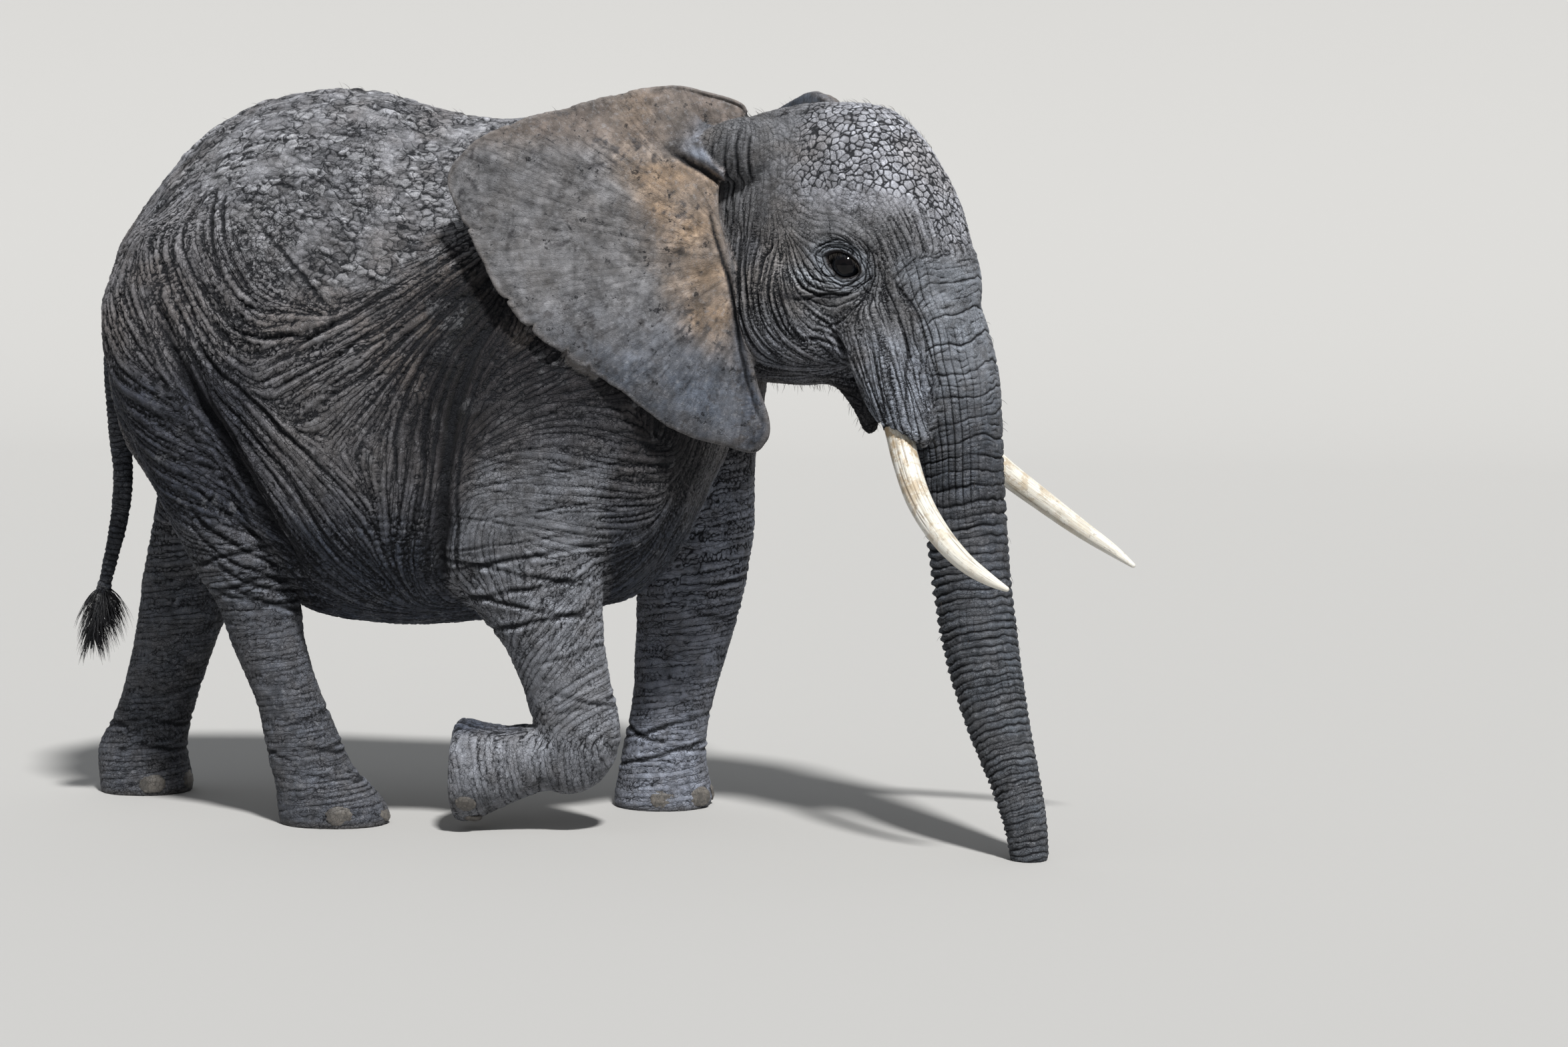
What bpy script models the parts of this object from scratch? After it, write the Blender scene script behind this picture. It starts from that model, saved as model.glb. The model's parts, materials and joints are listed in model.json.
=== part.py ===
"""A full-size African bush elephant cow standing with its right forefoot folded back, trunk hanging to the floor.

Metres, +X ahead, +Y to the animal's left, +Z up. Every part is a solid of flesh divided by thin cuts."""
import math

import bmesh
import bpy
import numpy as np
from mathutils import Vector

for old in list(bpy.data.objects):
    bpy.data.objects.remove(old, do_unlink=True)

GAP = 0.0006                      # the width of a cut between two neighbouring parts
VOXEL = 0.026                     # grain of the flesh before it is thinned out
FLESH_TRIANGLES = 2300
# ---------------------------------------------------------------- sizes (metres)
# Working frame: +X ahead, +Y to the animal's left, +Z up, floor at z = 0.
HEAD_PIVOT = (0.45, 0.0)          # where the head turns on the neck, seen from above
HEAD_YAW = math.radians(-20.0)    # the head looks a little to the animal's right
EYE = (0.600, 0.284, 2.010)       # ahead of the pivot, out from the middle, height
EYE_R = 0.040


def fair(keys, n, closed=False):
    """n rows read from a smooth curve through the rows of keys, spaced by the root of the length of its steps."""
    k = np.array(keys, float)
    if closed:
        k = np.vstack([k[-3:], k, k[:4]])
    step = np.linalg.norm(np.diff(k[:, :3], axis=0), axis=1) ** 0.5 + 1e-9
    t = np.concatenate([[0], np.cumsum(step)])
    m = np.zeros_like(k)
    for i in range(1, len(k) - 1):
        a, b = t[i] - t[i - 1], t[i + 1] - t[i]
        m[i] = ((k[i] - k[i - 1]) / a * b + (k[i + 1] - k[i]) / b * a) / (a + b)
    m[0] = 1.5 * (k[1] - k[0]) / (t[1] - t[0]) - m[1] / 2
    m[-1] = 1.5 * (k[-1] - k[-2]) / (t[-1] - t[-2]) - m[-2] / 2
    s = np.linspace(t[3], t[-4], n, endpoint=False) if closed else np.linspace(0, t[-1], n)
    i = np.clip(np.searchsorted(t, s, side="right") - 1, 0, len(k) - 2)
    h = (t[i + 1] - t[i])[:, None]
    u = ((s - t[i]) / h[:, 0])[:, None]
    return (
        (2 * u**3 - 3 * u**2 + 1) * k[i]
        + (u**3 - 2 * u**2 + u) * h * m[i]
        + (-2 * u**3 + 3 * u**2) * k[i + 1]
        + (u**3 - u**2) * h * m[i + 1]
    )


def power_wave(x, n):
    return np.sign(x) * np.abs(x) ** (2.0 / n)


def ring(centre, ahead, up, right, left, top, bottom, n_top=2.0, n_bottom=2.0, count=32):
    """One closed section: a rounded box whose four half sizes may differ. ahead and up span its plane."""
    t = np.arange(count) * 2 * math.pi / count
    c, s = np.cos(t), np.sin(t)
    n = np.where(s > 0, n_top, n_bottom)
    a, b = power_wave(c, n), power_wave(s, n)
    a = a * np.where(c > 0, right, left)
    b = b * np.where(s > 0, top, bottom)
    return np.array(centre) + np.outer(a, ahead) + np.outer(b, up)


def skin_rings(name, rings, dome=0.0):
    """A closed mesh over a row of sections, capped at both ends with a shrunk ring and a centre point."""
    bm = bmesh.new()
    rows = []
    rings = list(rings)
    if dome:
        for end, inner in ((0, 1), (-1, -2)):
            c = rings[end].mean(0)
            out = c - rings[inner].mean(0)
            out = out / (np.linalg.norm(out) + 1e-9)
            size = np.linalg.norm(rings[end] - c, axis=1).mean()
            caps = [c + (rings[end] - c) * f + out * size * g * dome for f, g in ((0.86, 0.30), (0.6, 0.6), (0.3, 0.78))]
            rings = caps[::-1] + rings if end == 0 else rings + caps
    for r in rings:
        rows.append([bm.verts.new(p) for p in r])
    n = len(rows[0])
    for a, b in zip(rows, rows[1:]):
        for i in range(n):
            j = (i + 1) % n
            bm.faces.new((a[i], a[j], b[j], b[i]))
    for row in (rows[0], rows[-1]):
        mid = bm.verts.new(sum((v.co for v in row), Vector()) / n)
        for i in range(n):
            bm.faces.new((row[i], row[(i + 1) % n], mid))
    bmesh.ops.recalc_face_normals(bm, faces=bm.faces)
    mesh = bpy.data.meshes.new(name)
    bm.to_mesh(mesh)
    bm.free()
    if signed_volume(mesh) < 0:
        mesh.flip_normals()
    return link(name, mesh)


def signed_volume(mesh):
    mesh.calc_loop_triangles()
    p = np.empty(len(mesh.vertices) * 3, np.float32)
    mesh.vertices.foreach_get("co", p)
    p = p.reshape(-1, 3).astype(float)
    f = np.empty(len(mesh.loop_triangles) * 3, np.int32)
    mesh.loop_triangles.foreach_get("vertices", f)
    q = p[f.reshape(-1, 3)]
    return float(np.einsum("ij,ij->i", q[:, 0], np.cross(q[:, 1], q[:, 2])).sum() / 6)


def link(name, mesh):
    obj = bpy.data.objects.new(name, mesh)
    bpy.context.scene.collection.objects.link(obj)
    return obj


def head_point(ahead, out, z):
    """A point given ahead of the head's pivot, out to the head's left, and at a height."""
    c, s = math.cos(HEAD_YAW), math.sin(HEAD_YAW)
    return np.array([HEAD_PIVOT[0] + c * ahead - s * out, HEAD_PIVOT[1] + s * ahead + c * out, z])


def head_way(ahead, out, z=0.0):
    return head_point(ahead, out, z) - head_point(0, 0, 0)


def along(points, radii, up_hint, count=28, n=2.0, samples=0, inflate=0.0):
    """Sections square to a curve: radii are (side, top, bottom) at each point, up_hint gives the top side."""
    rows = [list(p) + list(r) for p, r in zip(points, radii)]
    k = fair(rows, samples or len(rows) * 3)
    p = k[:, :3]
    tangent = np.gradient(p, axis=0)
    tangent /= np.linalg.norm(tangent, axis=1)[:, None]
    out = []
    for i in range(len(p)):
        hint = np.array(up_hint, float)
        side = np.cross(tangent[i], hint)
        side /= np.linalg.norm(side)
        up = np.cross(side, tangent[i])
        g = inflate
        out.append(ring(p[i], side, up, k[i, 3] + g, k[i, 3] + g, k[i, 4] + g, k[i, 5] + g, n, n, count))
    return out


# ---------------------------------------------------------------- body
# x, top, bottom, half width, height of the widest line
BODY = [
    (-1.815, 1.95, 1.52, 0.11, 1.74),
    (-1.78, 2.055, 1.36, 0.22, 1.75),
    (-1.70, 2.172, 1.22, 0.315, 1.78),
    (-1.55, 2.368, 1.05, 0.415, 1.78),
    (-1.40, 2.492, 0.92, 0.475, 1.74),
    (-1.20, 2.580, 0.80, 0.525, 1.62),
    (-1.00, 2.610, 0.722, 0.570, 1.48),
    (-0.80, 2.594, 0.696, 0.608, 1.40),
    (-0.60, 2.538, 0.700, 0.622, 1.36),
    (-0.38, 2.502, 0.724, 0.615, 1.36),
    (-0.15, 2.528, 0.758, 0.580, 1.40),
    (0.08, 2.548, 0.80, 0.525, 1.48),
    (0.25, 2.543, 0.96, 0.455, 1.60),
    (0.38, 2.512, 1.24, 0.370, 1.74),
    (0.47, 2.460, 1.46, 0.285, 1.86),
]
# ahead of the pivot, top, bottom, half width, height of the widest line
SKULL = [
    (-0.12, 2.42, 1.66, 0.27, 2.02),
    (0.05, 2.490, 1.60, 0.300, 2.02),
    (0.22, 2.538, 1.575, 0.315, 2.00),
    (0.38, 2.556, 1.580, 0.322, 1.98),
    (0.51, 2.554, 1.600, 0.315, 1.98),
    (0.61, 2.536, 1.640, 0.292, 1.99),
    (0.705, 2.466, 1.68, 0.260, 2.00),
    (0.783, 2.365, 1.70, 0.226, 2.00),
    (0.852, 2.245, 1.74, 0.184, 1.99),
    (0.900, 2.112, 1.80, 0.128, 1.97),
]
# ahead, out, height, then side, front and back half sizes
TRUNK = [
    (0.585, 0.0, 2.04, 0.225, 0.250, 0.16),
    (0.680, 0.0, 1.90, 0.225, 0.245, 0.18),
    (0.772, 0.0, 1.74, 0.212, 0.226, 0.185),
    (0.846, 0.0, 1.58, 0.190, 0.202, 0.168),
    (0.893, 0.0, 1.42, 0.166, 0.166, 0.156),
    (0.925, -0.004, 1.26, 0.146, 0.144, 0.142),
    (0.950, -0.012, 1.08, 0.138, 0.136, 0.137),
    (0.980, -0.028, 0.90, 0.131, 0.131, 0.132),
    (1.020, -0.050, 0.73, 0.127, 0.127, 0.129),
    (1.074, -0.078, 0.56, 0.116, 0.115, 0.117),
    (1.138, -0.110, 0.40, 0.100, 0.100, 0.101),
    (1.206, -0.140, 0.25, 0.084, 0.084, 0.085),
    (1.253, -0.162, 0.13, 0.0735, 0.0735, 0.074),
    (1.270, -0.172, 0.055, 0.068, 0.068, 0.069),
    (1.278, -0.176, -0.03, 0.064, 0.064, 0.064),
]
# height, x, y, then front, back, outer and inner half sizes
HIND_RIGHT = [
    (2.06, -1.40, -0.24, 0.30, 0.30, 0.22, 0.10),
    (1.84, -1.46, -0.27, 0.31, 0.31, 0.225, 0.14),
    (1.60, -1.475, -0.285, 0.29, 0.262, 0.225, 0.17),
    (1.36, -1.43, -0.290, 0.245, 0.222, 0.205, 0.17),
    (1.16, -1.365, -0.290, 0.205, 0.196, 0.180, 0.16),
    (0.99, -1.290, -0.290, 0.190, 0.188, 0.155, 0.14),
    (0.88, -1.250, -0.288, 0.168, 0.172, 0.140, 0.128),
    (0.77, -1.208, -0.286, 0.146, 0.146, 0.126, 0.118),
    (0.65, -1.180, -0.285, 0.130, 0.134, 0.118, 0.112),
    (0.51, -1.132, -0.285, 0.120, 0.120, 0.114, 0.110),
    (0.40, -1.090, -0.285, 0.122, 0.120, 0.114, 0.112),
    (0.29, -1.052, -0.285, 0.134, 0.136, 0.120, 0.120),
    (0.20, -1.022, -0.285, 0.142, 0.148, 0.134, 0.132),
    (0.13, -0.985, -0.285, 0.178, 0.166, 0.148, 0.146),
    (0.06, -0.955, -0.285, 0.205, 0.186, 0.156, 0.154),
    (-0.06, -0.950, -0.285, 0.206, 0.188, 0.158, 0.156),
]
HIND_LEFT = [
    (2.06, -1.40, 0.24, 0.30, 0.30, 0.10, 0.22),
    (1.84, -1.46, 0.27, 0.31, 0.31, 0.14, 0.225),
    (1.60, -1.50, 0.285, 0.26, 0.250, 0.17, 0.225),
    (1.36, -1.530, 0.290, 0.225, 0.215, 0.17, 0.205),
    (1.12, -1.572, 0.290, 0.205, 0.196, 0.16, 0.178),
    (0.95, -1.615, 0.290, 0.200, 0.190, 0.142, 0.158),
    (0.80, -1.658, 0.290, 0.178, 0.182, 0.128, 0.140),
    (0.64, -1.698, 0.290, 0.162, 0.164, 0.118, 0.124),
    (0.48, -1.745, 0.288, 0.146, 0.152, 0.112, 0.116),
    (0.36, -1.782, 0.286, 0.142, 0.146, 0.112, 0.114),
    (0.27, -1.812, 0.285, 0.144, 0.152, 0.118, 0.118),
    (0.18, -1.842, 0.285, 0.158, 0.170, 0.134, 0.132),
    (0.11, -1.852, 0.285, 0.172, 0.166, 0.148, 0.146),
    (0.05, -1.852, 0.285, 0.184, 0.160, 0.156, 0.154),
    (-0.06, -1.852, 0.285, 0.186, 0.160, 0.158, 0.156),
]
FORE_LEFT = [
    (2.20, 0.03, 0.27, 0.19, 0.19, 0.08, 0.17),
    (1.95, 0.08, 0.30, 0.25, 0.25, 0.12, 0.20),
    (1.65, 0.16, 0.32, 0.275, 0.27, 0.15, 0.21),
    (1.40, 0.205, 0.325, 0.262, 0.262, 0.16, 0.20),
    (1.20, 0.225, 0.325, 0.246, 0.242, 0.155, 0.180),
    (1.02, 0.240, 0.320, 0.228, 0.222, 0.148, 0.160),
    (0.86, 0.242, 0.315, 0.206, 0.202, 0.140, 0.146),
    (0.70, 0.226, 0.308, 0.188, 0.186, 0.132, 0.136),
    (0.54, 0.200, 0.302, 0.164, 0.164, 0.126, 0.128),
    (0.40, 0.176, 0.300, 0.150, 0.150, 0.124, 0.126),
    (0.28, 0.154, 0.298, 0.146, 0.148, 0.128, 0.128),
    (0.18, 0.140, 0.298, 0.154, 0.156, 0.142, 0.142),
    (0.10, 0.136, 0.298, 0.168, 0.168, 0.160, 0.160),
    (0.04, 0.136, 0.298, 0.178, 0.176, 0.172, 0.172),
    (-0.06, 0.136, 0.298, 0.178, 0.176, 0.174, 0.174),
]
FORE_RIGHT = [
    (2.20, 0.02, -0.27, 0.19, 0.19, 0.17, 0.08),
    (1.95, 0.04, -0.31, 0.25, 0.25, 0.21, 0.12),
    (1.65, -0.03, -0.34, 0.28, 0.29, 0.22, 0.15),
    (1.40, -0.115, -0.35, 0.255, 0.29, 0.21, 0.16),
    (1.20, -0.180, -0.35, 0.262, 0.285, 0.195, 0.155),
    (1.02, -0.215, -0.345, 0.280, 0.290, 0.175, 0.148),
    (0.90, -0.215, -0.340, 0.268, 0.276, 0.160, 0.142),
    (0.78, -0.170, -0.335, 0.222, 0.226, 0.148, 0.138),
    (0.66, -0.118, -0.330, 0.176, 0.180, 0.138, 0.134),
    (0.54, -0.082, -0.325, 0.158, 0.162, 0.130, 0.128),
    (0.44, -0.054, -0.322, 0.152, 0.154, 0.126, 0.126),
    (0.34, -0.036, -0.320, 0.144, 0.150, 0.124, 0.124),
    (0.25, -0.040, -0.320, 0.128, 0.135, 0.116, 0.116),
    (0.18, -0.055, -0.320, 0.095, 0.110, 0.092, 0.092),
]
# the folded right forefoot, trailing back from its wrist: x, y, height, then side, top and bottom half sizes
FOLDED_FOOT = [
    (0.00, -0.320, 0.290, 0.112, 0.110, 0.110),
    (-0.10, -0.320, 0.272, 0.116, 0.118, 0.116),
    (-0.20, -0.320, 0.252, 0.120, 0.122, 0.118),
    (-0.30, -0.320, 0.230, 0.134, 0.138, 0.134),
    (-0.38, -0.320, 0.216, 0.154, 0.162, 0.160),
    (-0.44, -0.320, 0.209, 0.164, 0.180, 0.180),
    (-0.475, -0.320, 0.209, 0.160, 0.176, 0.178),
]
# x, height, radius of the tail along its middle
TAIL = [
    (-1.64, 2.08, 0.066),
    (-1.765, 1.985, 0.060),
    (-1.812, 1.84, 0.054),
    (-1.832, 1.66, 0.049),
    (-1.828, 1.50, 0.045),
    (-1.818, 1.36, 0.042),
    (-1.808, 1.22, 0.038),
    (-1.820, 1.08, 0.0355),
    (-1.850, 0.95, 0.031),
    (-1.886, 0.82, 0.029),
    (-1.918, 0.70, 0.034),
    (-1.940, 0.62, 0.040),
    (-1.952, 0.545, 0.026),
]


def body_rings():
    k = fair([(r[0], 0, 0, *r) for r in BODY], 40)[:, 3:]
    return [ring((x, 0, zc), (0, -1, 0), (0, 0, 1), w, w, top - zc, zc - low, 1.95, 2.25, 40) for x, top, low, w, zc in k]


def skull_rings():
    k = fair([(r[0], 0, 0, *r) for r in SKULL], 30)[:, 3:]
    return [
        ring(head_point(a, 0, zc), head_way(0, -1), (0, 0, 1), w, w, top - zc, zc - low, 2.35, 2.5, 36)
        for a, top, low, w, zc in k
    ]


def neck_rings():
    points = [(0.02, 0.0, 1.93), (0.26, 0.0, 1.97), (0.46, -0.01, 2.00), tuple(head_point(0.20, 0, 2.03))]
    sizes = [(0.44, 0.52, 0.60), (0.40, 0.53, 0.50), (0.335, 0.475, 0.41), (0.295, 0.44, 0.38)]
    return along(points, sizes, (0, 0, 1), 36, 2.1, 16)


def trunk_rings(inflate=0.0, samples=46):
    points = [head_point(*r[:3]) for r in TRUNK]
    return along(points, [r[3:] for r in TRUNK], head_way(1, 0, 0.35), 32, 2.15, samples, inflate)


def leg_rings(stations, inflate=0.0, samples=44, count=32):
    rows = [(r[1], r[2], r[0], *r[3:]) for r in stations]
    k = fair(rows, samples)
    out = []
    for x, y, z, front, back, left, right in k:
        g = inflate
        out.append(ring((x, y, z), (1, 0, 0), (0, 1, 0), front + g, back + g, right + g, left + g, 2.1, 2.1, count))
    return out


def folded_rings(inflate=0.0):
    points = [r[:3] for r in FOLDED_FOOT]
    return along(points, [r[3:] for r in FOLDED_FOOT], (0, 0, 1), 32, 2.15, 22, inflate)


def tail_rings(inflate=0.0, samples=40, count=16):
    points = [(r[0], 0.012 * math.sin(4 * r[1]), r[1]) for r in TAIL]
    return along(points, [(r[2], r[2], r[2]) for r in TAIL], (-1, 0, 0.2), count, 2.0, samples, inflate)


def sheath_rings(side):
    """The flesh round the root of a tusk: from under the eye down to the lip, whose rim reaches lower in front."""
    points = [head_point(0.50, side * 0.150, 2.00), head_point(0.62, side * 0.172, 1.84), head_point(0.705, side * 0.192, 1.68),
              head_point(0.765, side * 0.208, 1.54), head_point(0.800, side * 0.218, 1.455)]
    sizes = [(0.13, 0.14, 0.12), (0.125, 0.135, 0.115), (0.108, 0.118, 0.100), (0.090, 0.106, 0.088), (0.074, 0.104, 0.080)]
    rings = along(points, sizes, head_way(1, 0, 0.4), 24, 2.1, 18)
    ahead_way, down = head_way(1, 0, 0.4) / np.linalg.norm(head_way(1, 0, 0.4)), np.array(points[4]) - np.array(points[3])
    down = down / np.linalg.norm(down)
    out = []
    for i, r in enumerate(rings):
        slant = 0.85 * min(1.0, max(0.0, (i - 9) / 7.0))
        reach = (r - r.mean(0)) @ ahead_way
        out.append(r + np.outer(reach * slant, down))
    return out


def cheek_rings(side):
    points = [head_point(0.10, side * 0.235, 1.98), head_point(0.30, side * 0.262, 1.90), head_point(0.46, side * 0.240, 1.82), head_point(0.60, side * 0.19, 1.76)]
    sizes = [(0.085, 0.20, 0.24), (0.100, 0.19, 0.25), (0.095, 0.15, 0.20), (0.080, 0.10, 0.12)]
    return along(points, sizes, (0, 0, 1), 24, 2.0, 14)


def brow_rings(side):
    points = [head_point(0.50, side * 0.255, 2.10), head_point(0.585, side * 0.262, 2.105), head_point(0.68, side * 0.238, 2.085), head_point(0.76, side * 0.19, 2.04)]
    sizes = [(0.040, 0.045, 0.050), (0.048, 0.048, 0.046), (0.048, 0.05, 0.046), (0.04, 0.045, 0.045)]
    return along(points, sizes, (0, 0, 1), 20, 2.0, 12)


def jaw_rings():
    points = [head_point(0.14, 0, 1.735), head_point(0.28, 0, 1.690), head_point(0.40, 0, 1.665), head_point(0.490, 0, 1.615), head_point(0.542, 0, 1.52), head_point(0.562, 0, 1.425)]
    sizes = [(0.20, 0.12, 0.135), (0.19, 0.11, 0.110), (0.165, 0.10, 0.088), (0.118, 0.080, 0.062), (0.068, 0.052, 0.046), (0.028, 0.026, 0.026)]
    return along(points, sizes, head_way(0.5, 0, 1.0), 28, 2.1, 22)


def tusk_line(side):
    """Middle line and radius of a tusk, root first: it comes down out of the lip and sweeps ahead and out."""
    keys = [
        (0.655, 0.190, 1.760, 0.046),
        (0.735, 0.207, 1.590, 0.0475),
        (0.792, 0.224, 1.455, 0.0475),
        (0.848, 0.262, 1.330, 0.0455),
        (0.930, 0.325, 1.215, 0.0430),
        (1.040, 0.392, 1.115, 0.0385),
        (1.160, 0.447, 1.035, 0.0315),
        (1.268, 0.480, 0.985, 0.0215),
        (1.345, 0.490, 0.955, 0.0085),
    ]
    rise = (0, 0, 0.006, 0.028, 0.048, 0.050, 0.034, 0.010, -0.012) if side > 0 else (0,) * 9
    return [head_point(a, side * o, z + h) for (a, o, z, _), h in zip(keys, rise)], [r for *_, r in keys]


def tusk_rings(side, inflate=0.0, samples=30, count=20):
    p, r = tusk_line(side)
    return along(p, [(x, x, x) for x in r], head_way(1, 0, 1), count, 2.0, samples, inflate)


# ---------------------------------------------------------------- ears
# The outline of an ear in its own plane: back from the root line, and height.
EAR_EDGE = [
    (-0.15, 2.535), (0.00, 2.595), (0.10, 2.614), (0.37, 2.564), (0.65, 2.488), (0.82, 2.405), (0.90, 2.310),
    (0.895, 2.230), (0.83, 2.065), (0.76, 1.888), (0.60, 1.716), (0.41, 1.590), (0.22, 1.436), (0.03, 1.372),
    (-0.07, 1.353), (-0.118, 1.430), (-0.088, 1.600), (-0.052, 1.900), (-0.015, 2.150), (-0.040, 2.330), (-0.085, 2.450),
]
EAR_ROOT = (0.125, 0.342)         # the ear's root, ahead of the head's pivot and out from its middle, at a height of 2.25


def ear_place(back, z, lift, side):
    """The place of a point of the ear: back along the ear from its root, height, and lift square to the ear.

    The right ear lies back along the neck. The left one is held out wide at the top and turned back below."""
    c = math.cos(HEAD_YAW * (0.0 if side < 0 else 0.5)), math.sin(HEAD_YAW * (0.0 if side < 0 else 0.5))
    if side < 0:
        lean = 0.10 * (2.25 - z) / 0.9
        swing = math.radians(17.0)
    else:
        lean = -0.02 - 0.36 * (2.25 - z)
        swing = math.radians(26.0 + 18.0 * min(1.0, max(0.0, (z - 1.35) / 0.85)))
    root = head_point(EAR_ROOT[0] + lean, side * EAR_ROOT[1], 0)
    d = (-math.cos(swing), side * math.sin(swing))
    d = np.array([c[0] * d[0] - c[1] * d[1], c[1] * d[0] + c[0] * d[1]])
    n = np.array([-d[1], d[0]])
    n = n if n[1] * side > 0 else -n
    return np.array([root[0] + d[0] * back + n[0] * lift, root[1] + d[1] * back + n[1] * lift, z])


def ear_bow(back, z, side):
    """How far the sheet of the ear stands off its own plane: a shallow cup, a rolled front hem and soft waves."""
    b = max(back, 0.0)
    v = (z - 1.9) / 0.7
    cup = 0.055 * math.sin(min(b / 0.95, 1.0) * math.pi) * (1 - 0.35 * v * v)
    droop = -0.05 * (b / 0.95) ** 2
    lower = -0.05 * max(0.0, (1.72 - z) / 0.45) ** 1.5
    waves = 0.012 * math.sin(9.0 * b + 2.0 * v) * min(1.0, b / 0.3) + 0.009 * math.sin(6.0 * v - 5.0 * b)
    top = 0.045 * max(0.0, (z - 2.36) / 0.22) ** 1.4
    return cup + droop + lower + waves - top


def ear_thickness(edge_gap, back):
    """Half of the ear's thickness: thin at the hem, thicker inwards, and thickest at the root."""
    root = max(0.0, 1.0 - max(back, -0.05) / 0.26)
    return 0.0085 + 0.0075 * min(1.0, edge_gap / 0.10) + 0.022 * root**1.5


# ---------------------------------------------------------------- making solids
def evaluated(obj):
    """The object's mesh with its modifiers applied; the modifiers are then removed."""
    graph = bpy.context.evaluated_depsgraph_get()
    graph.update()
    mesh = bpy.data.meshes.new_from_object(obj.evaluated_get(graph))
    obj.modifiers.clear()
    obj.data = mesh
    return obj


def join(name, objects):
    bm = bmesh.new()
    for o in objects:
        bm.from_mesh(o.data)
        bpy.data.objects.remove(o, do_unlink=True)
    mesh = bpy.data.meshes.new(name)
    bm.to_mesh(mesh)
    bm.free()
    return link(name, mesh)


def modify(obj, kind, **settings):
    m = obj.modifiers.new(kind.title(), kind)
    for key, value in settings.items():
        setattr(m, key, value)
    return evaluated(obj)


def boolean(obj, other, operation="DIFFERENCE"):
    for o in (obj, other):
        flat_faces(o.data)
    return modify(obj, "BOOLEAN", object=other, operation=operation, solver="EXACT")


def flat_faces(mesh):
    """Every face a triangle, so that none is bent."""
    if any(p.loop_total > 3 for p in mesh.polygons):
        bm = bmesh.new()
        bm.from_mesh(mesh)
        bmesh.ops.triangulate(bm, faces=bm.faces[:])
        bm.to_mesh(mesh)
        bm.free()


def triangulate(obj):
    return modify(obj, "TRIANGULATE")


def box(name, centre, x_way, y_way, size):
    """A box with its own axes: size is (along x_way, along y_way, along their cross product)."""
    x = np.array(x_way, float)
    x /= np.linalg.norm(x)
    z = np.cross(x, np.array(y_way, float))
    z /= np.linalg.norm(z)
    y = np.cross(z, x)
    a, b, c = (s / 2 for s in size)
    p = [np.array(centre) + x * i * a + y * j * b + z * k * c for i in (-1, 1) for j in (-1, 1) for k in (-1, 1)]
    faces = [(0, 1, 3, 2), (4, 6, 7, 5), (0, 4, 5, 1), (2, 3, 7, 6), (0, 2, 6, 4), (1, 5, 7, 3)]
    mesh = bpy.data.meshes.new(name)
    mesh.from_pydata([tuple(v) for v in p], [], faces)
    if signed_volume(mesh) < 0:
        mesh.flip_normals()
    return link(name, mesh)


def sheet(name, outer, inner):
    """A thin closed shell: the space between an outer skin and an inner one."""
    inner.data.flip_normals()
    return join(name, [outer, inner])


def pieces_of(obj):
    """The separate solids of a mesh, as new objects, the largest first."""
    bm = bmesh.new()
    bm.from_mesh(obj.data)
    bm.verts.ensure_lookup_table()
    seen, groups = set(), []
    for v in bm.verts:
        if v.index in seen:
            continue
        stack, group = [v], []
        seen.add(v.index)
        while stack:
            w = stack.pop()
            group.append(w.index)
            for e in w.link_edges:
                o = e.other_vert(w)
                if o.index not in seen:
                    seen.add(o.index)
                    stack.append(o)
        groups.append(group)
    found = []
    for g in groups:
        if len(g) < 4:
            continue
        where = {old: new for new, old in enumerate(g)}
        mesh = bpy.data.meshes.new("piece")
        faces = [[where[v.index] for v in f.verts] for f in bm.faces if f.verts[0].index in where]
        mesh.from_pydata([tuple(bm.verts[i].co) for i in g], [], faces)
        found.append((signed_volume(mesh), mesh))
    bm.free()
    found.sort(key=lambda t: -t[0])
    return [(v, link("piece", m)) for v, m in found]


def ear_solid(name, side, rows=4, count=26):
    """A sheet of ear with a rounded hem: rings of its outline shrunk towards the middle, on both faces."""
    edge = fair(EAR_EDGE, count, True)
    mid = np.array([0.40, 1.98])
    bm = bmesh.new()
    shrink = [1.0 - (j / rows) ** 1.15 for j in range(rows)]
    faces = {}
    for face in (1, -1):
        layers = []
        for j, f in enumerate(shrink):
            layer = []
            for p in edge:
                b, z = mid + (p - mid) * f
                gap = np.linalg.norm(p - mid) * (1 - f)
                lift = ear_bow(b, z, side) + face * ear_thickness(gap, b)
                layer.append(bm.verts.new(ear_place(b, z, lift, side)))
            layers.append(layer)
        b, z = mid
        tip = bm.verts.new(ear_place(b, z, ear_bow(b, z, side) + face * ear_thickness(1, b), side))
        for a, c in zip(layers, layers[1:]):
            for i in range(count):
                k = (i + 1) % count
                bm.faces.new((a[i], a[k], c[k], c[i]) if face > 0 else (a[i], c[i], c[k], a[k]))
        for i in range(count):
            k = (i + 1) % count
            bm.faces.new((layers[-1][i], layers[-1][k], tip) if face > 0 else (layers[-1][i], tip, layers[-1][k]))
        faces[face] = layers[0]
    for i in range(count):
        k = (i + 1) % count
        bm.faces.new((faces[1][i], faces[-1][i], faces[-1][k], faces[1][k]))
    bmesh.ops.recalc_face_normals(bm, faces=bm.faces)
    mesh = bpy.data.meshes.new(name)
    bm.to_mesh(mesh)
    bm.free()
    if signed_volume(mesh) < 0:
        mesh.flip_normals()
    return link(name, mesh)


def ball(name, centre, radii, ways=((1, 0, 0), (0, 1, 0), (0, 0, 1)), rings_=8, count=14):
    bm = bmesh.new()
    bmesh.ops.create_uvsphere(bm, u_segments=count, v_segments=rings_, radius=1.0)
    w = np.array(ways, float)
    w /= np.linalg.norm(w, axis=1)[:, None]
    for v in bm.verts:
        v.co = Vector(np.array(centre) + (np.array(v.co) * radii) @ w)
    mesh = bpy.data.meshes.new(name)
    bm.to_mesh(mesh)
    bm.free()
    if signed_volume(mesh) < 0:
        mesh.flip_normals()
    return link(name, mesh)


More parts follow.
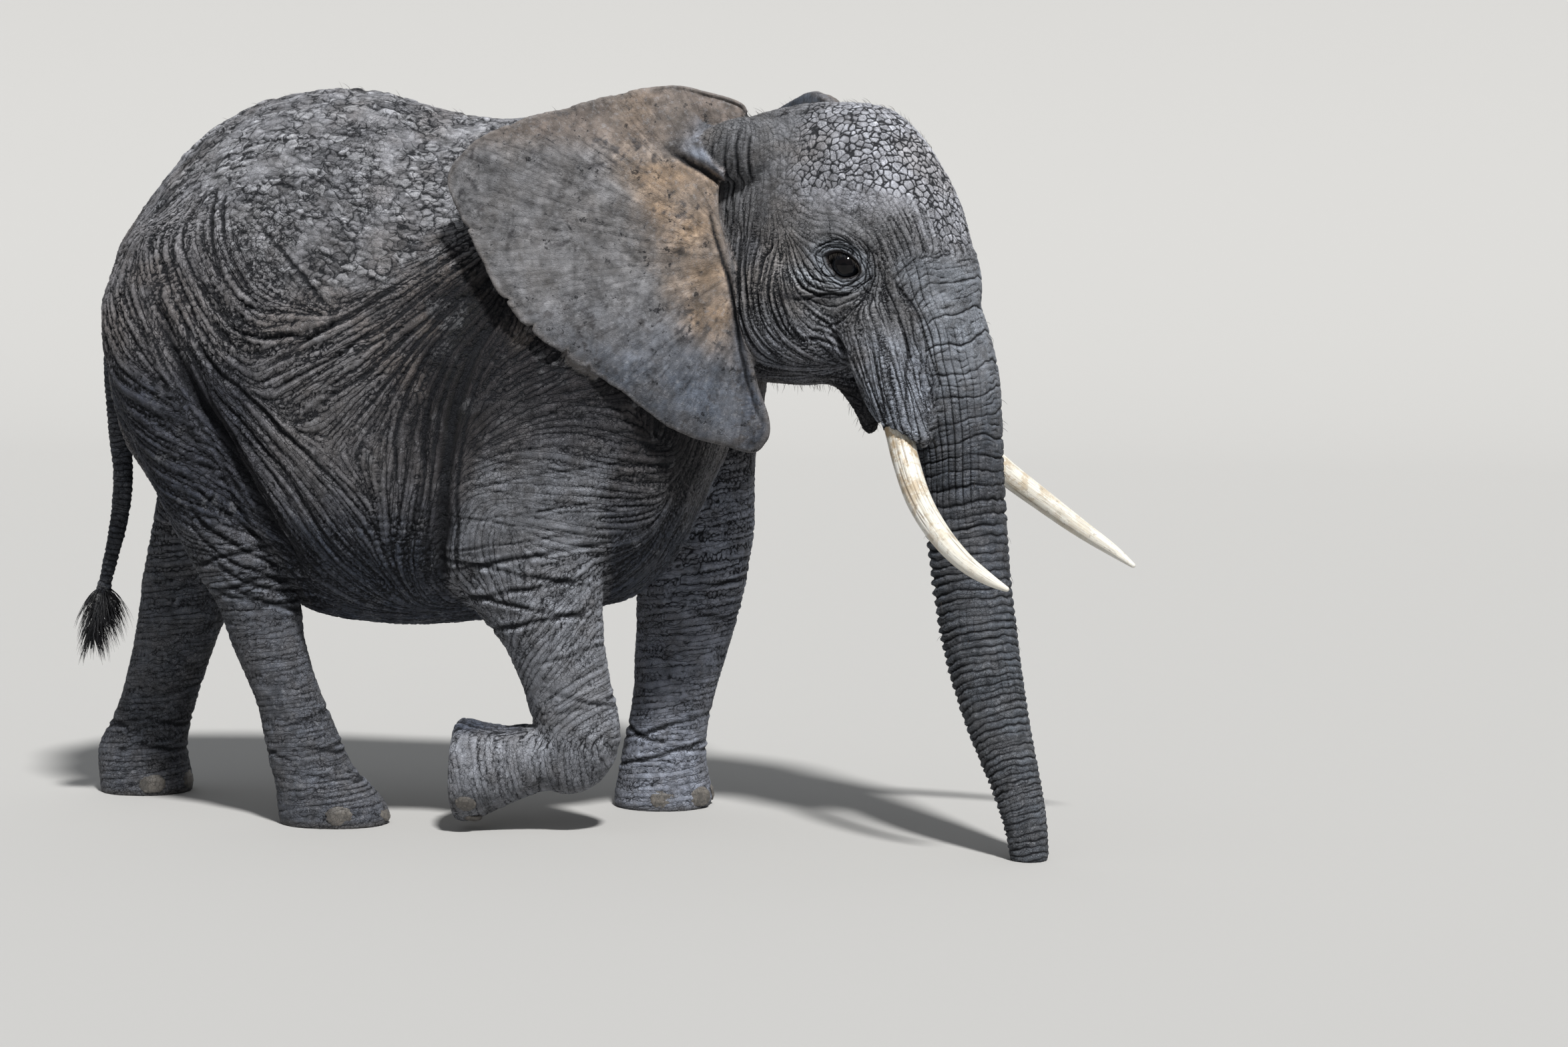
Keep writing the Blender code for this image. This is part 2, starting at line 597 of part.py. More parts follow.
# ---------------------------------------------------------------- the whole flesh, in one solid
def flesh():
    parts = [
        skin_rings("torso", body_rings(), 0.45),
        skin_rings("skull", skull_rings(), 0.8),
        skin_rings("nape", neck_rings()),
        skin_rings("trunk", trunk_rings()),
        skin_rings("jaw", jaw_rings(), 0.9),
        skin_rings("tail", tail_rings(), 0.9),
        skin_rings("folded", folded_rings(), 0.0),
    ]
    for name, rows in (("hr", HIND_RIGHT), ("hl", HIND_LEFT), ("fl", FORE_LEFT), ("fr", FORE_RIGHT)):
        parts.append(skin_rings(name, leg_rings(rows), 0.6 if name == "fr" else 0.0))
    for side in (-1, 1):
        parts += [skin_rings("sheath", sheath_rings(side), 0.8), skin_rings("cheek", cheek_rings(side), 0.9), skin_rings("brow", brow_rings(side), 0.9)]
    whole = join("flesh", parts)
    modify(whole, "REMESH", mode="VOXEL", voxel_size=VOXEL, adaptivity=0.0)
    modify(whole, "SMOOTH", factor=0.5, iterations=5)
    triangulate(whole)
    modify(whole, "DECIMATE", ratio=min(1.0, FLESH_TRIANGLES / len(whole.data.polygons)), use_collapse_triangulate=True)
    above = box("above", (0, 0, 2.0), (1, 0, 0), (0, 1, 0), (8, 8, 4.0))
    boolean(whole, above, "INTERSECT")
    bpy.data.objects.remove(above, do_unlink=True)
    return whole



# ---------------------------------------------------------------- dividing it
def leg_at(rows, z):
    """The sizes of a leg at one height, read straight between its stations."""
    k = np.array([(r[0], r[1], r[2], *r[3:]) for r in rows])[::-1]
    return [float(np.interp(z, k[:, 0], k[:, i])) for i in (1, 2, 3, 4, 5, 6)]


def leg_zone(rows, top, grow):
    """A closed space round one leg: its outer side stands clear of the skin, and its top is a dome within the body."""
    folded = rows is FORE_RIGHT
    out = []
    for z in np.linspace(-0.08, top, 8):
        x, y, front, back, outward, inward = leg_at(rows, max(z, 0.36) if folded else z)
        left, right = outward, inward
        side = 1 if y > 0 else -1
        if side > 0:
            outward, inward = inward, outward
        f = 0.14 + 0.86 * math.sqrt(max(0.0, 1 - max(0.0, (z - (top - 0.42)) / 0.42) ** 2))
        flare = 0.045 + 0.05 * max(0.0, 1 - z / 0.5)
        ahead = front * f + flare + grow
        behind = back * f + flare + grow
        if folded:
            behind += 0.46 * min(1.0, max(0.0, (0.52 - z) / 0.10))
        inner = min(inward * f + 0.03, abs(y) - 0.025) + grow
        outer = outward + 0.20 + grow
        out.append(ring((x, y, z), (1, 0, 0), (0, 1, 0), ahead, behind, outer if side > 0 else inner, inner if side > 0 else outer, 2.5, 2.5, 12))
    low, high = out[0].copy(), out[-1].copy()
    low[:, 2] -= grow
    high[:, 2] += grow
    return skin_rings("zone", [low] + out[1:-1] + [high])


def tail_zone(grow):
    rows = [r for r in tail_rings(grow, 12, 8) if r[:, 2].mean() < 1.93]
    return skin_rings("zone", rows, 0.9)


def jaw_zone(grow):
    """A closed space under the line of the mouth: a side view carried straight across."""
    side_view = [(0.02, 1.25), (0.60, 1.25), (0.598, 1.50), (0.545, 1.585), (0.45, 1.640), (0.30, 1.660), (0.02, 1.672)]
    p = np.array(side_view)
    e = np.roll(p, -1, 0) - p
    n = np.stack([e[:, 1], -e[:, 0]], 1) / np.linalg.norm(e, axis=1)[:, None]
    before = np.roll(n, 1, 0)
    p = p + grow * (n + before) / (1 + (n * before).sum(1))[:, None]
    return skin_rings("zone", [np.array([head_point(a, w, z) for a, z in p]) for w in (-0.215 - grow, 0.215 + grow)])


def divide(obj, zone, gap=GAP):
    """Splits a solid by a closed space: (what is inside it, what is outside it), a thin gap apart."""
    inside = obj.copy()
    inside.data = obj.data.copy()
    bpy.context.scene.collection.objects.link(inside)
    a, b = zone(0.0), zone(gap)
    boolean(inside, a, "INTERSECT")
    boolean(obj, b)
    for z in (a, b):
        bpy.data.objects.remove(z, do_unlink=True)
    return largest(inside), largest(obj)


def largest(obj):
    """Keeps the one main solid of an object, dropping any crumbs a cut leaves."""
    name = obj.name
    found = pieces_of(obj)
    bpy.data.objects.remove(obj, do_unlink=True)
    for volume, other in found[1:]:
            bpy.data.objects.remove(other, do_unlink=True)
    found[0][1].name = name
    return found[0][1]


def slice_by(obj, centre, normal, side_way, names, reach=1.2):
    """Cuts a solid by a thin flat slab; names go to the piece the normal points to, then to the other."""
    n = np.array(normal, float)
    n /= np.linalg.norm(n)
    up = np.cross(n, np.array(side_way, float))
    other = obj.copy()
    other.data = obj.data.copy()
    bpy.context.scene.collection.objects.link(other)
    for o, s in ((obj, 1), (other, -1)):
        half = box("half", np.array(centre) + n * s * (reach / 2 + GAP / 2), n, side_way, (reach, reach * 2, reach * 2))
        boolean(o, half, "INTERSECT")
        bpy.data.objects.remove(half, do_unlink=True)
    a, b = largest(obj), largest(other)
    a.name, b.name = names
    return a, b


def swollen(obj, by):
    """A copy of a solid with its skin moved out a little, to cut a neighbour clear of it."""
    o = obj.copy()
    o.data = obj.data.copy()
    bpy.context.scene.collection.objects.link(o)
    return modify(o, "DISPLACE", strength=by, mid_level=0.0)


WHOLE = flesh()
CLEAR = swollen(WHOLE, 0.0018)

tusks = {side: skin_rings("tusk_" + name, tusk_rings(side, samples=12, count=10), 0.8) for side, name in ((-1, "right"), (1, "left"))}
for side in (-1, 1):
    socket = skin_rings("socket", tusk_rings(side, 0.0020, samples=12, count=10), 0.8)
    boolean(WHOLE, socket)
    bpy.data.objects.remove(socket, do_unlink=True)
eyes = {}
for side, name in ((-1, "right"), (1, "left")):
    at = head_point(EYE[0], side * EYE[1], EYE[2])
    socket = ball("socket", at, (EYE_R + 0.0014,) * 3, rings_=7, count=12)
    boolean(WHOLE, socket)
    bpy.data.objects.remove(socket, do_unlink=True)
    eyes[side] = ball("eye_" + name, at, (EYE_R,) * 3, rings_=7, count=12)

ears = {}
for side, name in ((-1, "right"), (1, "left")):
    ear = ear_solid("ear_" + name, side)
    boolean(ear, CLEAR)
    ears[side] = largest(ear)

legs = {}
for name, rows, top in (("hindleg_right", HIND_RIGHT, 1.90), ("hindleg_left", HIND_LEFT, 1.90), ("foreleg_left", FORE_LEFT, 1.86), ("foreleg_right", FORE_RIGHT, 1.86)):
    leg, WHOLE = divide(WHOLE, lambda g, rows=rows, top=top: leg_zone(rows, top, g))
    leg.name = name
    legs[name] = leg
tail, WHOLE = divide(WHOLE, lambda g: tail_zone(0.012 + g))
tail.name = "tail"
front, body = slice_by(WHOLE, (0.26, 0, 2.0), (1, -0.10, 0.18), (0, 1, 0), ("front", "body"), 3.2)
face, neck = slice_by(front, head_point(0.10, 0, 2.0), head_way(1, 0, -0.12), head_way(0, 1), ("face", "neck"), 2.4)
jaw, face = divide(face, jaw_zone)
jaw.name = "lower_jaw"
trunk, head = slice_by(face, head_point(0.80, 0, 1.66), head_way(0.42, 0, -1.0), head_way(0, 1), ("trunk", "head"), 2.4)
upper, rest = slice_by(trunk, head_point(0.93, 0, 1.22), head_way(-0.12, 0, 1.0), head_way(0, 1), ("trunk_upper", "rest"), 2.0)
middle, rest = slice_by(rest, head_point(1.02, -0.04, 0.76), head_way(-0.25, 0.1, 1.0), head_way(0, 1), ("trunk_middle", "rest"), 2.0)
lower, tip = slice_by(rest, head_point(1.16, -0.12, 0.34), head_way(-0.35, 0.15, 1.0), head_way(0, 1), ("trunk_lower", "trunk_tip"), 2.0)

for name, cuts in {
    "hindleg_right": [((-1.23, -0.29, 0.82), (-0.35, 0, 1)), ((-1.03, -0.29, 0.225), (-0.15, 0, 1))],
    "hindleg_left": [((-1.65, 0.29, 0.82), (0.25, 0, 1)), ((-1.83, 0.29, 0.215), (0.1, 0, 1))],
    "foreleg_left": [((0.24, 0.31, 0.90), (-0.08, 0, 1)), ((0.14, 0.30, 0.215), (-0.03, 0, 1))],
    "foreleg_right": [((-0.18, -0.33, 0.82), (-0.45, 0, 1)), ((-0.235, -0.32, 0.22), (1, 0, 0.15))],
}.items():
    leg = legs[name]
    part = name.split("leg")[0]
    side = name.split("_")[1]
    a, rest = slice_by(leg, cuts[0][0], cuts[0][1], (0, 1, 0), (name + "_upper", "rest"), 2.4)
    b, foot = slice_by(rest, cuts[1][0], cuts[1][1], (0, 1, 0), (name + "_lower", f"foot_{part}_{side}"), 2.0)
root, rest = slice_by(tail, (-1.822, 0, 1.30), (0, 0, 1), (0, 1, 0), ("tail_upper", "rest"), 1.6)
low, tuft = slice_by(rest, (-1.895, 0, 0.79), (0.3, 0, 1), (0, 1, 0), ("tail_lower", "tail_tuft"), 1.6)


# ---------------------------------------------------------------- toenails
# foot, middle of the sole, half sizes of the sole ahead and across, then the bearing of each nail from straight ahead
NAILS = [
    ("hind_right", (-0.955, -0.285), (0.205, 0.158), (-62, 0, 58)),
    ("hind_left", (-1.852, 0.285), (0.184, 0.158), (-60, 0, 60)),
    ("fore_left", (0.136, 0.298), (0.178, 0.174), (-78, -28, 22, 70)),
]


def nail(name, at, out, tall, wide, thick, up=(0, 0, 1)):
    out = np.array(out, float)
    out /= np.linalg.norm(out)
    across = np.cross(np.array(up, float), out)
    return ball(name, at, (thick, wide, tall), (out, across, np.cross(out, across)), 5, 8)


def surface_from(at, way, reach=0.5):
    """Where a line from inside the flesh meets its skin, and how the skin faces there."""
    hit, where, normal, _ = CLEAR.ray_cast(Vector(at), Vector(way), distance=reach)
    return (np.array(where), np.array(normal)) if hit else (np.array(at), np.array(way))


for foot, middle, half, bearings in NAILS:
    for i, bearing in enumerate(bearings):
        b = math.radians(bearing)
        way = np.array([math.cos(b), math.sin(b), 0.0])
        where, normal = surface_from((*middle, 0.066), way)
        n = nail(f"nail_{foot}_{i + 1}", where - normal * 0.004, normal, 0.040, 0.044, 0.017)
        boolean(n, CLEAR)
        o = largest(n)
for i, turn in enumerate((-52, -17, 19, 55)):
    # the folded foot points back: its toes hang below and behind, its nails on the side away from the shin
    b = math.radians(turn)
    way = np.array([0.0, math.sin(b), -math.cos(b)])
    where, normal = surface_from((-0.415, -0.320, 0.21), way)
    n = nail(f"nail_fore_right_{i + 1}", where - normal * 0.004, normal, 0.040, 0.042, 0.017, (-1, 0, 0))
    boolean(n, CLEAR)
    o = largest(n)
bpy.data.objects.remove(CLEAR, do_unlink=True)


# ---------------------------------------------------------------- finish
# the origin goes to the middle of the whole animal's box, on the floor
FINISH = {
    "eye": ((0.035, 0.018, 0.010), 0.08),
    "tusk": ((0.78, 0.74, 0.63), 0.38),
    "nail": ((0.34, 0.29, 0.23), 0.55),
    "tail_tuft": ((0.012, 0.012, 0.014), 0.60),
    "ear": ((0.165, 0.155, 0.150), 0.92),
    "": ((0.120, 0.120, 0.122), 0.92),
}
nodes = list(bpy.data.objects)
corners = np.array([v.co for o in nodes for v in o.data.vertices])
low, high = corners.min(0), corners.max(0)
MOVE = Vector((-(low[0] + high[0]) / 2, -(low[1] + high[1]) / 2, -low[2]))
print("moved by", tuple(MOVE), "size", high - low)
for o in nodes:
    for v in o.data.vertices:
        v.co += MOVE
    colour, rough = next(f for key, f in FINISH.items() if o.name.startswith(key))
    m = bpy.data.materials.new(o.name)
    m.use_nodes = True
    shader = m.node_tree.nodes["Principled BSDF"]
    shader.inputs["Base Color"].default_value = (*colour, 1.0)
    shader.inputs["Roughness"].default_value = rough
    shader.inputs["Metallic"].default_value = 0.0
    o.data.materials.clear()
    o.data.materials.append(m)
    o.data.shade_smooth()
    o.data.set_sharp_from_angle(angle=math.radians(50))
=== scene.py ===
"""The looks of a life-size African bush elephant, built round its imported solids.

One skin covers the body, head, trunk, legs, ears and tail. It is remeshed from the same smooth sections as the
solids, then creased: a flow of wrinkle directions is laid over the body, noise is drawn out along it, and the
skin is sunk where that noise crosses zero. Eyes, tusks, toenails and hair are separate pieces.
Working frame: +X ahead, +Y to the animal's left, +Z up, floor at z = 0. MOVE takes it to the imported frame.
"""

import json
import math
from concurrent.futures import ThreadPoolExecutor

import bmesh
import bpy
import numpy as np
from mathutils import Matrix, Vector
from mathutils.bvhtree import BVHTree

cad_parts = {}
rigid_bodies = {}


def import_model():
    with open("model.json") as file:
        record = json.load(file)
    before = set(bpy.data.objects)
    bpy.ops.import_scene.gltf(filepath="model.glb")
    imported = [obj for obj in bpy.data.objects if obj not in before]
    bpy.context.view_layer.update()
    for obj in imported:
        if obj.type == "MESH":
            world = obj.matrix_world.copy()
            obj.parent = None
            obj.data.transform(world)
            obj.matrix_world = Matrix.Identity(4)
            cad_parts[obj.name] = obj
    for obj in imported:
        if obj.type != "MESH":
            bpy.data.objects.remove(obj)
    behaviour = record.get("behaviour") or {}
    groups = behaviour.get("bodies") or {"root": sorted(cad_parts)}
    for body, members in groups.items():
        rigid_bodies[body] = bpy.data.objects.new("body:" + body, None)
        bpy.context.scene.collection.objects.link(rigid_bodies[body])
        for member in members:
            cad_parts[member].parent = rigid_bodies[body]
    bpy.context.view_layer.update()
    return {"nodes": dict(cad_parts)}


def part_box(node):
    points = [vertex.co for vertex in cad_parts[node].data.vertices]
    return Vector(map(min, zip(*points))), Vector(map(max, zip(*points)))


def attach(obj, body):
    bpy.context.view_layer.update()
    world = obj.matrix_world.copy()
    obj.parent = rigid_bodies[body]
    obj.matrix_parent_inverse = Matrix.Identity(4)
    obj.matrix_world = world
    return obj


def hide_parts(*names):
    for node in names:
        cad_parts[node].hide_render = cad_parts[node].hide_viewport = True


for start_up in list(bpy.data.objects):
    bpy.data.objects.remove(start_up, do_unlink=True)
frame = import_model()

VOXEL = 0.0079


# ---------------------------------------------------------------- sizes (metres)
# Working frame: +X ahead, +Y to the animal's left, +Z up, floor at z = 0.
HEAD_PIVOT = (0.45, 0.0)          # where the head turns on the neck, seen from above
HEAD_YAW = math.radians(-20.0)    # the head looks a little to the animal's right
EYE = (0.600, 0.284, 2.010)       # ahead of the pivot, out from the middle, height
EYE_R = 0.040


def fair(keys, n, closed=False):
    """n rows read from a smooth curve through the rows of keys, spaced by the root of the length of its steps."""
    k = np.array(keys, float)
    if closed:
        k = np.vstack([k[-3:], k, k[:4]])
    step = np.linalg.norm(np.diff(k[:, :3], axis=0), axis=1) ** 0.5 + 1e-9
    t = np.concatenate([[0], np.cumsum(step)])
    m = np.zeros_like(k)
    for i in range(1, len(k) - 1):
        a, b = t[i] - t[i - 1], t[i + 1] - t[i]
        m[i] = ((k[i] - k[i - 1]) / a * b + (k[i + 1] - k[i]) / b * a) / (a + b)
    m[0] = 1.5 * (k[1] - k[0]) / (t[1] - t[0]) - m[1] / 2
    m[-1] = 1.5 * (k[-1] - k[-2]) / (t[-1] - t[-2]) - m[-2] / 2
    s = np.linspace(t[3], t[-4], n, endpoint=False) if closed else np.linspace(0, t[-1], n)
    i = np.clip(np.searchsorted(t, s, side="right") - 1, 0, len(k) - 2)
    h = (t[i + 1] - t[i])[:, None]
    u = ((s - t[i]) / h[:, 0])[:, None]
    return (
        (2 * u**3 - 3 * u**2 + 1) * k[i]
        + (u**3 - 2 * u**2 + u) * h * m[i]
        + (-2 * u**3 + 3 * u**2) * k[i + 1]
        + (u**3 - u**2) * h * m[i + 1]
    )


def power_wave(x, n):
    return np.sign(x) * np.abs(x) ** (2.0 / n)


def ring(centre, ahead, up, right, left, top, bottom, n_top=2.0, n_bottom=2.0, count=32):
    """One closed section: a rounded box whose four half sizes may differ. ahead and up span its plane."""
    t = np.arange(count) * 2 * math.pi / count
    c, s = np.cos(t), np.sin(t)
    n = np.where(s > 0, n_top, n_bottom)
    a, b = power_wave(c, n), power_wave(s, n)
    a = a * np.where(c > 0, right, left)
    b = b * np.where(s > 0, top, bottom)
    return np.array(centre) + np.outer(a, ahead) + np.outer(b, up)


def skin_rings(name, rings, dome=0.0):
    """A closed mesh over a row of sections, capped at both ends with a shrunk ring and a centre point."""
    bm = bmesh.new()
    rows = []
    rings = list(rings)
    if dome:
        for end, inner in ((0, 1), (-1, -2)):
            c = rings[end].mean(0)
            out = c - rings[inner].mean(0)
            out = out / (np.linalg.norm(out) + 1e-9)
            size = np.linalg.norm(rings[end] - c, axis=1).mean()
            caps = [c + (rings[end] - c) * f + out * size * g * dome for f, g in ((0.86, 0.30), (0.6, 0.6), (0.3, 0.78))]
            rings = caps[::-1] + rings if end == 0 else rings + caps
    for r in rings:
        rows.append([bm.verts.new(p) for p in r])
    n = len(rows[0])
    for a, b in zip(rows, rows[1:]):
        for i in range(n):
            j = (i + 1) % n
            bm.faces.new((a[i], a[j], b[j], b[i]))
    for row in (rows[0], rows[-1]):
        mid = bm.verts.new(sum((v.co for v in row), Vector()) / n)
        for i in range(n):
            bm.faces.new((row[i], row[(i + 1) % n], mid))
    bmesh.ops.recalc_face_normals(bm, faces=bm.faces)
    mesh = bpy.data.meshes.new(name)
    bm.to_mesh(mesh)
    bm.free()
    if signed_volume(mesh) < 0:
        mesh.flip_normals()
    return link(name, mesh)


def signed_volume(mesh):
    mesh.calc_loop_triangles()
    p = np.empty(len(mesh.vertices) * 3, np.float32)
    mesh.vertices.foreach_get("co", p)
    p = p.reshape(-1, 3).astype(float)
    f = np.empty(len(mesh.loop_triangles) * 3, np.int32)
    mesh.loop_triangles.foreach_get("vertices", f)
    q = p[f.reshape(-1, 3)]
    return float(np.einsum("ij,ij->i", q[:, 0], np.cross(q[:, 1], q[:, 2])).sum() / 6)


def link(name, mesh):
    obj = bpy.data.objects.new(name, mesh)
    bpy.context.scene.collection.objects.link(obj)
    return obj


def head_point(ahead, out, z):
    """A point given ahead of the head's pivot, out to the head's left, and at a height."""
    c, s = math.cos(HEAD_YAW), math.sin(HEAD_YAW)
    return np.array([HEAD_PIVOT[0] + c * ahead - s * out, HEAD_PIVOT[1] + s * ahead + c * out, z])


def head_way(ahead, out, z=0.0):
    return head_point(ahead, out, z) - head_point(0, 0, 0)


def along(points, radii, up_hint, count=28, n=2.0, samples=0, inflate=0.0):
    """Sections square to a curve: radii are (side, top, bottom) at each point, up_hint gives the top side."""
    rows = [list(p) + list(r) for p, r in zip(points, radii)]
    k = fair(rows, samples or len(rows) * 3)
    p = k[:, :3]
    tangent = np.gradient(p, axis=0)
    tangent /= np.linalg.norm(tangent, axis=1)[:, None]
    out = []
    for i in range(len(p)):
        hint = np.array(up_hint, float)
        side = np.cross(tangent[i], hint)
        side /= np.linalg.norm(side)
        up = np.cross(side, tangent[i])
        g = inflate
        out.append(ring(p[i], side, up, k[i, 3] + g, k[i, 3] + g, k[i, 4] + g, k[i, 5] + g, n, n, count))
    return out


# ---------------------------------------------------------------- body
# x, top, bottom, half width, height of the widest line
BODY = [
    (-1.815, 1.95, 1.52, 0.11, 1.74),
    (-1.78, 2.055, 1.36, 0.22, 1.75),
    (-1.70, 2.172, 1.22, 0.315, 1.78),
    (-1.55, 2.368, 1.05, 0.415, 1.78),
    (-1.40, 2.492, 0.92, 0.475, 1.74),
    (-1.20, 2.580, 0.80, 0.525, 1.62),
    (-1.00, 2.610, 0.722, 0.570, 1.48),
    (-0.80, 2.594, 0.696, 0.608, 1.40),
    (-0.60, 2.538, 0.700, 0.622, 1.36),
    (-0.38, 2.502, 0.724, 0.615, 1.36),
    (-0.15, 2.528, 0.758, 0.580, 1.40),
    (0.08, 2.548, 0.80, 0.525, 1.48),
    (0.25, 2.543, 0.96, 0.455, 1.60),
    (0.38, 2.512, 1.24, 0.370, 1.74),
    (0.47, 2.460, 1.46, 0.285, 1.86),
]
# ahead of the pivot, top, bottom, half width, height of the widest line
SKULL = [
    (-0.12, 2.42, 1.66, 0.27, 2.02),
    (0.05, 2.490, 1.60, 0.300, 2.02),
    (0.22, 2.538, 1.575, 0.315, 2.00),
    (0.38, 2.556, 1.580, 0.322, 1.98),
    (0.51, 2.554, 1.600, 0.315, 1.98),
    (0.61, 2.536, 1.640, 0.292, 1.99),
    (0.705, 2.466, 1.68, 0.260, 2.00),
    (0.783, 2.365, 1.70, 0.226, 2.00),
    (0.852, 2.245, 1.74, 0.184, 1.99),
    (0.900, 2.112, 1.80, 0.128, 1.97),
]
# ahead, out, height, then side, front and back half sizes
TRUNK = [
    (0.585, 0.0, 2.04, 0.225, 0.250, 0.16),
    (0.680, 0.0, 1.90, 0.225, 0.245, 0.18),
    (0.772, 0.0, 1.74, 0.212, 0.226, 0.185),
    (0.846, 0.0, 1.58, 0.190, 0.202, 0.168),
    (0.893, 0.0, 1.42, 0.166, 0.166, 0.156),
    (0.925, -0.004, 1.26, 0.146, 0.144, 0.142),
    (0.950, -0.012, 1.08, 0.138, 0.136, 0.137),
    (0.980, -0.028, 0.90, 0.131, 0.131, 0.132),
    (1.020, -0.050, 0.73, 0.127, 0.127, 0.129),
    (1.074, -0.078, 0.56, 0.116, 0.115, 0.117),
    (1.138, -0.110, 0.40, 0.100, 0.100, 0.101),
    (1.206, -0.140, 0.25, 0.084, 0.084, 0.085),
    (1.253, -0.162, 0.13, 0.0735, 0.0735, 0.074),
    (1.270, -0.172, 0.055, 0.068, 0.068, 0.069),
    (1.278, -0.176, -0.03, 0.064, 0.064, 0.064),
]
# height, x, y, then front, back, outer and inner half sizes
HIND_RIGHT = [
    (2.06, -1.40, -0.24, 0.30, 0.30, 0.22, 0.10),
    (1.84, -1.46, -0.27, 0.31, 0.31, 0.225, 0.14),
    (1.60, -1.475, -0.285, 0.29, 0.262, 0.225, 0.17),
    (1.36, -1.43, -0.290, 0.245, 0.222, 0.205, 0.17),
    (1.16, -1.365, -0.290, 0.205, 0.196, 0.180, 0.16),
    (0.99, -1.290, -0.290, 0.190, 0.188, 0.155, 0.14),
    (0.88, -1.250, -0.288, 0.168, 0.172, 0.140, 0.128),
    (0.77, -1.208, -0.286, 0.146, 0.146, 0.126, 0.118),
    (0.65, -1.180, -0.285, 0.130, 0.134, 0.118, 0.112),
    (0.51, -1.132, -0.285, 0.120, 0.120, 0.114, 0.110),
    (0.40, -1.090, -0.285, 0.122, 0.120, 0.114, 0.112),
    (0.29, -1.052, -0.285, 0.134, 0.136, 0.120, 0.120),
    (0.20, -1.022, -0.285, 0.142, 0.148, 0.134, 0.132),
    (0.13, -0.985, -0.285, 0.178, 0.166, 0.148, 0.146),
    (0.06, -0.955, -0.285, 0.205, 0.186, 0.156, 0.154),
    (-0.06, -0.950, -0.285, 0.206, 0.188, 0.158, 0.156),
]
HIND_LEFT = [
    (2.06, -1.40, 0.24, 0.30, 0.30, 0.10, 0.22),
    (1.84, -1.46, 0.27, 0.31, 0.31, 0.14, 0.225),
    (1.60, -1.50, 0.285, 0.26, 0.250, 0.17, 0.225),
    (1.36, -1.530, 0.290, 0.225, 0.215, 0.17, 0.205),
    (1.12, -1.572, 0.290, 0.205, 0.196, 0.16, 0.178),
    (0.95, -1.615, 0.290, 0.200, 0.190, 0.142, 0.158),
    (0.80, -1.658, 0.290, 0.178, 0.182, 0.128, 0.140),
    (0.64, -1.698, 0.290, 0.162, 0.164, 0.118, 0.124),
    (0.48, -1.745, 0.288, 0.146, 0.152, 0.112, 0.116),
    (0.36, -1.782, 0.286, 0.142, 0.146, 0.112, 0.114),
    (0.27, -1.812, 0.285, 0.144, 0.152, 0.118, 0.118),
    (0.18, -1.842, 0.285, 0.158, 0.170, 0.134, 0.132),
    (0.11, -1.852, 0.285, 0.172, 0.166, 0.148, 0.146),
    (0.05, -1.852, 0.285, 0.184, 0.160, 0.156, 0.154),
    (-0.06, -1.852, 0.285, 0.186, 0.160, 0.158, 0.156),
]
FORE_LEFT = [
    (2.20, 0.03, 0.27, 0.19, 0.19, 0.08, 0.17),
    (1.95, 0.08, 0.30, 0.25, 0.25, 0.12, 0.20),
    (1.65, 0.16, 0.32, 0.275, 0.27, 0.15, 0.21),
    (1.40, 0.205, 0.325, 0.262, 0.262, 0.16, 0.20),
    (1.20, 0.225, 0.325, 0.246, 0.242, 0.155, 0.180),
    (1.02, 0.240, 0.320, 0.228, 0.222, 0.148, 0.160),
    (0.86, 0.242, 0.315, 0.206, 0.202, 0.140, 0.146),
    (0.70, 0.226, 0.308, 0.188, 0.186, 0.132, 0.136),
    (0.54, 0.200, 0.302, 0.164, 0.164, 0.126, 0.128),
    (0.40, 0.176, 0.300, 0.150, 0.150, 0.124, 0.126),
    (0.28, 0.154, 0.298, 0.146, 0.148, 0.128, 0.128),
    (0.18, 0.140, 0.298, 0.154, 0.156, 0.142, 0.142),
    (0.10, 0.136, 0.298, 0.168, 0.168, 0.160, 0.160),
    (0.04, 0.136, 0.298, 0.178, 0.176, 0.172, 0.172),
    (-0.06, 0.136, 0.298, 0.178, 0.176, 0.174, 0.174),
]
FORE_RIGHT = [
    (2.20, 0.02, -0.27, 0.19, 0.19, 0.17, 0.08),
    (1.95, 0.04, -0.31, 0.25, 0.25, 0.21, 0.12),
    (1.65, -0.03, -0.34, 0.28, 0.29, 0.22, 0.15),
    (1.40, -0.115, -0.35, 0.255, 0.29, 0.21, 0.16),
    (1.20, -0.180, -0.35, 0.262, 0.285, 0.195, 0.155),
    (1.02, -0.215, -0.345, 0.280, 0.290, 0.175, 0.148),
    (0.90, -0.215, -0.340, 0.268, 0.276, 0.160, 0.142),
    (0.78, -0.170, -0.335, 0.222, 0.226, 0.148, 0.138),
    (0.66, -0.118, -0.330, 0.176, 0.180, 0.138, 0.134),
    (0.54, -0.082, -0.325, 0.158, 0.162, 0.130, 0.128),
    (0.44, -0.054, -0.322, 0.152, 0.154, 0.126, 0.126),
    (0.34, -0.036, -0.320, 0.144, 0.150, 0.124, 0.124),
    (0.25, -0.040, -0.320, 0.128, 0.135, 0.116, 0.116),
    (0.18, -0.055, -0.320, 0.095, 0.110, 0.092, 0.092),
]
# the folded right forefoot, trailing back from its wrist: x, y, height, then side, top and bottom half sizes
FOLDED_FOOT = [
    (0.00, -0.320, 0.290, 0.112, 0.110, 0.110),
    (-0.10, -0.320, 0.272, 0.116, 0.118, 0.116),
    (-0.20, -0.320, 0.252, 0.120, 0.122, 0.118),
    (-0.30, -0.320, 0.230, 0.134, 0.138, 0.134),
    (-0.38, -0.320, 0.216, 0.154, 0.162, 0.160),
    (-0.44, -0.320, 0.209, 0.164, 0.180, 0.180),
    (-0.475, -0.320, 0.209, 0.160, 0.176, 0.178),
]
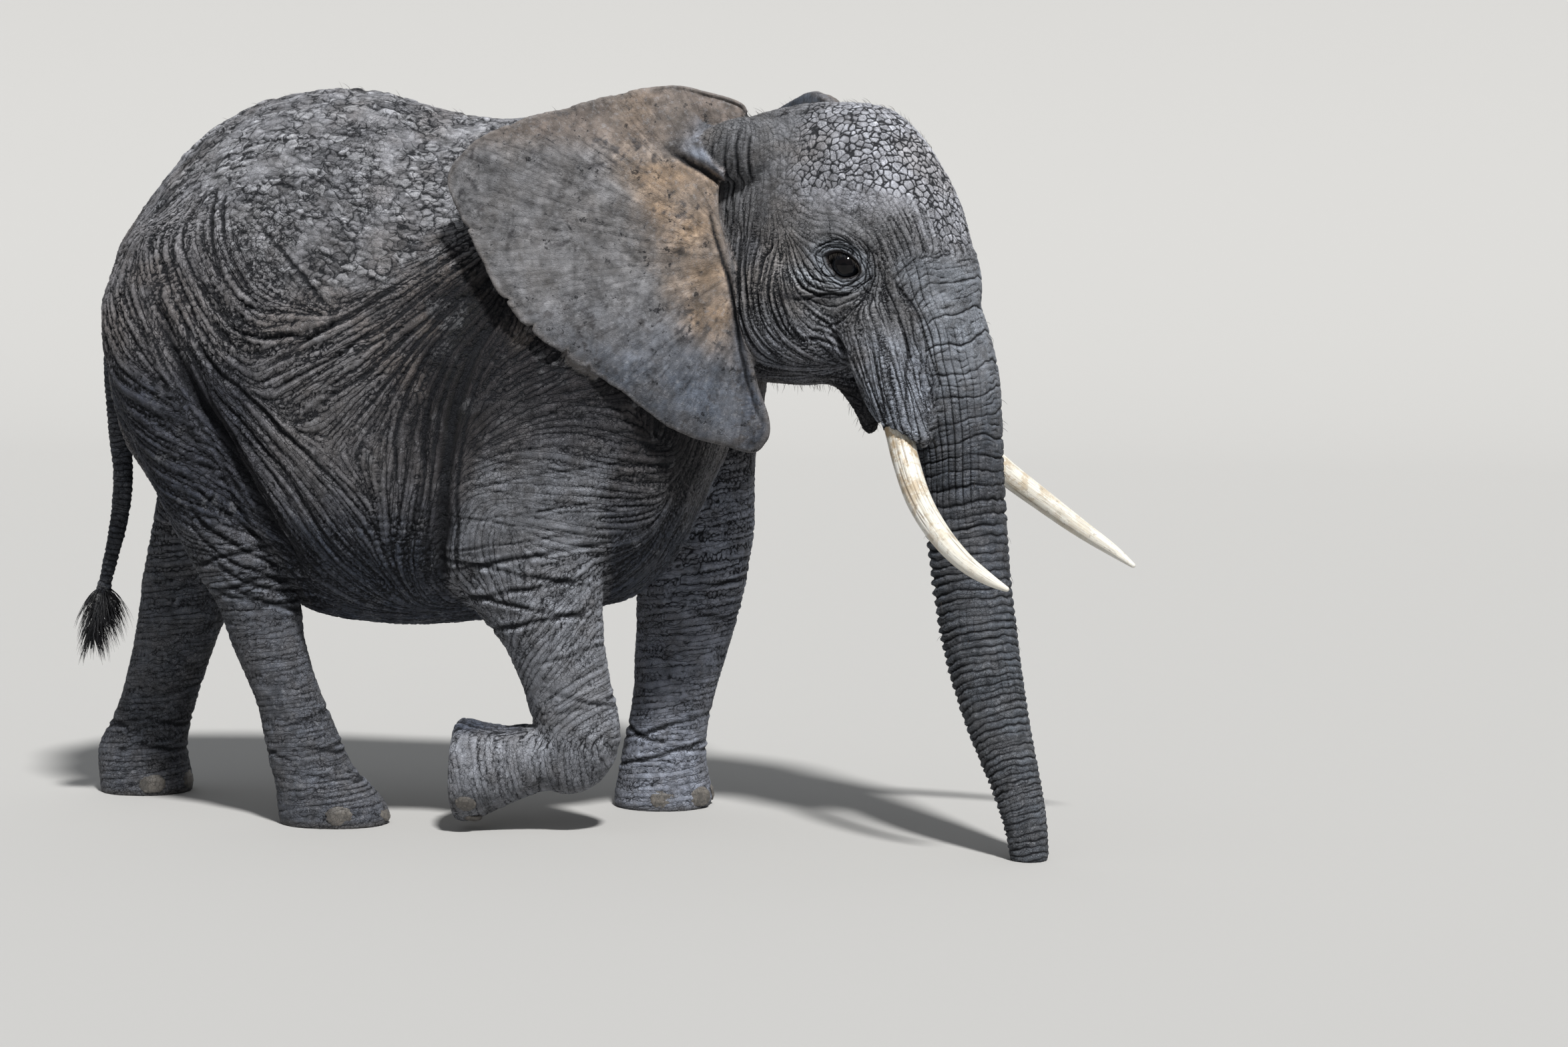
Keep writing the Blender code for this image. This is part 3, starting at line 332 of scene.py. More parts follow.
# x, height, radius of the tail along its middle
TAIL = [
    (-1.64, 2.08, 0.066),
    (-1.765, 1.985, 0.060),
    (-1.812, 1.84, 0.054),
    (-1.832, 1.66, 0.049),
    (-1.828, 1.50, 0.045),
    (-1.818, 1.36, 0.042),
    (-1.808, 1.22, 0.038),
    (-1.820, 1.08, 0.0355),
    (-1.850, 0.95, 0.031),
    (-1.886, 0.82, 0.026),
    (-1.918, 0.70, 0.020),
    (-1.940, 0.62, 0.013),
    (-1.950, 0.565, 0.007),
]


def body_rings():
    k = fair([(r[0], 0, 0, *r) for r in BODY], 40)[:, 3:]
    return [ring((x, 0, zc), (0, -1, 0), (0, 0, 1), w, w, top - zc, zc - low, 1.95, 2.25, 40) for x, top, low, w, zc in k]


def skull_rings():
    k = fair([(r[0], 0, 0, *r) for r in SKULL], 30)[:, 3:]
    return [
        ring(head_point(a, 0, zc), head_way(0, -1), (0, 0, 1), w, w, top - zc, zc - low, 2.35, 2.5, 36)
        for a, top, low, w, zc in k
    ]


def neck_rings():
    points = [(0.02, 0.0, 1.93), (0.26, 0.0, 1.97), (0.46, -0.01, 2.00), tuple(head_point(0.20, 0, 2.03))]
    sizes = [(0.44, 0.52, 0.60), (0.40, 0.53, 0.50), (0.335, 0.475, 0.41), (0.295, 0.44, 0.38)]
    return along(points, sizes, (0, 0, 1), 36, 2.1, 16)


def trunk_rings(inflate=0.0, samples=46):
    points = [head_point(*r[:3]) for r in TRUNK]
    return along(points, [r[3:] for r in TRUNK], head_way(1, 0, 0.35), 32, 2.15, samples, inflate)


def leg_rings(stations, inflate=0.0, samples=44, count=32):
    rows = [(r[1], r[2], r[0], *r[3:]) for r in stations]
    k = fair(rows, samples)
    out = []
    for x, y, z, front, back, left, right in k:
        g = inflate
        out.append(ring((x, y, z), (1, 0, 0), (0, 1, 0), front + g, back + g, right + g, left + g, 2.1, 2.1, count))
    return out


def folded_rings(inflate=0.0):
    points = [r[:3] for r in FOLDED_FOOT]
    return along(points, [r[3:] for r in FOLDED_FOOT], (0, 0, 1), 32, 2.15, 22, inflate)


def tail_rings(inflate=0.0, samples=40, count=16):
    points = [(r[0], 0.012 * math.sin(4 * r[1]), r[1]) for r in TAIL]
    return along(points, [(r[2], r[2], r[2]) for r in TAIL], (-1, 0, 0.2), count, 2.0, samples, inflate)


def sheath_rings(side):
    """The flesh round the root of a tusk: from under the eye down to the lip, whose rim reaches lower in front."""
    points = [head_point(0.50, side * 0.150, 2.00), head_point(0.62, side * 0.172, 1.84), head_point(0.705, side * 0.192, 1.68),
              head_point(0.765, side * 0.208, 1.54), head_point(0.800, side * 0.218, 1.455)]
    sizes = [(0.13, 0.14, 0.12), (0.125, 0.135, 0.115), (0.108, 0.118, 0.100), (0.090, 0.106, 0.088), (0.074, 0.104, 0.080)]
    rings = along(points, sizes, head_way(1, 0, 0.4), 24, 2.1, 18)
    ahead_way, down = head_way(1, 0, 0.4) / np.linalg.norm(head_way(1, 0, 0.4)), np.array(points[4]) - np.array(points[3])
    down = down / np.linalg.norm(down)
    out = []
    for i, r in enumerate(rings):
        slant = 0.85 * min(1.0, max(0.0, (i - 9) / 7.0))
        reach = (r - r.mean(0)) @ ahead_way
        out.append(r + np.outer(reach * slant, down))
    return out


def cheek_rings(side):
    points = [head_point(0.10, side * 0.235, 1.98), head_point(0.30, side * 0.262, 1.90), head_point(0.46, side * 0.240, 1.82), head_point(0.60, side * 0.19, 1.76)]
    sizes = [(0.085, 0.20, 0.24), (0.100, 0.19, 0.25), (0.095, 0.15, 0.20), (0.080, 0.10, 0.12)]
    return along(points, sizes, (0, 0, 1), 24, 2.0, 14)


def brow_rings(side):
    points = [head_point(0.50, side * 0.255, 2.10), head_point(0.585, side * 0.262, 2.105), head_point(0.68, side * 0.238, 2.085), head_point(0.76, side * 0.19, 2.04)]
    sizes = [(0.040, 0.045, 0.050), (0.048, 0.048, 0.046), (0.048, 0.05, 0.046), (0.04, 0.045, 0.045)]
    return along(points, sizes, (0, 0, 1), 20, 2.0, 12)


def jaw_rings():
    points = [head_point(0.14, 0, 1.735), head_point(0.28, 0, 1.690), head_point(0.40, 0, 1.665), head_point(0.490, 0, 1.615), head_point(0.542, 0, 1.52), head_point(0.562, 0, 1.425)]
    sizes = [(0.20, 0.12, 0.135), (0.19, 0.11, 0.110), (0.165, 0.10, 0.088), (0.118, 0.080, 0.062), (0.068, 0.052, 0.046), (0.028, 0.026, 0.026)]
    return along(points, sizes, head_way(0.5, 0, 1.0), 28, 2.1, 22)


def tusk_line(side):
    """Middle line and radius of a tusk, root first: it comes down out of the lip and sweeps ahead and out."""
    keys = [
        (0.655, 0.190, 1.760, 0.046),
        (0.735, 0.207, 1.590, 0.0475),
        (0.792, 0.224, 1.455, 0.0475),
        (0.848, 0.262, 1.330, 0.0455),
        (0.930, 0.325, 1.215, 0.0430),
        (1.040, 0.392, 1.115, 0.0385),
        (1.160, 0.447, 1.035, 0.0315),
        (1.268, 0.480, 0.985, 0.0215),
        (1.345, 0.490, 0.955, 0.0085),
    ]
    rise = (0, 0, 0.006, 0.028, 0.048, 0.050, 0.034, 0.010, -0.012) if side > 0 else (0,) * 9
    return [head_point(a, side * o, z + h) for (a, o, z, _), h in zip(keys, rise)], [r for *_, r in keys]


def tusk_rings(side, inflate=0.0, samples=30, count=20):
    p, r = tusk_line(side)
    return along(p, [(x, x, x) for x in r], head_way(1, 0, 1), count, 2.0, samples, inflate)


# ---------------------------------------------------------------- ears
# The outline of an ear in its own plane: back from the root line, and height.
EAR_EDGE = [
    (-0.15, 2.535), (0.00, 2.595), (0.10, 2.614), (0.37, 2.564), (0.65, 2.488), (0.82, 2.405), (0.90, 2.310),
    (0.895, 2.230), (0.83, 2.065), (0.76, 1.888), (0.60, 1.716), (0.41, 1.590), (0.22, 1.436), (0.03, 1.372),
    (-0.07, 1.353), (-0.118, 1.430), (-0.088, 1.600), (-0.052, 1.900), (-0.015, 2.150), (-0.040, 2.330), (-0.085, 2.450),
]
EAR_ROOT = (0.125, 0.342)         # the ear's root, ahead of the head's pivot and out from its middle, at a height of 2.25


def ear_frame(z, side):
    """For each height: the ear's root, its way back and the way square to it, all seen from above."""
    z = np.atleast_1d(np.asarray(z, float))
    turn = HEAD_YAW * (0.0 if side < 0 else 0.5)
    if side < 0:
        lean = 0.10 * (2.25 - z) / 0.9
        swing = np.full_like(z, math.radians(17.0))
    else:
        lean = -0.02 - 0.36 * (2.25 - z)
        swing = np.radians(26.0 + 18.0 * np.clip((z - 1.35) / 0.85, 0.0, 1.0))
    base = head_point(EAR_ROOT[0], side * EAR_ROOT[1], 0)[:2]
    root = base + np.outer(lean, head_way(1, 0)[:2])
    c, s = math.cos(turn), math.sin(turn)
    dx, dy = -np.cos(swing), side * np.sin(swing)
    d = np.stack([c * dx - s * dy, s * dx + c * dy], 1)
    n = np.stack([-d[:, 1], d[:, 0]], 1)
    n = np.where((n[:, 1] * side > 0)[:, None], n, -n)
    return root, d, n


def ear_places(back, z, lift, side):
    """The places of points of the ear: back along the ear from its root, height, and lift square to the ear.

    The right ear lies back along the neck. The left one is held out wide at the top and turned back below."""
    root, d, n = ear_frame(z, side)
    p = root + d * np.atleast_1d(back)[:, None] + n * np.atleast_1d(lift)[:, None]
    return np.column_stack([p, np.atleast_1d(z)])


def ear_place(back, z, lift, side):
    return ear_places(back, z, lift, side)[0]


def ear_bow(back, z, side):
    """How far the sheet of the ear stands off its own plane: a shallow cup that droops to the back and the bottom and
    bends at the top, with soft waves.
    """
    b = np.maximum(back, 0.0)
    v = (z - 1.9) / 0.7
    cup = 0.055 * np.sin(np.minimum(b / 0.95, 1.0) * math.pi) * (1 - 0.35 * v * v)
    droop = -0.05 * (b / 0.95) ** 2
    lower = -0.05 * np.maximum(0.0, (1.72 - z) / 0.45) ** 1.5
    waves = 0.012 * np.sin(9.0 * b + 2.0 * v) * np.minimum(1.0, b / 0.3) + 0.009 * np.sin(6.0 * v - 5.0 * b)
    top = 0.045 * np.maximum(0.0, (z - 2.36) / 0.22) ** 1.4
    return cup + droop + lower + waves - top


def ear_thickness(edge_gap, back):
    """Half of the ear's thickness: thin at the hem, thicker inwards, and thickest at the root."""
    root = np.maximum(0.0, 1.0 - np.maximum(back, -0.05) / 0.26)
    return 0.0085 + 0.0075 * np.minimum(1.0, edge_gap / 0.10) + 0.022 * root**1.5


# ---------------------------------------------------------------- mesh helpers
def evaluated(obj):
    """The object's mesh with its modifiers applied; the modifiers are then removed."""
    graph = bpy.context.evaluated_depsgraph_get()
    graph.update()
    mesh = bpy.data.meshes.new_from_object(obj.evaluated_get(graph))
    obj.modifiers.clear()
    obj.data = mesh
    return obj


def join(name, objects):
    bm = bmesh.new()
    for o in objects:
        bm.from_mesh(o.data)
        bpy.data.objects.remove(o, do_unlink=True)
    mesh = bpy.data.meshes.new(name)
    bm.to_mesh(mesh)
    bm.free()
    return link(name, mesh)


def modify(obj, kind, **settings):
    m = obj.modifiers.new(kind.title(), kind)
    for key, value in settings.items():
        setattr(m, key, value)
    return evaluated(obj)


def triangles_only(mesh):
    bm = bmesh.new()
    bm.from_mesh(mesh)
    bmesh.ops.triangulate(bm, faces=bm.faces[:])
    bm.to_mesh(mesh)
    bm.free()


def above_floor(obj):
    """The part of a closed form that is above the floor, with a flat cut face."""
    mesh = bpy.data.meshes.new("above")
    s = 4.0
    corners = [(x, y, z) for x in (-s, s) for y in (-s, s) for z in (0.0, s)]
    mesh.from_pydata(corners, [], [(0, 1, 3, 2), (4, 6, 7, 5), (0, 4, 5, 1), (2, 3, 7, 6), (0, 2, 6, 4), (1, 5, 7, 3)])
    if signed_volume(mesh) < 0:
        mesh.flip_normals()
    block = link("above", mesh)
    for o in (obj, block):
        triangles_only(o.data)
    modify(obj, "BOOLEAN", object=block, operation="INTERSECT", solver="EXACT")
    bpy.data.objects.remove(block, do_unlink=True)
    return obj


def ear_solid(name, side, rows=14, count=110):
    """A sheet of ear with a rounded hem: rings of its outline shrunk towards the middle, on both faces."""
    edge = fair(EAR_EDGE, count, True)
    mid = np.array([0.40, 1.98])
    bm = bmesh.new()
    shrink = [1.0 - (j / rows) ** 1.15 for j in range(rows)]
    faces = {}
    for face in (1, -1):
        layers = []
        for f in shrink:
            layer = []
            for p in edge:
                b, z = mid + (p - mid) * f
                gap = np.linalg.norm(p - mid) * (1 - f)
                lift = ear_bow(b, z, side) + face * ear_thickness(gap, b)
                layer.append(bm.verts.new(ear_place(b, z, lift, side)))
            layers.append(layer)
        b, z = mid
        tip = bm.verts.new(ear_place(b, z, ear_bow(b, z, side) + face * ear_thickness(1, b), side))
        for a, c in zip(layers, layers[1:]):
            for i in range(count):
                k = (i + 1) % count
                bm.faces.new((a[i], a[k], c[k], c[i]) if face > 0 else (a[i], c[i], c[k], a[k]))
        for i in range(count):
            k = (i + 1) % count
            bm.faces.new((layers[-1][i], layers[-1][k], tip) if face > 0 else (layers[-1][i], tip, layers[-1][k]))
        faces[face] = layers[0]
    for i in range(count):
        k = (i + 1) % count
        bm.faces.new((faces[1][i], faces[-1][i], faces[-1][k], faces[1][k]))
    bmesh.ops.recalc_face_normals(bm, faces=bm.faces)
    mesh = bpy.data.meshes.new(name)
    bm.to_mesh(mesh)
    bm.free()
    if signed_volume(mesh) < 0:
        mesh.flip_normals()
    return link(name, mesh)


def points_of(mesh):
    p = np.empty(len(mesh.vertices) * 3, np.float32)
    mesh.vertices.foreach_get("co", p)
    return p.reshape(-1, 3).astype(np.float64)


def normals_of(mesh):
    p = np.empty(len(mesh.vertices) * 3, np.float32)
    mesh.vertex_normals.foreach_get("vector", p)
    return p.reshape(-1, 3).astype(np.float64)


def put_points(mesh, p):
    mesh.vertices.foreach_set("co", np.ascontiguousarray(p, np.float32).ravel())
    mesh.update()


def store(mesh, name, values, kind="FLOAT"):
    a = mesh.attributes.new(name, kind, "POINT")
    key = {"FLOAT": "value", "FLOAT_VECTOR": "vector", "FLOAT_COLOR": "color"}[kind]
    a.data.foreach_set(key, np.ascontiguousarray(values, np.float32).ravel())


def rise(x, low, high):
    """0 below low, 1 above high, smooth between."""
    t = np.clip((x - low) / (high - low), 0.0, 1.0)
    return t * t * (3 - 2 * t)


def unit(v):
    return v / (np.linalg.norm(v, axis=-1, keepdims=True) + 1e-12)


class Net:
    """The neighbours of a mesh's points, as arrays."""

    def __init__(self, mesh):
        e = np.empty(len(mesh.edges) * 2, np.int32)
        mesh.edges.foreach_get("vertices", e)
        self.a, self.b = e.reshape(-1, 2).T.copy()
        self.n = len(mesh.vertices)
        self.count = np.maximum(np.bincount(self.a, minlength=self.n) + np.bincount(self.b, minlength=self.n), 1)

    def around(self, f):
        if f.ndim > 1:
            return np.stack([self.around(c) for c in f.T], 1)
        s = np.bincount(self.a, weights=f[self.b], minlength=self.n) + np.bincount(self.b, weights=f[self.a], minlength=self.n)
        return s / self.count

    def smooth(self, f, rounds, by=0.5):
        for _ in range(rounds):
            f = f + by * (self.around(f) - f)
        return f

    def to_line(self, f, p, wave):
        """How far each point is from where f crosses zero, with f's sign. wave is the length of f's waves."""
        return f / np.maximum(self.smooth(self.slope(f, p), 2), 3.0 / wave)

    def slope(self, f, p):
        """How fast f changes along the surface, per metre."""
        d = np.linalg.norm(p[self.a] - p[self.b], axis=1) + 1e-6
        s = ((f[self.a] - f[self.b]) / d) ** 2
        s = np.bincount(self.a, weights=s, minlength=self.n) + np.bincount(self.b, weights=s, minlength=self.n)
        return np.sqrt(2 * s / self.count)


# ---------------------------------------------------------------- noise
SIDE = 64
DICE = np.random.default_rng(11)
GRAD = unit(DICE.normal(size=(SIDE**3, 3))).astype(np.float32)
JITTER = DICE.random(size=(SIDE**3, 4)).astype(np.float32)
SHIFTS = DICE.uniform(3, 60, size=(96, 3))
POOL = ThreadPoolExecutor(4)


def in_parts(work, q, *more):
    """Runs work over the rows of q in a few threads and puts the answers back in order."""
    cuts = list(range(0, len(q), 60000)) + [len(q)]
    jobs = [POOL.submit(work, q[i:j], *more) for i, j in zip(cuts, cuts[1:])]
    return np.concatenate([j.result() for j in jobs]) if jobs else np.zeros(0)


def noise_rows(q, seed):
    q = q + SHIFTS[seed]
    i = np.floor(q).astype(np.int32)
    f = (q - i).astype(np.float32)
    u = f * f * f * (f * (f * 6 - 15) + 10)
    out = np.zeros(len(q), np.float32)
    for dx in (0, 1):
        wx = u[:, 0] if dx else 1 - u[:, 0]
        ix = ((i[:, 0] + dx) & 63) << 12
        for dy in (0, 1):
            wy = wx * (u[:, 1] if dy else 1 - u[:, 1])
            iy = ix + (((i[:, 1] + dy) & 63) << 6)
            for dz in (0, 1):
                w = wy * (u[:, 2] if dz else 1 - u[:, 2])
                g = GRAD[iy + ((i[:, 2] + dz) & 63)]
                out += w * (g[:, 0] * (f[:, 0] - dx) + g[:, 1] * (f[:, 1] - dy) + g[:, 2] * (f[:, 2] - dz))
    return out


def noise(q, seed=0):
    """Gradient noise, with cells one unit across, from about -0.7 to 0.7."""
    return in_parts(noise_rows, q, seed).astype(np.float64)


def rough(q, seed=0, octaves=3):
    """Several sizes of noise added up."""
    return sum(noise(q * 2.03**k, (seed + 7 * k) % 64) * 0.55**k for k in range(octaves))


def soft_volume(side=96, waves=5.0, seed=5):
    """Noise of one size only in a cube that repeats: each wave is `waves` steps long."""
    f = np.fft.fftfreq(side)
    r = np.sqrt(f[:, None, None] ** 2 + f[None, :, None] ** 2 + np.fft.rfftfreq(side)[None, None, :] ** 2)
    band = np.exp(-(((r - 1 / waves) * waves / 0.34) ** 2))
    v = np.fft.irfftn(np.fft.rfftn(np.random.default_rng(seed).normal(size=(side,) * 3)) * band, s=(side,) * 3)
    return (v / v.std()).astype(np.float32).ravel()


VOLUME_SIDE, VOLUME_WAVE = 96, 5.0
VOLUME = soft_volume(VOLUME_SIDE, VOLUME_WAVE)


class Currents:
    """The skin's directions on a coarse grid of space, so that a path can be followed along them."""

    STEP = 0.026

    def __init__(self, p, tensor, firm):
        self.low = p.min(0) - 0.1
        self.shape = np.ceil((p.max(0) + 0.1 - self.low) / self.STEP).astype(int)
        cell = ((p - self.low) / self.STEP).astype(int)
        flat = (cell[:, 0] * self.shape[1] + cell[:, 1]) * self.shape[2] + cell[:, 2]
        n = int(np.prod(self.shape))
        grids = [np.bincount(flat, weights=c, minlength=n).reshape(self.shape) for c in (*tensor.T, firm, np.ones(len(p)))]
        for axis in (0, 1, 2):
            grids = [g + 0.6 * (np.roll(g, 1, axis) + np.roll(g, -1, axis)) for g in grids]
        g = np.stack([x.ravel() for x in grids], 1)
        at = np.flatnonzero(g[:, 7] > 0)
        m = g[at][:, [0, 3, 5, 3, 1, 4, 5, 4, 2]].reshape(-1, 3, 3)
        _, vectors = np.linalg.eigh(m)
        self.way = np.zeros((n, 3), np.float32)
        self.way[at] = vectors[:, :, 2] * (g[at, 6] / g[at, 7])[:, None]

    def look(self, q):
        c = ((q - self.low) / self.STEP).astype(np.int32)
        np.clip(c, 0, self.shape - 1, out=c)
        return self.way[(c[:, 0] * self.shape[1] + c[:, 1]) * self.shape[2] + c[:, 2]]


def drawn_rows(block, currents, wave, length, steps, seed):
    scale = VOLUME_WAVE / wave
    side = VOLUME_SIDE
    shift = SHIFTS[seed] * 3.7
    total = 0.0
    out = np.zeros(len(block), np.float32)
    for sign in (1.0, -1.0):
        q = block[:, :3].astype(np.float32)
        v = block[:, 3:6] * sign
        for k in range(steps + 1):
            if k or sign > 0:
                w = math.exp(-1.7 * (k / (steps + 0.5)) ** 2)
                c = np.rint(q * scale + shift).astype(np.int32) % side
                out += w * VOLUME[(c[:, 0] * side + c[:, 1]) * side + c[:, 2]]
                total += w * w
            if k < steps:
                q = q + v * (length / steps)
                n = currents.look(q)
                v = np.where((n * v).sum(1)[:, None] < 0, -n, n)
    return out / math.sqrt(total)


def drawn(p, v, currents, wave, length, seed):
    """Noise drawn out along the directions of the skin, so that its crossings of zero are long lines along them."""
    steps = max(3, int(round(length / wave / 0.45)))
    f = in_parts(drawn_rows, np.hstack([p, v]).astype(np.float32), currents, wave, length, steps, seed).astype(np.float64)
    return f / (f.std() + 1e-9)


def cells_rows(q, seed):
    """For each point: the distance to the nearest edge between scattered cells, a number of its own for the cell, and how far above the cell's middle it is."""
    q = q + SHIFTS[seed]
    i = np.floor(q).astype(np.int32)
    f = (q - i).astype(np.float32)
    best = np.full(len(q), 9.0, np.float32)
    second = np.full(len(q), 9.0, np.float32)
    tone = np.zeros(len(q), np.float32)
    above = np.zeros(len(q), np.float32)
    for dx in (-1, 0, 1):
        for dy in (-1, 0, 1):
            for dz in (-1, 0, 1):
                j = JITTER[(((i[:, 0] + dx) & 63) << 12) + (((i[:, 1] + dy) & 63) << 6) + ((i[:, 2] + dz) & 63)]
                d = np.sqrt((dx + j[:, 0] - f[:, 0]) ** 2 + (dy + j[:, 1] - f[:, 1]) ** 2 + (dz + j[:, 2] - f[:, 2]) ** 2)
                near = d < best
                second = np.where(near, best, np.minimum(second, d))
                best = np.where(near, d, best)
                tone = np.where(near, j[:, 3], tone)
                above = np.where(near, f[:, 2] - dz - j[:, 2], above)
    return np.stack([second - best, tone, above], 1)


def cells(q, seed=0):
    r = in_parts(cells_rows, q.astype(np.float32), seed)
    return r[:, 0].astype(np.float64), r[:, 1].astype(np.float64), r[:, 2].astype(np.float64)


# ---------------------------------------------------------------- the skin's smooth form
def flesh_and_ears():
    parts = [
        skin_rings("torso", body_rings(), 0.45),
        skin_rings("skull", skull_rings(), 0.8),
        skin_rings("nape", neck_rings()),
        above_floor(skin_rings("trunk", trunk_rings())),
        skin_rings("jaw", jaw_rings(), 0.9),
        skin_rings("tail", tail_rings(), 0.9),
        skin_rings("folded", folded_rings(), 0.0),
    ]
    for name, rows in (("hr", HIND_RIGHT), ("hl", HIND_LEFT), ("fl", FORE_LEFT), ("fr", FORE_RIGHT)):
        leg = skin_rings(name, leg_rings(rows), 0.6 if name == "fr" else 0.9)
        parts.append(leg if name == "fr" else above_floor(leg))
    for side in (-1, 1):
        parts += [skin_rings("sheath", sheath_rings(side), 0.8), skin_rings("cheek", cheek_rings(side), 0.9), skin_rings("brow", brow_rings(side), 0.9)]
        parts.append(ear_solid("ear", side))
        if side < 0:
            # the right ear's front edge runs into the side of the head
            spine = [Vector(ear_place(0.0, 2.40, ear_bow(0.0, 2.40, side) - 0.006, side)), Vector(head_point(0.235, -0.262, 2.405)), Vector(head_point(0.28, -0.180, 2.39)), Vector(head_point(0.32, -0.080, 2.37))]
            parts.append(skin_rings("web", along(spine, [(0.060, 0.080, 0.110), (0.075, 0.100, 0.130), (0.100, 0.110, 0.150), (0.130, 0.100, 0.150)], (0, 0, 1), 24, 2.0, 14), 0.9))
        edge = [(-0.140, 2.515), (-0.110, 2.455), (-0.070, 2.390), (-0.040, 2.330)]
        spine = [Vector(ear_place(b + 0.015, z, ear_bow(b, z, side) - 0.012, side)) for b, z in edge]
        parts.append(skin_rings("join", along(spine, [(0.040, 0.026, 0.034)] * 4, (0, -side, 0), 20, 2.0, 14), 0.9))
    whole = join("skin", parts)
    modify(whole, "REMESH", mode="VOXEL", voxel_size=VOXEL, adaptivity=0.0)
    return whole


def head_coords(p):
    """Ahead of the head's pivot and out to the head's left."""
    c, s = math.cos(HEAD_YAW), math.sin(HEAD_YAW)
    x, y = p[:, 0] - HEAD_PIVOT[0], p[:, 1] - HEAD_PIVOT[1]
    return c * x + s * y, -s * x + c * y


EAR_MID = np.array([0.40, 1.98])
_edge = fair(EAR_EDGE, 240, True) - EAR_MID
_angle = np.arctan2(_edge[:, 1], _edge[:, 0])
_order = np.argsort(_angle)
EAR_ANGLE, EAR_REACH = _angle[_order], np.linalg.norm(_edge[_order], axis=1)


def ear_coords(p, side):
    """(back along the ear, how far off its plane, how far inside its outline) for each point."""
    root, d, n = ear_frame(p[:, 2], side)
    rel = p[:, :2] - root
    back, lift = (rel * d).sum(1), (rel * n).sum(1)
    q = np.stack([back, p[:, 2]], 1) - EAR_MID
    reach = np.interp(np.arctan2(q[:, 1], q[:, 0]), EAR_ANGLE, EAR_REACH, period=2 * math.pi)
    return back, lift, reach - np.linalg.norm(q, axis=1)


def line_coords(p, rows, samples=220):
    """The nearest place on a curve given as rows of (x, y, z, radius): (length along it, its point, way, radius, gap)."""
    k = fair(rows, samples)
    way = unit(np.gradient(k[:, :3], axis=0))
    run = np.concatenate([[0], np.cumsum(np.linalg.norm(np.diff(k[:, :3], axis=0), axis=1))])

    def nearest(block):
        d = ((block[:, None, :] - k[None, :, :3]) ** 2).sum(2)
        return d.argmin(1).astype(float)

    out = [nearest(p[i : i + 20000]) for i in range(0, len(p), 20000)]
    i = np.concatenate(out).astype(int) if out else np.zeros(0, int)
    along_way = ((p - k[i, :3]) * way[i]).sum(1)
    s = run[i] + np.clip(along_way, -0.03, 0.03)
    gap = np.linalg.norm(p - k[i, :3] - way[i] * along_way[:, None], axis=1)
    return s, k[i, :3], way[i], k[i, 3], gap


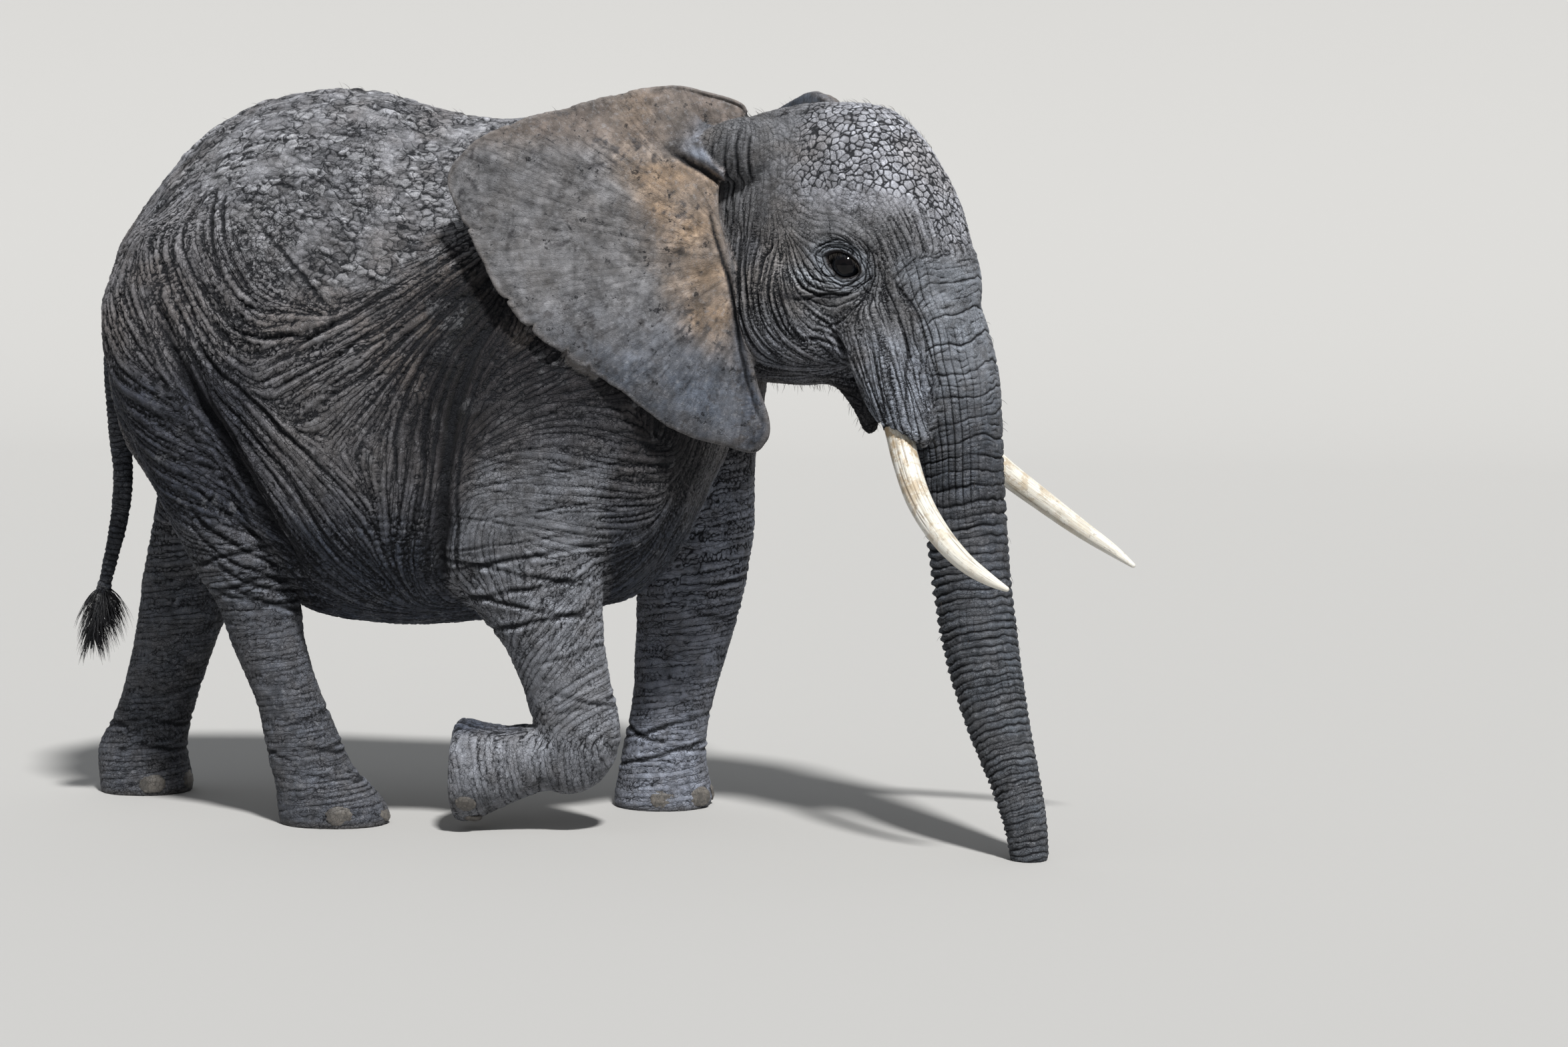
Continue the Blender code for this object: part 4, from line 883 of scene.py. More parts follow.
# ---------------------------------------------------------------- the lie of the wrinkles
# Main folds of the flank and thigh, seen from the side: (x, height). The skin's creases run along them.
FLANK_LINES = [
    [(-1.322, 2.240), (-1.322, 2.117), (-1.288, 2.008), (-1.251, 1.950)],
    [(-1.284, 2.240), (-1.284, 2.146), (-1.265, 2.066)],
    [(-1.363, 1.986), (-1.295, 1.856), (-1.221, 1.776), (-1.108, 1.740), (-0.996, 1.754), (-0.921, 1.732)],
    [(-1.322, 1.943), (-1.265, 1.841), (-1.191, 1.783), (-1.086, 1.754)],
    [(-1.430, 1.870), (-1.378, 1.740), (-1.280, 1.624), (-1.146, 1.529), (-1.026, 1.413), (-0.877, 1.290), (-0.780, 1.200)],
    [(-1.400, 1.740), (-1.295, 1.560), (-1.146, 1.400), (-1.026, 1.270), (-0.920, 1.100), (-0.830, 0.960)],
    [(-1.480, 1.780), (-1.400, 1.610), (-1.240, 1.330), (-1.080, 1.120), (-0.980, 0.930)],
    [(-1.108, 1.624), (-0.996, 1.696), (-0.921, 1.740), (-0.772, 1.834), (-0.622, 1.928), (-0.473, 2.030)],
    [(-1.086, 1.537), (-0.921, 1.631), (-0.772, 1.718), (-0.622, 1.812), (-0.473, 1.928), (-0.368, 2.015)],
    [(-0.959, 1.464), (-0.809, 1.566), (-0.697, 1.638), (-0.585, 1.740), (-0.473, 1.841), (-0.368, 1.957)],
    [(-0.800, 1.400), (-0.667, 1.560), (-0.577, 1.676), (-0.510, 1.763), (-0.368, 1.899)],
    [(-0.622, 1.300), (-0.590, 1.480), (-0.503, 1.688), (-0.368, 1.843)],
    [(-0.560, 1.060), (-0.510, 1.290), (-0.503, 1.464), (-0.450, 1.645), (-0.368, 1.769)],
    [(-0.460, 1.000), (-0.400, 1.290), (-0.385, 1.500), (-0.340, 1.690)],
    [(-1.198, 2.189), (-1.056, 2.044), (-0.959, 1.943), (-0.847, 1.827)],
    [(-1.071, 2.225), (-0.921, 2.153), (-0.772, 2.095), (-0.585, 2.050)],
    [(-1.620, 1.600), (-1.520, 1.560), (-1.419, 1.505)],
    [(-1.600, 1.540), (-1.546, 1.530), (-1.433, 1.480), (-1.344, 1.434)],
    [(-1.600, 1.450), (-1.530, 1.430), (-1.433, 1.390), (-1.306, 1.343)],
    [(-1.540, 1.370), (-1.486, 1.350), (-1.373, 1.310), (-1.253, 1.251)],
    [(-1.500, 1.270), (-1.433, 1.250), (-1.313, 1.206), (-1.208, 1.149)],
    [(-1.450, 1.170), (-1.373, 1.148), (-1.246, 1.101), (-1.134, 1.046)],
    [(-1.420, 1.060), (-1.344, 1.010), (-1.253, 0.960), (-1.165, 0.933)],
    [(-1.344, 0.940), (-1.253, 0.871), (-1.165, 0.823), (-1.038, 0.795)],
    [(-1.620, 1.780), (-1.560, 1.700), (-1.500, 1.620)],
    [(-1.560, 2.050), (-1.520, 1.930), (-1.440, 1.800)],
    [(-1.800, 2.000), (-1.620, 2.280), (-1.350, 2.440), (-1.000, 2.520), (-0.500, 2.450), (0.000, 2.460)],
    [(-1.620, 2.100), (-1.450, 2.300), (-1.150, 2.370), (-0.700, 2.330), (-0.200, 2.320)],
    [(-0.180, 2.200), (-0.150, 1.950), (-0.170, 1.780)],
    [(0.050, 2.250), (0.100, 1.950), (0.080, 1.800)],
    [(0.280, 2.250), (0.340, 1.900), (0.300, 1.500)],
    [(-0.374, 1.477), (-0.269, 1.617), (-0.108, 1.711)],
    [(-0.366, 1.398), (-0.205, 1.539), (-0.027, 1.633)],
    [(-0.366, 1.340), (-0.205, 1.430), (-0.027, 1.470), (0.130, 1.440)],
    [(-0.383, 1.275), (-0.205, 1.320), (-0.027, 1.290), (0.183, 1.230)],
    [(-0.390, 1.215), (-0.237, 1.215), (-0.076, 1.185), (0.167, 1.140)],
    [(-0.370, 1.170), (-0.420, 1.060), (-0.407, 0.920), (-0.318, 0.804)],
    [(-0.318, 1.148), (-0.350, 1.038), (-0.318, 0.898)],
    [(-0.240, 1.120), (-0.261, 1.023), (-0.240, 0.920)],
    [(-0.200, 1.110), (-0.076, 1.070), (0.118, 1.000)],
    [(0.118, 0.960), (-0.027, 0.866), (-0.156, 0.725)],
    [(0.090, 0.800), (-0.010, 0.700), (-0.120, 0.560)],
    [(0.080, 0.560), (0.000, 0.540), (-0.100, 0.470)],
]
# Main folds of the side of the head: (ahead of the pivot, height).
FACE_LINES = [
    [(0.181, 2.10), (0.181, 2.015), (0.208, 1.856), (0.247, 1.714), (0.299, 1.640)],
    [(0.222, 2.14), (0.231, 2.066), (0.237, 1.912), (0.267, 1.771), (0.332, 1.668)],
    [(0.270, 2.15), (0.263, 2.083), (0.267, 1.941), (0.299, 1.771), (0.391, 1.674)],
    [(0.345, 2.07), (0.328, 1.985), (0.316, 1.912), (0.338, 1.799), (0.424, 1.697)],
    [(0.371, 1.992), (0.361, 1.890), (0.397, 1.788), (0.476, 1.708)],
    [(0.391, 1.958), (0.410, 1.856), (0.450, 1.776), (0.502, 1.719)],
    [(0.430, 1.992), (0.476, 1.924), (0.541, 1.901), (0.646, 1.908)],
    [(0.721, 1.975), (0.692, 1.901), (0.646, 1.844), (0.607, 1.810), (0.535, 1.782)],
    [(0.757, 1.986), (0.803, 1.912), (0.855, 1.827), (0.881, 1.742), (0.927, 1.600), (0.940, 1.458)],
    [(0.690, 1.84), (0.735, 1.72), (0.760, 1.60), (0.790, 1.48)],
    [(0.655, 1.76), (0.690, 1.65), (0.730, 1.54), (0.760, 1.44)],
    [(0.760, 1.88), (0.810, 1.76), (0.838, 1.62), (0.860, 1.48)],
    [(0.480, 1.86), (0.560, 1.80), (0.600, 1.74), (0.615, 1.68)],
    [(0.330, 1.66), (0.430, 1.62), (0.560, 1.60), (0.640, 1.60)],
    [(0.060, 2.12), (0.080, 1.90), (0.120, 1.72), (0.180, 1.60)],
    [(0.150, 2.38), (0.120, 2.25), (0.115, 2.12)],
    [(0.430, 2.17), (0.505, 2.125), (0.600, 2.135), (0.680, 2.08), (0.715, 2.00)],
]


def sampled(line, step=0.012):
    """Points and ways along a smooth line through a few places in a plane."""
    rows = [(a, b, 0.0) for a, b in line]
    rough_length = sum(math.dist(p, q) for p, q in zip(line, line[1:]))
    k = fair(rows, max(8, int(rough_length / step)))[:, :2]
    return k, unit(np.gradient(k, axis=0))


def way_table(lines, low, high, count=150, spread=0.07):
    """On a grid of a plane, the tensor of the directions of the lines near each place."""
    gx, gz = np.meshgrid(np.linspace(low[0], high[0], count), np.linspace(low[1], high[1], count), indexing="ij")
    q = np.stack([gx.ravel(), gz.ravel()], 1)
    t = np.zeros((len(q), 3))
    for line in lines:
        k, w = sampled(line, 0.02)
        d2 = ((q[:, None] - k[None]) ** 2).sum(2)
        g = 1.0 / (d2 / spread**2 + 0.12) ** 1.6
        t += np.stack([(g * w[:, 0] ** 2).sum(1), (g * w[:, 0] * w[:, 1]).sum(1), (g * w[:, 1] ** 2).sum(1)], 1)
    angle = 0.5 * np.arctan2(2 * t[:, 1], t[:, 0] - t[:, 2])
    return np.stack([np.cos(2 * angle), np.sin(2 * angle)], 1).reshape(count, count, 2)


def read_table(table, low, high, q):
    """The direction at each place, as a unit vector in the plane."""
    n = table.shape[0] - 1
    u = np.clip((q - low) / (np.array(high) - low), 0, 0.9999) * n
    i = u.astype(int)
    f = u - i
    a = sum(
        table[i[:, 0] + dx, i[:, 1] + dz] * ((f[:, 0] if dx else 1 - f[:, 0]) * (f[:, 1] if dz else 1 - f[:, 1]))[:, None]
        for dx in (0, 1)
        for dz in (0, 1)
    )
    angle = 0.5 * np.arctan2(a[:, 1], a[:, 0])
    return np.stack([np.cos(angle), np.sin(angle)], 1)


def near_line(q, where, line, reach):
    """For the points of q in where: the gap to a line in their plane and the share of the way along it."""
    k, _ = sampled(line, 0.006)
    gap = np.full(len(q), 9.0)
    share = np.zeros(len(q))
    low, high = k.min(0) - reach, k.max(0) + reach
    i = np.flatnonzero(where & (q > low).all(1) & (q < high).all(1))
    for j in range(0, len(i), 20000):
        b = i[j : j + 20000]
        d = ((q[b][:, None] - k[None]) ** 2).sum(2)
        m = d.argmin(1)
        gap[b] = np.sqrt(d[np.arange(len(b)), m])
        share[b] = m / (len(k) - 1)
    return gap, share


def fold(q, where, line, depth, width, lip=0.35, blunt=0.5):
    """A crease along a line: how far it sinks the skin, and how much painted shade darkens it, at each point."""
    gap, share = near_line(q, where, line, width * 5)
    fade = np.clip(np.sin(math.pi * np.clip(share, 0.004, 0.996)), 0, 1) ** blunt
    sink = -depth * fade * np.exp(-((gap / width) ** 2)) + lip * depth * fade * np.exp(-(((gap - 2.1 * width) / (1.1 * width)) ** 2))
    return sink, fade * np.exp(-((gap / (0.0012 + 0.42 * width)) ** 2))


def wrap_map(obj):
    """An unwrap of the smooth skin, kept as the map named OFBake that hair roots look up."""
    bpy.ops.object.select_all(action="DESELECT")
    obj.select_set(True)
    bpy.context.view_layer.objects.active = obj
    obj.data.uv_layers.new(name="OFBake")
    bpy.ops.object.mode_set(mode="EDIT")
    bpy.ops.mesh.select_all(action="SELECT")
    bpy.ops.uv.smart_project(angle_limit=1.15, island_margin=0.003, scale_to_bounds=True)
    bpy.ops.object.mode_set(mode="OBJECT")


def finer(obj, inside):
    """Splits each edge whose two ends are inside in half."""
    bm = bmesh.new()
    bm.from_mesh(obj.data)
    edges = [e for e in bm.edges if inside[e.verts[0].index] and inside[e.verts[1].index]]
    bmesh.ops.subdivide_edges(bm, edges=edges, cuts=1, use_grid_fill=True)
    bm.to_mesh(obj.data)
    bm.free()


MOVE = np.mean(np.array(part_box("eye_right")), axis=0) - head_point(EYE[0], -EYE[1], EYE[2])
skin = flesh_and_ears()
NET = Net(skin.data)
P = points_of(skin.data)
P = NET.smooth(P, 9)
# the tops of the hind legs melt into the rump
melt = rise(0.22 - np.abs(P[:, 2] - 2.06), 0.0, 0.12) * rise(-P[:, 0], 0.95, 1.10) * rise(P[:, 0], -1.95, -1.80)
for _ in range(60):
    P += 0.5 * melt[:, None] * (NET.around(P) - P)
P[:, 2] = np.where(P[:, 2] < 0.0035, 0.0, P[:, 2])
put_points(skin.data, P)
wrap_map(skin)

ahead, out = head_coords(P)
near_trunk = (ahead > 0.5) & (P[:, 2] < 2.1) & (np.abs(out) < 0.6)
face_zone = (ahead > 0.14) & (P[:, 2] > 1.36) & (np.abs(out) < 0.40)
for side in (-1, 1):
    back, lift, gap = ear_coords(P, side)
    face_zone &= ~((np.abs(lift - ear_bow(back, P[:, 2], side)) < 0.035) & (gap > -0.01) & (back > -0.02))
    face_zone |= (P[:, 2] > 1.10) & (ahead > 0.70) & (np.abs(out) < 0.30)
finer(skin, face_zone)
P = points_of(skin.data)
EYES = {}


def skin_depth(at, way):
    """Where a line from outside meets the smooth skin."""
    hit, where, _, _ = skin.ray_cast(Vector(at + way * 0.3), Vector(-way), distance=0.6)
    return np.array(where) if hit else at


bpy.context.view_layer.update()
BALL = 0.0530
for side in (-1, 1):
    way = unit(head_way(0.20, side * 1.0, -0.03))
    at = head_point(EYE[0] + 0.016, side * EYE[1], EYE[2] - 0.007)
    front = skin_depth(at, way)
    EYES[side] = (front - way * BALL * 0.74, way)
near_eye = np.zeros(len(P), bool)
for side in (-1, 1):
    near_eye |= np.linalg.norm(P - EYES[side][0] - EYES[side][1] * 0.01, axis=1) < 0.110
finer(skin, near_eye)
P = points_of(skin.data)
eye_zone = np.zeros(len(P), bool)
for side in (-1, 1):
    eye_zone |= np.linalg.norm(P - EYES[side][0] - EYES[side][1] * 0.01, axis=1) < 0.110
N = normals_of(skin.data)
NET = Net(skin.data)
N = unit(NET.smooth(N, 3))
a_, _ = head_coords(P)
face_zone_points = (a_ > 0.14) & (P[:, 2] > 1.36) | (P[:, 2] > 1.10) & (a_ > 0.70)
n_points = len(P)
print("skin points", n_points)

# ---------------------------------------------------------------- where each point is
ahead, out = head_coords(P)
X, Y, Z = P.T
n_ahead = N[:, 0] * math.cos(HEAD_YAW) + N[:, 1] * math.sin(HEAD_YAW)
n_out = -N[:, 0] * math.sin(HEAD_YAW) + N[:, 1] * math.cos(HEAD_YAW)
ear_w = {}
ear_at = {}
for side in (-1, 1):
    back, lift, gap = ear_coords(P, side)
    thick = ear_thickness(np.clip(gap, 0, 1), back)
    off = lift - ear_bow(back, Z, side)
    w = rise(thick + 0.016 - np.abs(off), 0.0, 0.008) * rise(gap, -0.03, -0.01) * (np.sign(Y) == side)
    ear_w[side] = w
    ear_at[side] = (back, off, gap)
EARS = np.maximum(ear_w[-1], ear_w[1])

# the ears' sheets are put back on their own smooth surfaces, which the remesh rounds off
for side in (-1, 1):
    back, off, gap = ear_at[side]
    w = ear_w[side] * rise(back, 0.16, 0.26) * rise(gap, 0.004, 0.018)
    w = np.where(back < 0.16, ear_w[side] * rise(gap, 0.004, 0.015) * rise(-np.abs(back - 0.03), -0.19, -0.16) * rise(Z, 2.40, 2.45), w)
    hem = 0.50 + 0.50 * rise(gap, 0.0, 0.06)
    want = np.sign(off) * ear_thickness(np.clip(gap, 0, 1), back) * hem
    _, _, square = ear_frame(Z, side)
    shift = np.where((w > 0) & (np.abs(want - off) < 0.02), w * (want - off), 0.0)
    P[:, :2] += square * shift[:, None]
    # small nicks and waves in the hem
    q = np.stack([back, Z], 1) - EAR_MID
    turn = np.arctan2(q[:, 1], q[:, 0])
    wave = 0.008 * np.sin(turn * 13 + side) * np.sin(turn * 5.3) + 0.0025 * np.sin(turn * 37 + 2)
    nick = sum(-d * np.exp(-(((turn - t) / s) ** 2)) for t, d, s in ((-1.05, 0.022, 0.025), (-0.62, 0.018, 0.02), (-1.32, 0.014, 0.018), (0.32, 0.014, 0.02), (-0.28, 0.016, 0.016)))
    inward = ear_w[side] * rise(-gap, -0.10, -0.005) * rise(back, 0.12, 0.25) * (wave * 0.55 + nick)
    u = q / (np.linalg.norm(q, axis=1)[:, None] + 1e-9)
    _, d, _ = ear_frame(Z, side)
    P[:, :2] += d * (u[:, 0] * inward)[:, None]
    P[:, 2] += u[:, 1] * inward
put_points(skin.data, P)
N = unit(NET.smooth(normals_of(skin.data), 2))
X, Y, Z = P.T

TRUNK_ROWS = [(*head_point(*r[:3]), (r[3] * 2 + r[4] + r[5]) / 4) for r in TRUNK]
trunk_s, trunk_gap = np.zeros(n_points), np.full(n_points, 9.0)
trunk_way = np.tile([0.0, 0.0, -1.0], (n_points, 1))
trunk_r = np.ones(n_points)
trunk_mid = np.zeros((n_points, 3))
i = np.flatnonzero((ahead > 0.45) & (Z < 2.12) & (np.abs(out) < 0.62) & (EARS < 0.5))
trunk_s[i], trunk_mid[i], trunk_way[i], trunk_r[i], trunk_gap[i] = line_coords(P[i], TRUNK_ROWS)
bound_z = [1.30, 1.458, 1.600, 1.742, 1.827, 1.912, 1.986, 2.06]
bound_a = [0.70, 0.905, 0.915, 0.872, 0.845, 0.800, 0.770, 0.80]
edge_gap = ahead - np.interp(Z, bound_z, bound_a)
low_trunk = rise(1.42 - trunk_gap / trunk_r, 0.0, 0.12) * (trunk_gap < 0.3)
TRUNKW = low_trunk * np.where(Z > 1.30, rise(edge_gap, -0.025, 0.03), 1.0) * rise(-Z, -2.08, -1.98)
HEADW = rise(ahead, 0.02, 0.12) * rise(Z, 1.36, 1.42) * (1 - TRUNKW) * (1 - EARS) * rise(0.46 - np.abs(out), 0, 0.04)
front_way = head_way(1, 0, 0.0)
rel = P - trunk_mid
side_way = head_way(0, 1)
trunk_turn = np.arctan2(rel @ side_way, (rel - (rel * trunk_way).sum(1)[:, None] * trunk_way) @ unit(head_way(1, 0, 0.35)))

TAIL_ROWS = [(r[0], 0.012 * math.sin(4 * r[1]), r[1], r[2]) for r in TAIL]
i = np.flatnonzero((X < -1.66) & (np.abs(Y) < 0.12))
tail_s, tail_gap, tail_way = np.zeros(n_points), np.full(n_points, 9.0), np.tile([0.0, 0.0, -1.0], (n_points, 1))
tail_s[i], _, tail_way[i], tail_r, tail_gap[i] = line_coords(P[i], TAIL_ROWS)
TAILW = rise(0.075 - tail_gap, 0.0, 0.012) * rise(tail_s, 0.16, 0.26)


def leg_place(rows):
    """For every point: the gap to a leg's middle as a share of its half size at that height, and that half size."""
    k = fair([(r[1], r[2], r[0], sum(r[3:]) / 4) for r in rows], 120)
    o = np.argsort(k[:, 2])
    cx, cy, r = (np.interp(Z, k[o, 2], k[o, j]) for j in (0, 1, 3))
    return np.hypot(X - cx, Y - cy) / r, r, X - cx, Y - cy


LEGS = {}
for name, rows, top in (("hr", HIND_RIGHT, 1.15), ("hl", HIND_LEFT, 1.15), ("fl", FORE_LEFT, 1.35), ("fr", FORE_RIGHT, 1.62)):
    share, r, dx, dy = leg_place(rows)
    low = 0.34 if name == "fr" else -1.0
    LEGS[name] = rise(1.45 - share, 0.0, 0.2) * rise(top - Z, 0.0, 0.45 if name == "fr" else 0.25) * rise(Z, low - 0.05, low)
FOLDED = rise(0.37 - Z, 0.0, 0.05) * (X > -0.62) * (X < 0.14) * (Y < -0.10) * (Z > 0.01)
LEGW = np.clip(sum(LEGS.values()), 0, 1)
REAR = 1 - rise(N[:, 1] ** 2, 0.12, 0.45)
BODYW = np.clip(1 - HEADW - TRUNKW - EARS - TAILW - LEGW - FOLDED, 0, 1)

# ---------------------------------------------------------------- which way the wrinkles run
FLANK_LOW, FLANK_HIGH = (-2.1, 0.5), (0.8, 2.8)
FACE_LOW, FACE_HIGH = (-0.1, 1.2), (1.1, 2.6)
flank_table = way_table(FLANK_LINES, FLANK_LOW, FLANK_HIGH)
face_table = way_table(FACE_LINES, FACE_LOW, FACE_HIGH, spread=0.035)
flank_way = read_table(flank_table, FLANK_LOW, FLANK_HIGH, np.stack([X, Z], 1))
face_way = read_table(face_table, FACE_LOW, FACE_HIGH, np.stack([ahead, Z], 1))

T = np.zeros((n_points, 6))
total = np.zeros(n_points)


def add_way(weight, v):
    """Adds a direction to each point's tensor, after laying it on the skin."""
    global T, total
    v = v - (v * N).sum(1)[:, None] * N
    size = np.linalg.norm(v, axis=1)
    v = v / (size[:, None] + 1e-6)
    w = weight * rise(size, 0.05, 0.4)
    x, y, z = v.T
    T += w[:, None] * np.stack([x * x, y * y, z * z, x * y, y * z, x * z], 1)
    total += weight


up = np.array([0.0, 0.0, 1.0])
flank3 = np.stack([flank_way[:, 0], np.zeros(n_points), flank_way[:, 1]], 1)
add_way(BODYW * (1 - REAR), flank3)
add_way(BODYW * REAR, np.cross(N, [0.0, 1.0, 0.0]))
bend = LEGS["fr"] * rise(N[:, 1] ** 2, 0.12, 0.45)
add_way(bend, flank3)
add_way(np.clip(LEGW - bend, 0, 1), np.cross(up, N) + np.array([0.0, 0.0, 0.10]))
add_way(FOLDED, np.cross(np.array([1.0, 0.0, 0.15]), N))
add_way(TRUNKW, np.cross(trunk_way, N))
add_way(TAILW, np.cross(tail_way, N))
face3 = face_way[:, :1] * head_way(1, 0) + face_way[:, 1:] * up
side_face = rise(n_out**2, 0.25, 0.6)
add_way(HEADW * side_face, face3)
add_way(HEADW * (1 - side_face) * 0.25, np.cross(N, head_way(0, 1)))
for side in (-1, 1):
    back, off, gap = ear_at[side]
    _, d, _ = ear_frame(Z, side)
    ray = np.stack([back + 0.12, Z - 2.02], 1)
    add_way(0.35 * ear_w[side], np.column_stack([d * ray[:, :1], ray[:, 1]]))
    # lids: the creases run round the eye
    at, way = EYES[side]
    r = P - at
    g = np.linalg.norm(r - (r @ way)[:, None] * way, axis=1)
    w = 6.0 * rise(0.125 - g, 0.0, 0.05) * (np.sign(out) == side) * HEADW
    add_way(w, np.cross(way, r))
T = NET.smooth(T, 24, 0.6)
total = NET.smooth(total, 6)
M = T[:, [0, 3, 5, 3, 1, 4, 5, 4, 2]].reshape(-1, 3, 3)
values, vectors = np.linalg.eigh(M)
FLOW = vectors[:, :, 2]
firm = np.clip((values[:, 2] - values[:, 1]) / (values[:, 2] + 1e-9), 0, 1) * np.clip(values[:, 2] / (total + 1e-9), 0, 1)
FIRM = rise(firm, 0.0, 0.7)
FLOW = FLOW * FIRM[:, None]
CURRENTS = Currents(P, T / (values[:, 2:] + 1e-9), FIRM)

# ---------------------------------------------------------------- wrinkles, in three sizes
W1, W2, W3 = 0.066, 0.041, 0.029
F50 = NET.to_line(NET.smooth(drawn(P, FLOW, CURRENTS, W1, 0.28, 1), 1, 0.4), P, W1)
F30 = NET.to_line(NET.smooth(drawn(P, FLOW, CURRENTS, W2, 0.20, 2), 1, 0.3), P, W2)
F17 = NET.to_line(drawn(P, FLOW, CURRENTS, W3, 0.11, 3), P, W3)
crossway = np.cross(unit(FLOW), N)
CROSSED = Currents(P, np.stack([crossway[:, i] * crossway[:, j] for i, j in ((0, 0), (1, 1), (2, 2), (0, 1), (1, 2), (0, 2))], 1), FIRM)
CROSS = NET.to_line(drawn(P, crossway * FIRM[:, None], CROSSED, 0.036, 0.060, 4), P, 0.036)
patchy = noise(P / 0.16, 5) * 1.6
patchy2 = noise(P / 0.09, 6) * 1.6


def creases(d, width, depth):
    """Rounded skin between sharp creases where the distance d is zero. width is half of a crease's width."""
    return depth * (1 - np.exp(-((np.abs(d) / width) ** 1.4)) - 0.45)


near_side = rise(-Y, -0.15, 0.05)
calm = 1 - 0.86 * np.exp(-(((X + 0.82 - 0.35 * (Z - 1.33)) / 0.20) ** 2 + ((Z - 1.33) / 0.24) ** 2)) * (np.abs(Y) > 0.25)
elbow = 1 - 0.88 * np.exp(-(((X + 0.20) / 0.24) ** 2 + ((Z - 1.14) / 0.30) ** 2)) * (np.abs(Y) > 0.2)
calm = calm * elbow
shoulder = rise(X, -0.62, -0.40) * rise(2.0 - Z, 0.0, 0.2)
top = rise(N[:, 2], 0.25, 0.75) * BODYW
back_zone = BODYW * rise(Z + 0.12 * np.cos(2.2 * (X + 0.9)), 2.02, 2.34)
scaly_low = np.interp(X, [-1.9, -1.5, -1.32, -1.05, -0.85, -0.65, -0.45, -0.20, 0.30], [2.12, 2.16, 2.06, 1.86, 1.80, 1.88, 2.04, 2.14, 2.20])
scaly = BODYW * rise(Z - scaly_low + 0.10 * patchy, -0.06, 0.14)
rump = BODYW * rise(-X, 1.25, 1.6)
thigh = BODYW * rise(-X, 1.0, 1.25) * rise(1.75 - Z, 0.0, 0.2) * (np.abs(Y) > 0.2)
forehead = HEADW * np.clip(rise(Z, 2.10, 2.28) + rise(ahead, 0.80, 0.92) * rise(Z, 1.98, 2.12), 0, 1)
temple = HEADW * rise(0.30 - ahead, -0.30, 0.05) * rise(2.15 - Z, 0.0, 0.2)
LOWLEG = LEGW * rise(0.95 - Z, 0.0, 0.35)
A50 = 0.0088 * BODYW * (1 - 0.92 * scaly) * (1 - 0.45 * shoulder) * calm + 0.0032 * HEADW + 0.0022 * LEGW * (1 - 0.7 * LOWLEG) + 0.0012 * EARS
A30 = 0.0070 * BODYW * (1 - 0.90 * scaly) * (0.25 + 0.75 * calm) + 0.0052 * HEADW + 0.0056 * LEGW * (1 - 0.5 * LOWLEG) + 0.0008 * EARS + 0.0024 * TAILW + 0.0030 * FOLDED
A17 = 0.0032 * BODYW * (1 - 0.75 * scaly) + 0.0024 * HEADW + 0.0020 * LEGW + 0.0004 * EARS + 0.0018 * TAILW + 0.0014 * FOLDED + 0.0008 * TRUNKW
brow = HEADW * rise(Z, 2.050, 2.140) * rise(ahead, 0.22, 0.36) * rise(0.86 - ahead, 0.0, 0.12)
A50 = A50 * (1 - 0.55 * thigh) * (1 - 0.95 * forehead) * (1 - 0.80 * brow) * (0.15 + 0.85 * elbow)
A30 = A30 * (1 + 0.25 * thigh) * (1 - 0.80 * forehead) * (1 - 0.70 * brow) * (0.20 + 0.80 * elbow)
A17 = A17 * (1 - 0.5 * forehead) * (1 - 0.4 * brow) * (1 - 0.6 * (1 - elbow))
for a in (A50, A30):
    a *= np.clip(1 + 0.45 * patchy, 0.35, 1.6)
A17 *= np.clip(1 + 0.8 * patchy2, 0.1, 2.0)
A50, A30, A17 = (NET.smooth(a, 6) for a in (A50, A30, A17))
H = creases(F50, 0.0070, A50) + creases(F30, 0.0052, A30) + creases(F17, 0.0040, A17)
cross_w = (BODYW * (1 - 0.5 * scaly) + LEGW * 0.6 + HEADW * 0.9 * (1 - forehead)) * np.clip(0.55 + patchy2, 0, 1.3)
H += creases(CROSS, 0.0040, 0.0024 * cross_w)

# broad forms: soft undulations
H += 0.006 * rough(P / 0.22, 8, 2) * (BODYW + 0.5 * LEGW) + 0.0035 * noise(P / 0.10, 9) * (1 - EARS) * (1 - TRUNKW)
H += 0.004 * noise(P / 0.13, 10) * EARS

# painted shade in creases, cracks and hollows, which darkens the skin's colour
crease_shade = np.zeros(n_points)
flank_plane = np.stack([X, Z], 1) + 0.012 * np.stack([noise(P / 0.11, 12), noise(P / 0.11, 13)], 1)
face_plane = np.stack([ahead, Z], 1) + 0.005 * np.stack([noise(P / 0.05, 14), noise(P / 0.05, 15)], 1)


def add_fold(plane, where, line, depth, width, lip=0.35, blunt=0.5):
    global H, crease_shade
    sink, mark = fold(plane, where, line, depth, width, lip, blunt)
    H = H + sink
    # the crease's painted shade
    crease_shade = np.maximum(crease_shade, mark)


KNEE_LINES = [
    [(-1.420, 1.173), (-1.339, 1.063), (-1.210, 0.985), (-1.097, 0.930), (-0.992, 0.915)],
    [(-1.404, 1.079), (-1.323, 0.985), (-1.210, 0.923), (-1.097, 0.883), (-0.992, 0.883)],
    [(-1.355, 0.985), (-1.275, 0.907), (-1.178, 0.860), (-1.081, 0.836), (-0.980, 0.844)],
    [(-1.291, 0.876), (-1.210, 0.829), (-1.113, 0.797), (-0.976, 0.813)],
    [(-1.436, 1.267), (-1.339, 1.173), (-1.226, 1.079), (-1.129, 1.001), (-1.048, 0.962)],
    [(-1.113, 1.016), (-1.048, 0.985), (-1.000, 0.946), (-0.968, 0.907)],
]
ARMPIT = [(-0.490, 0.880), (-0.478, 0.940), (-0.444, 1.184), (-0.421, 1.406), (-0.364, 1.627), (-0.260, 1.830)]
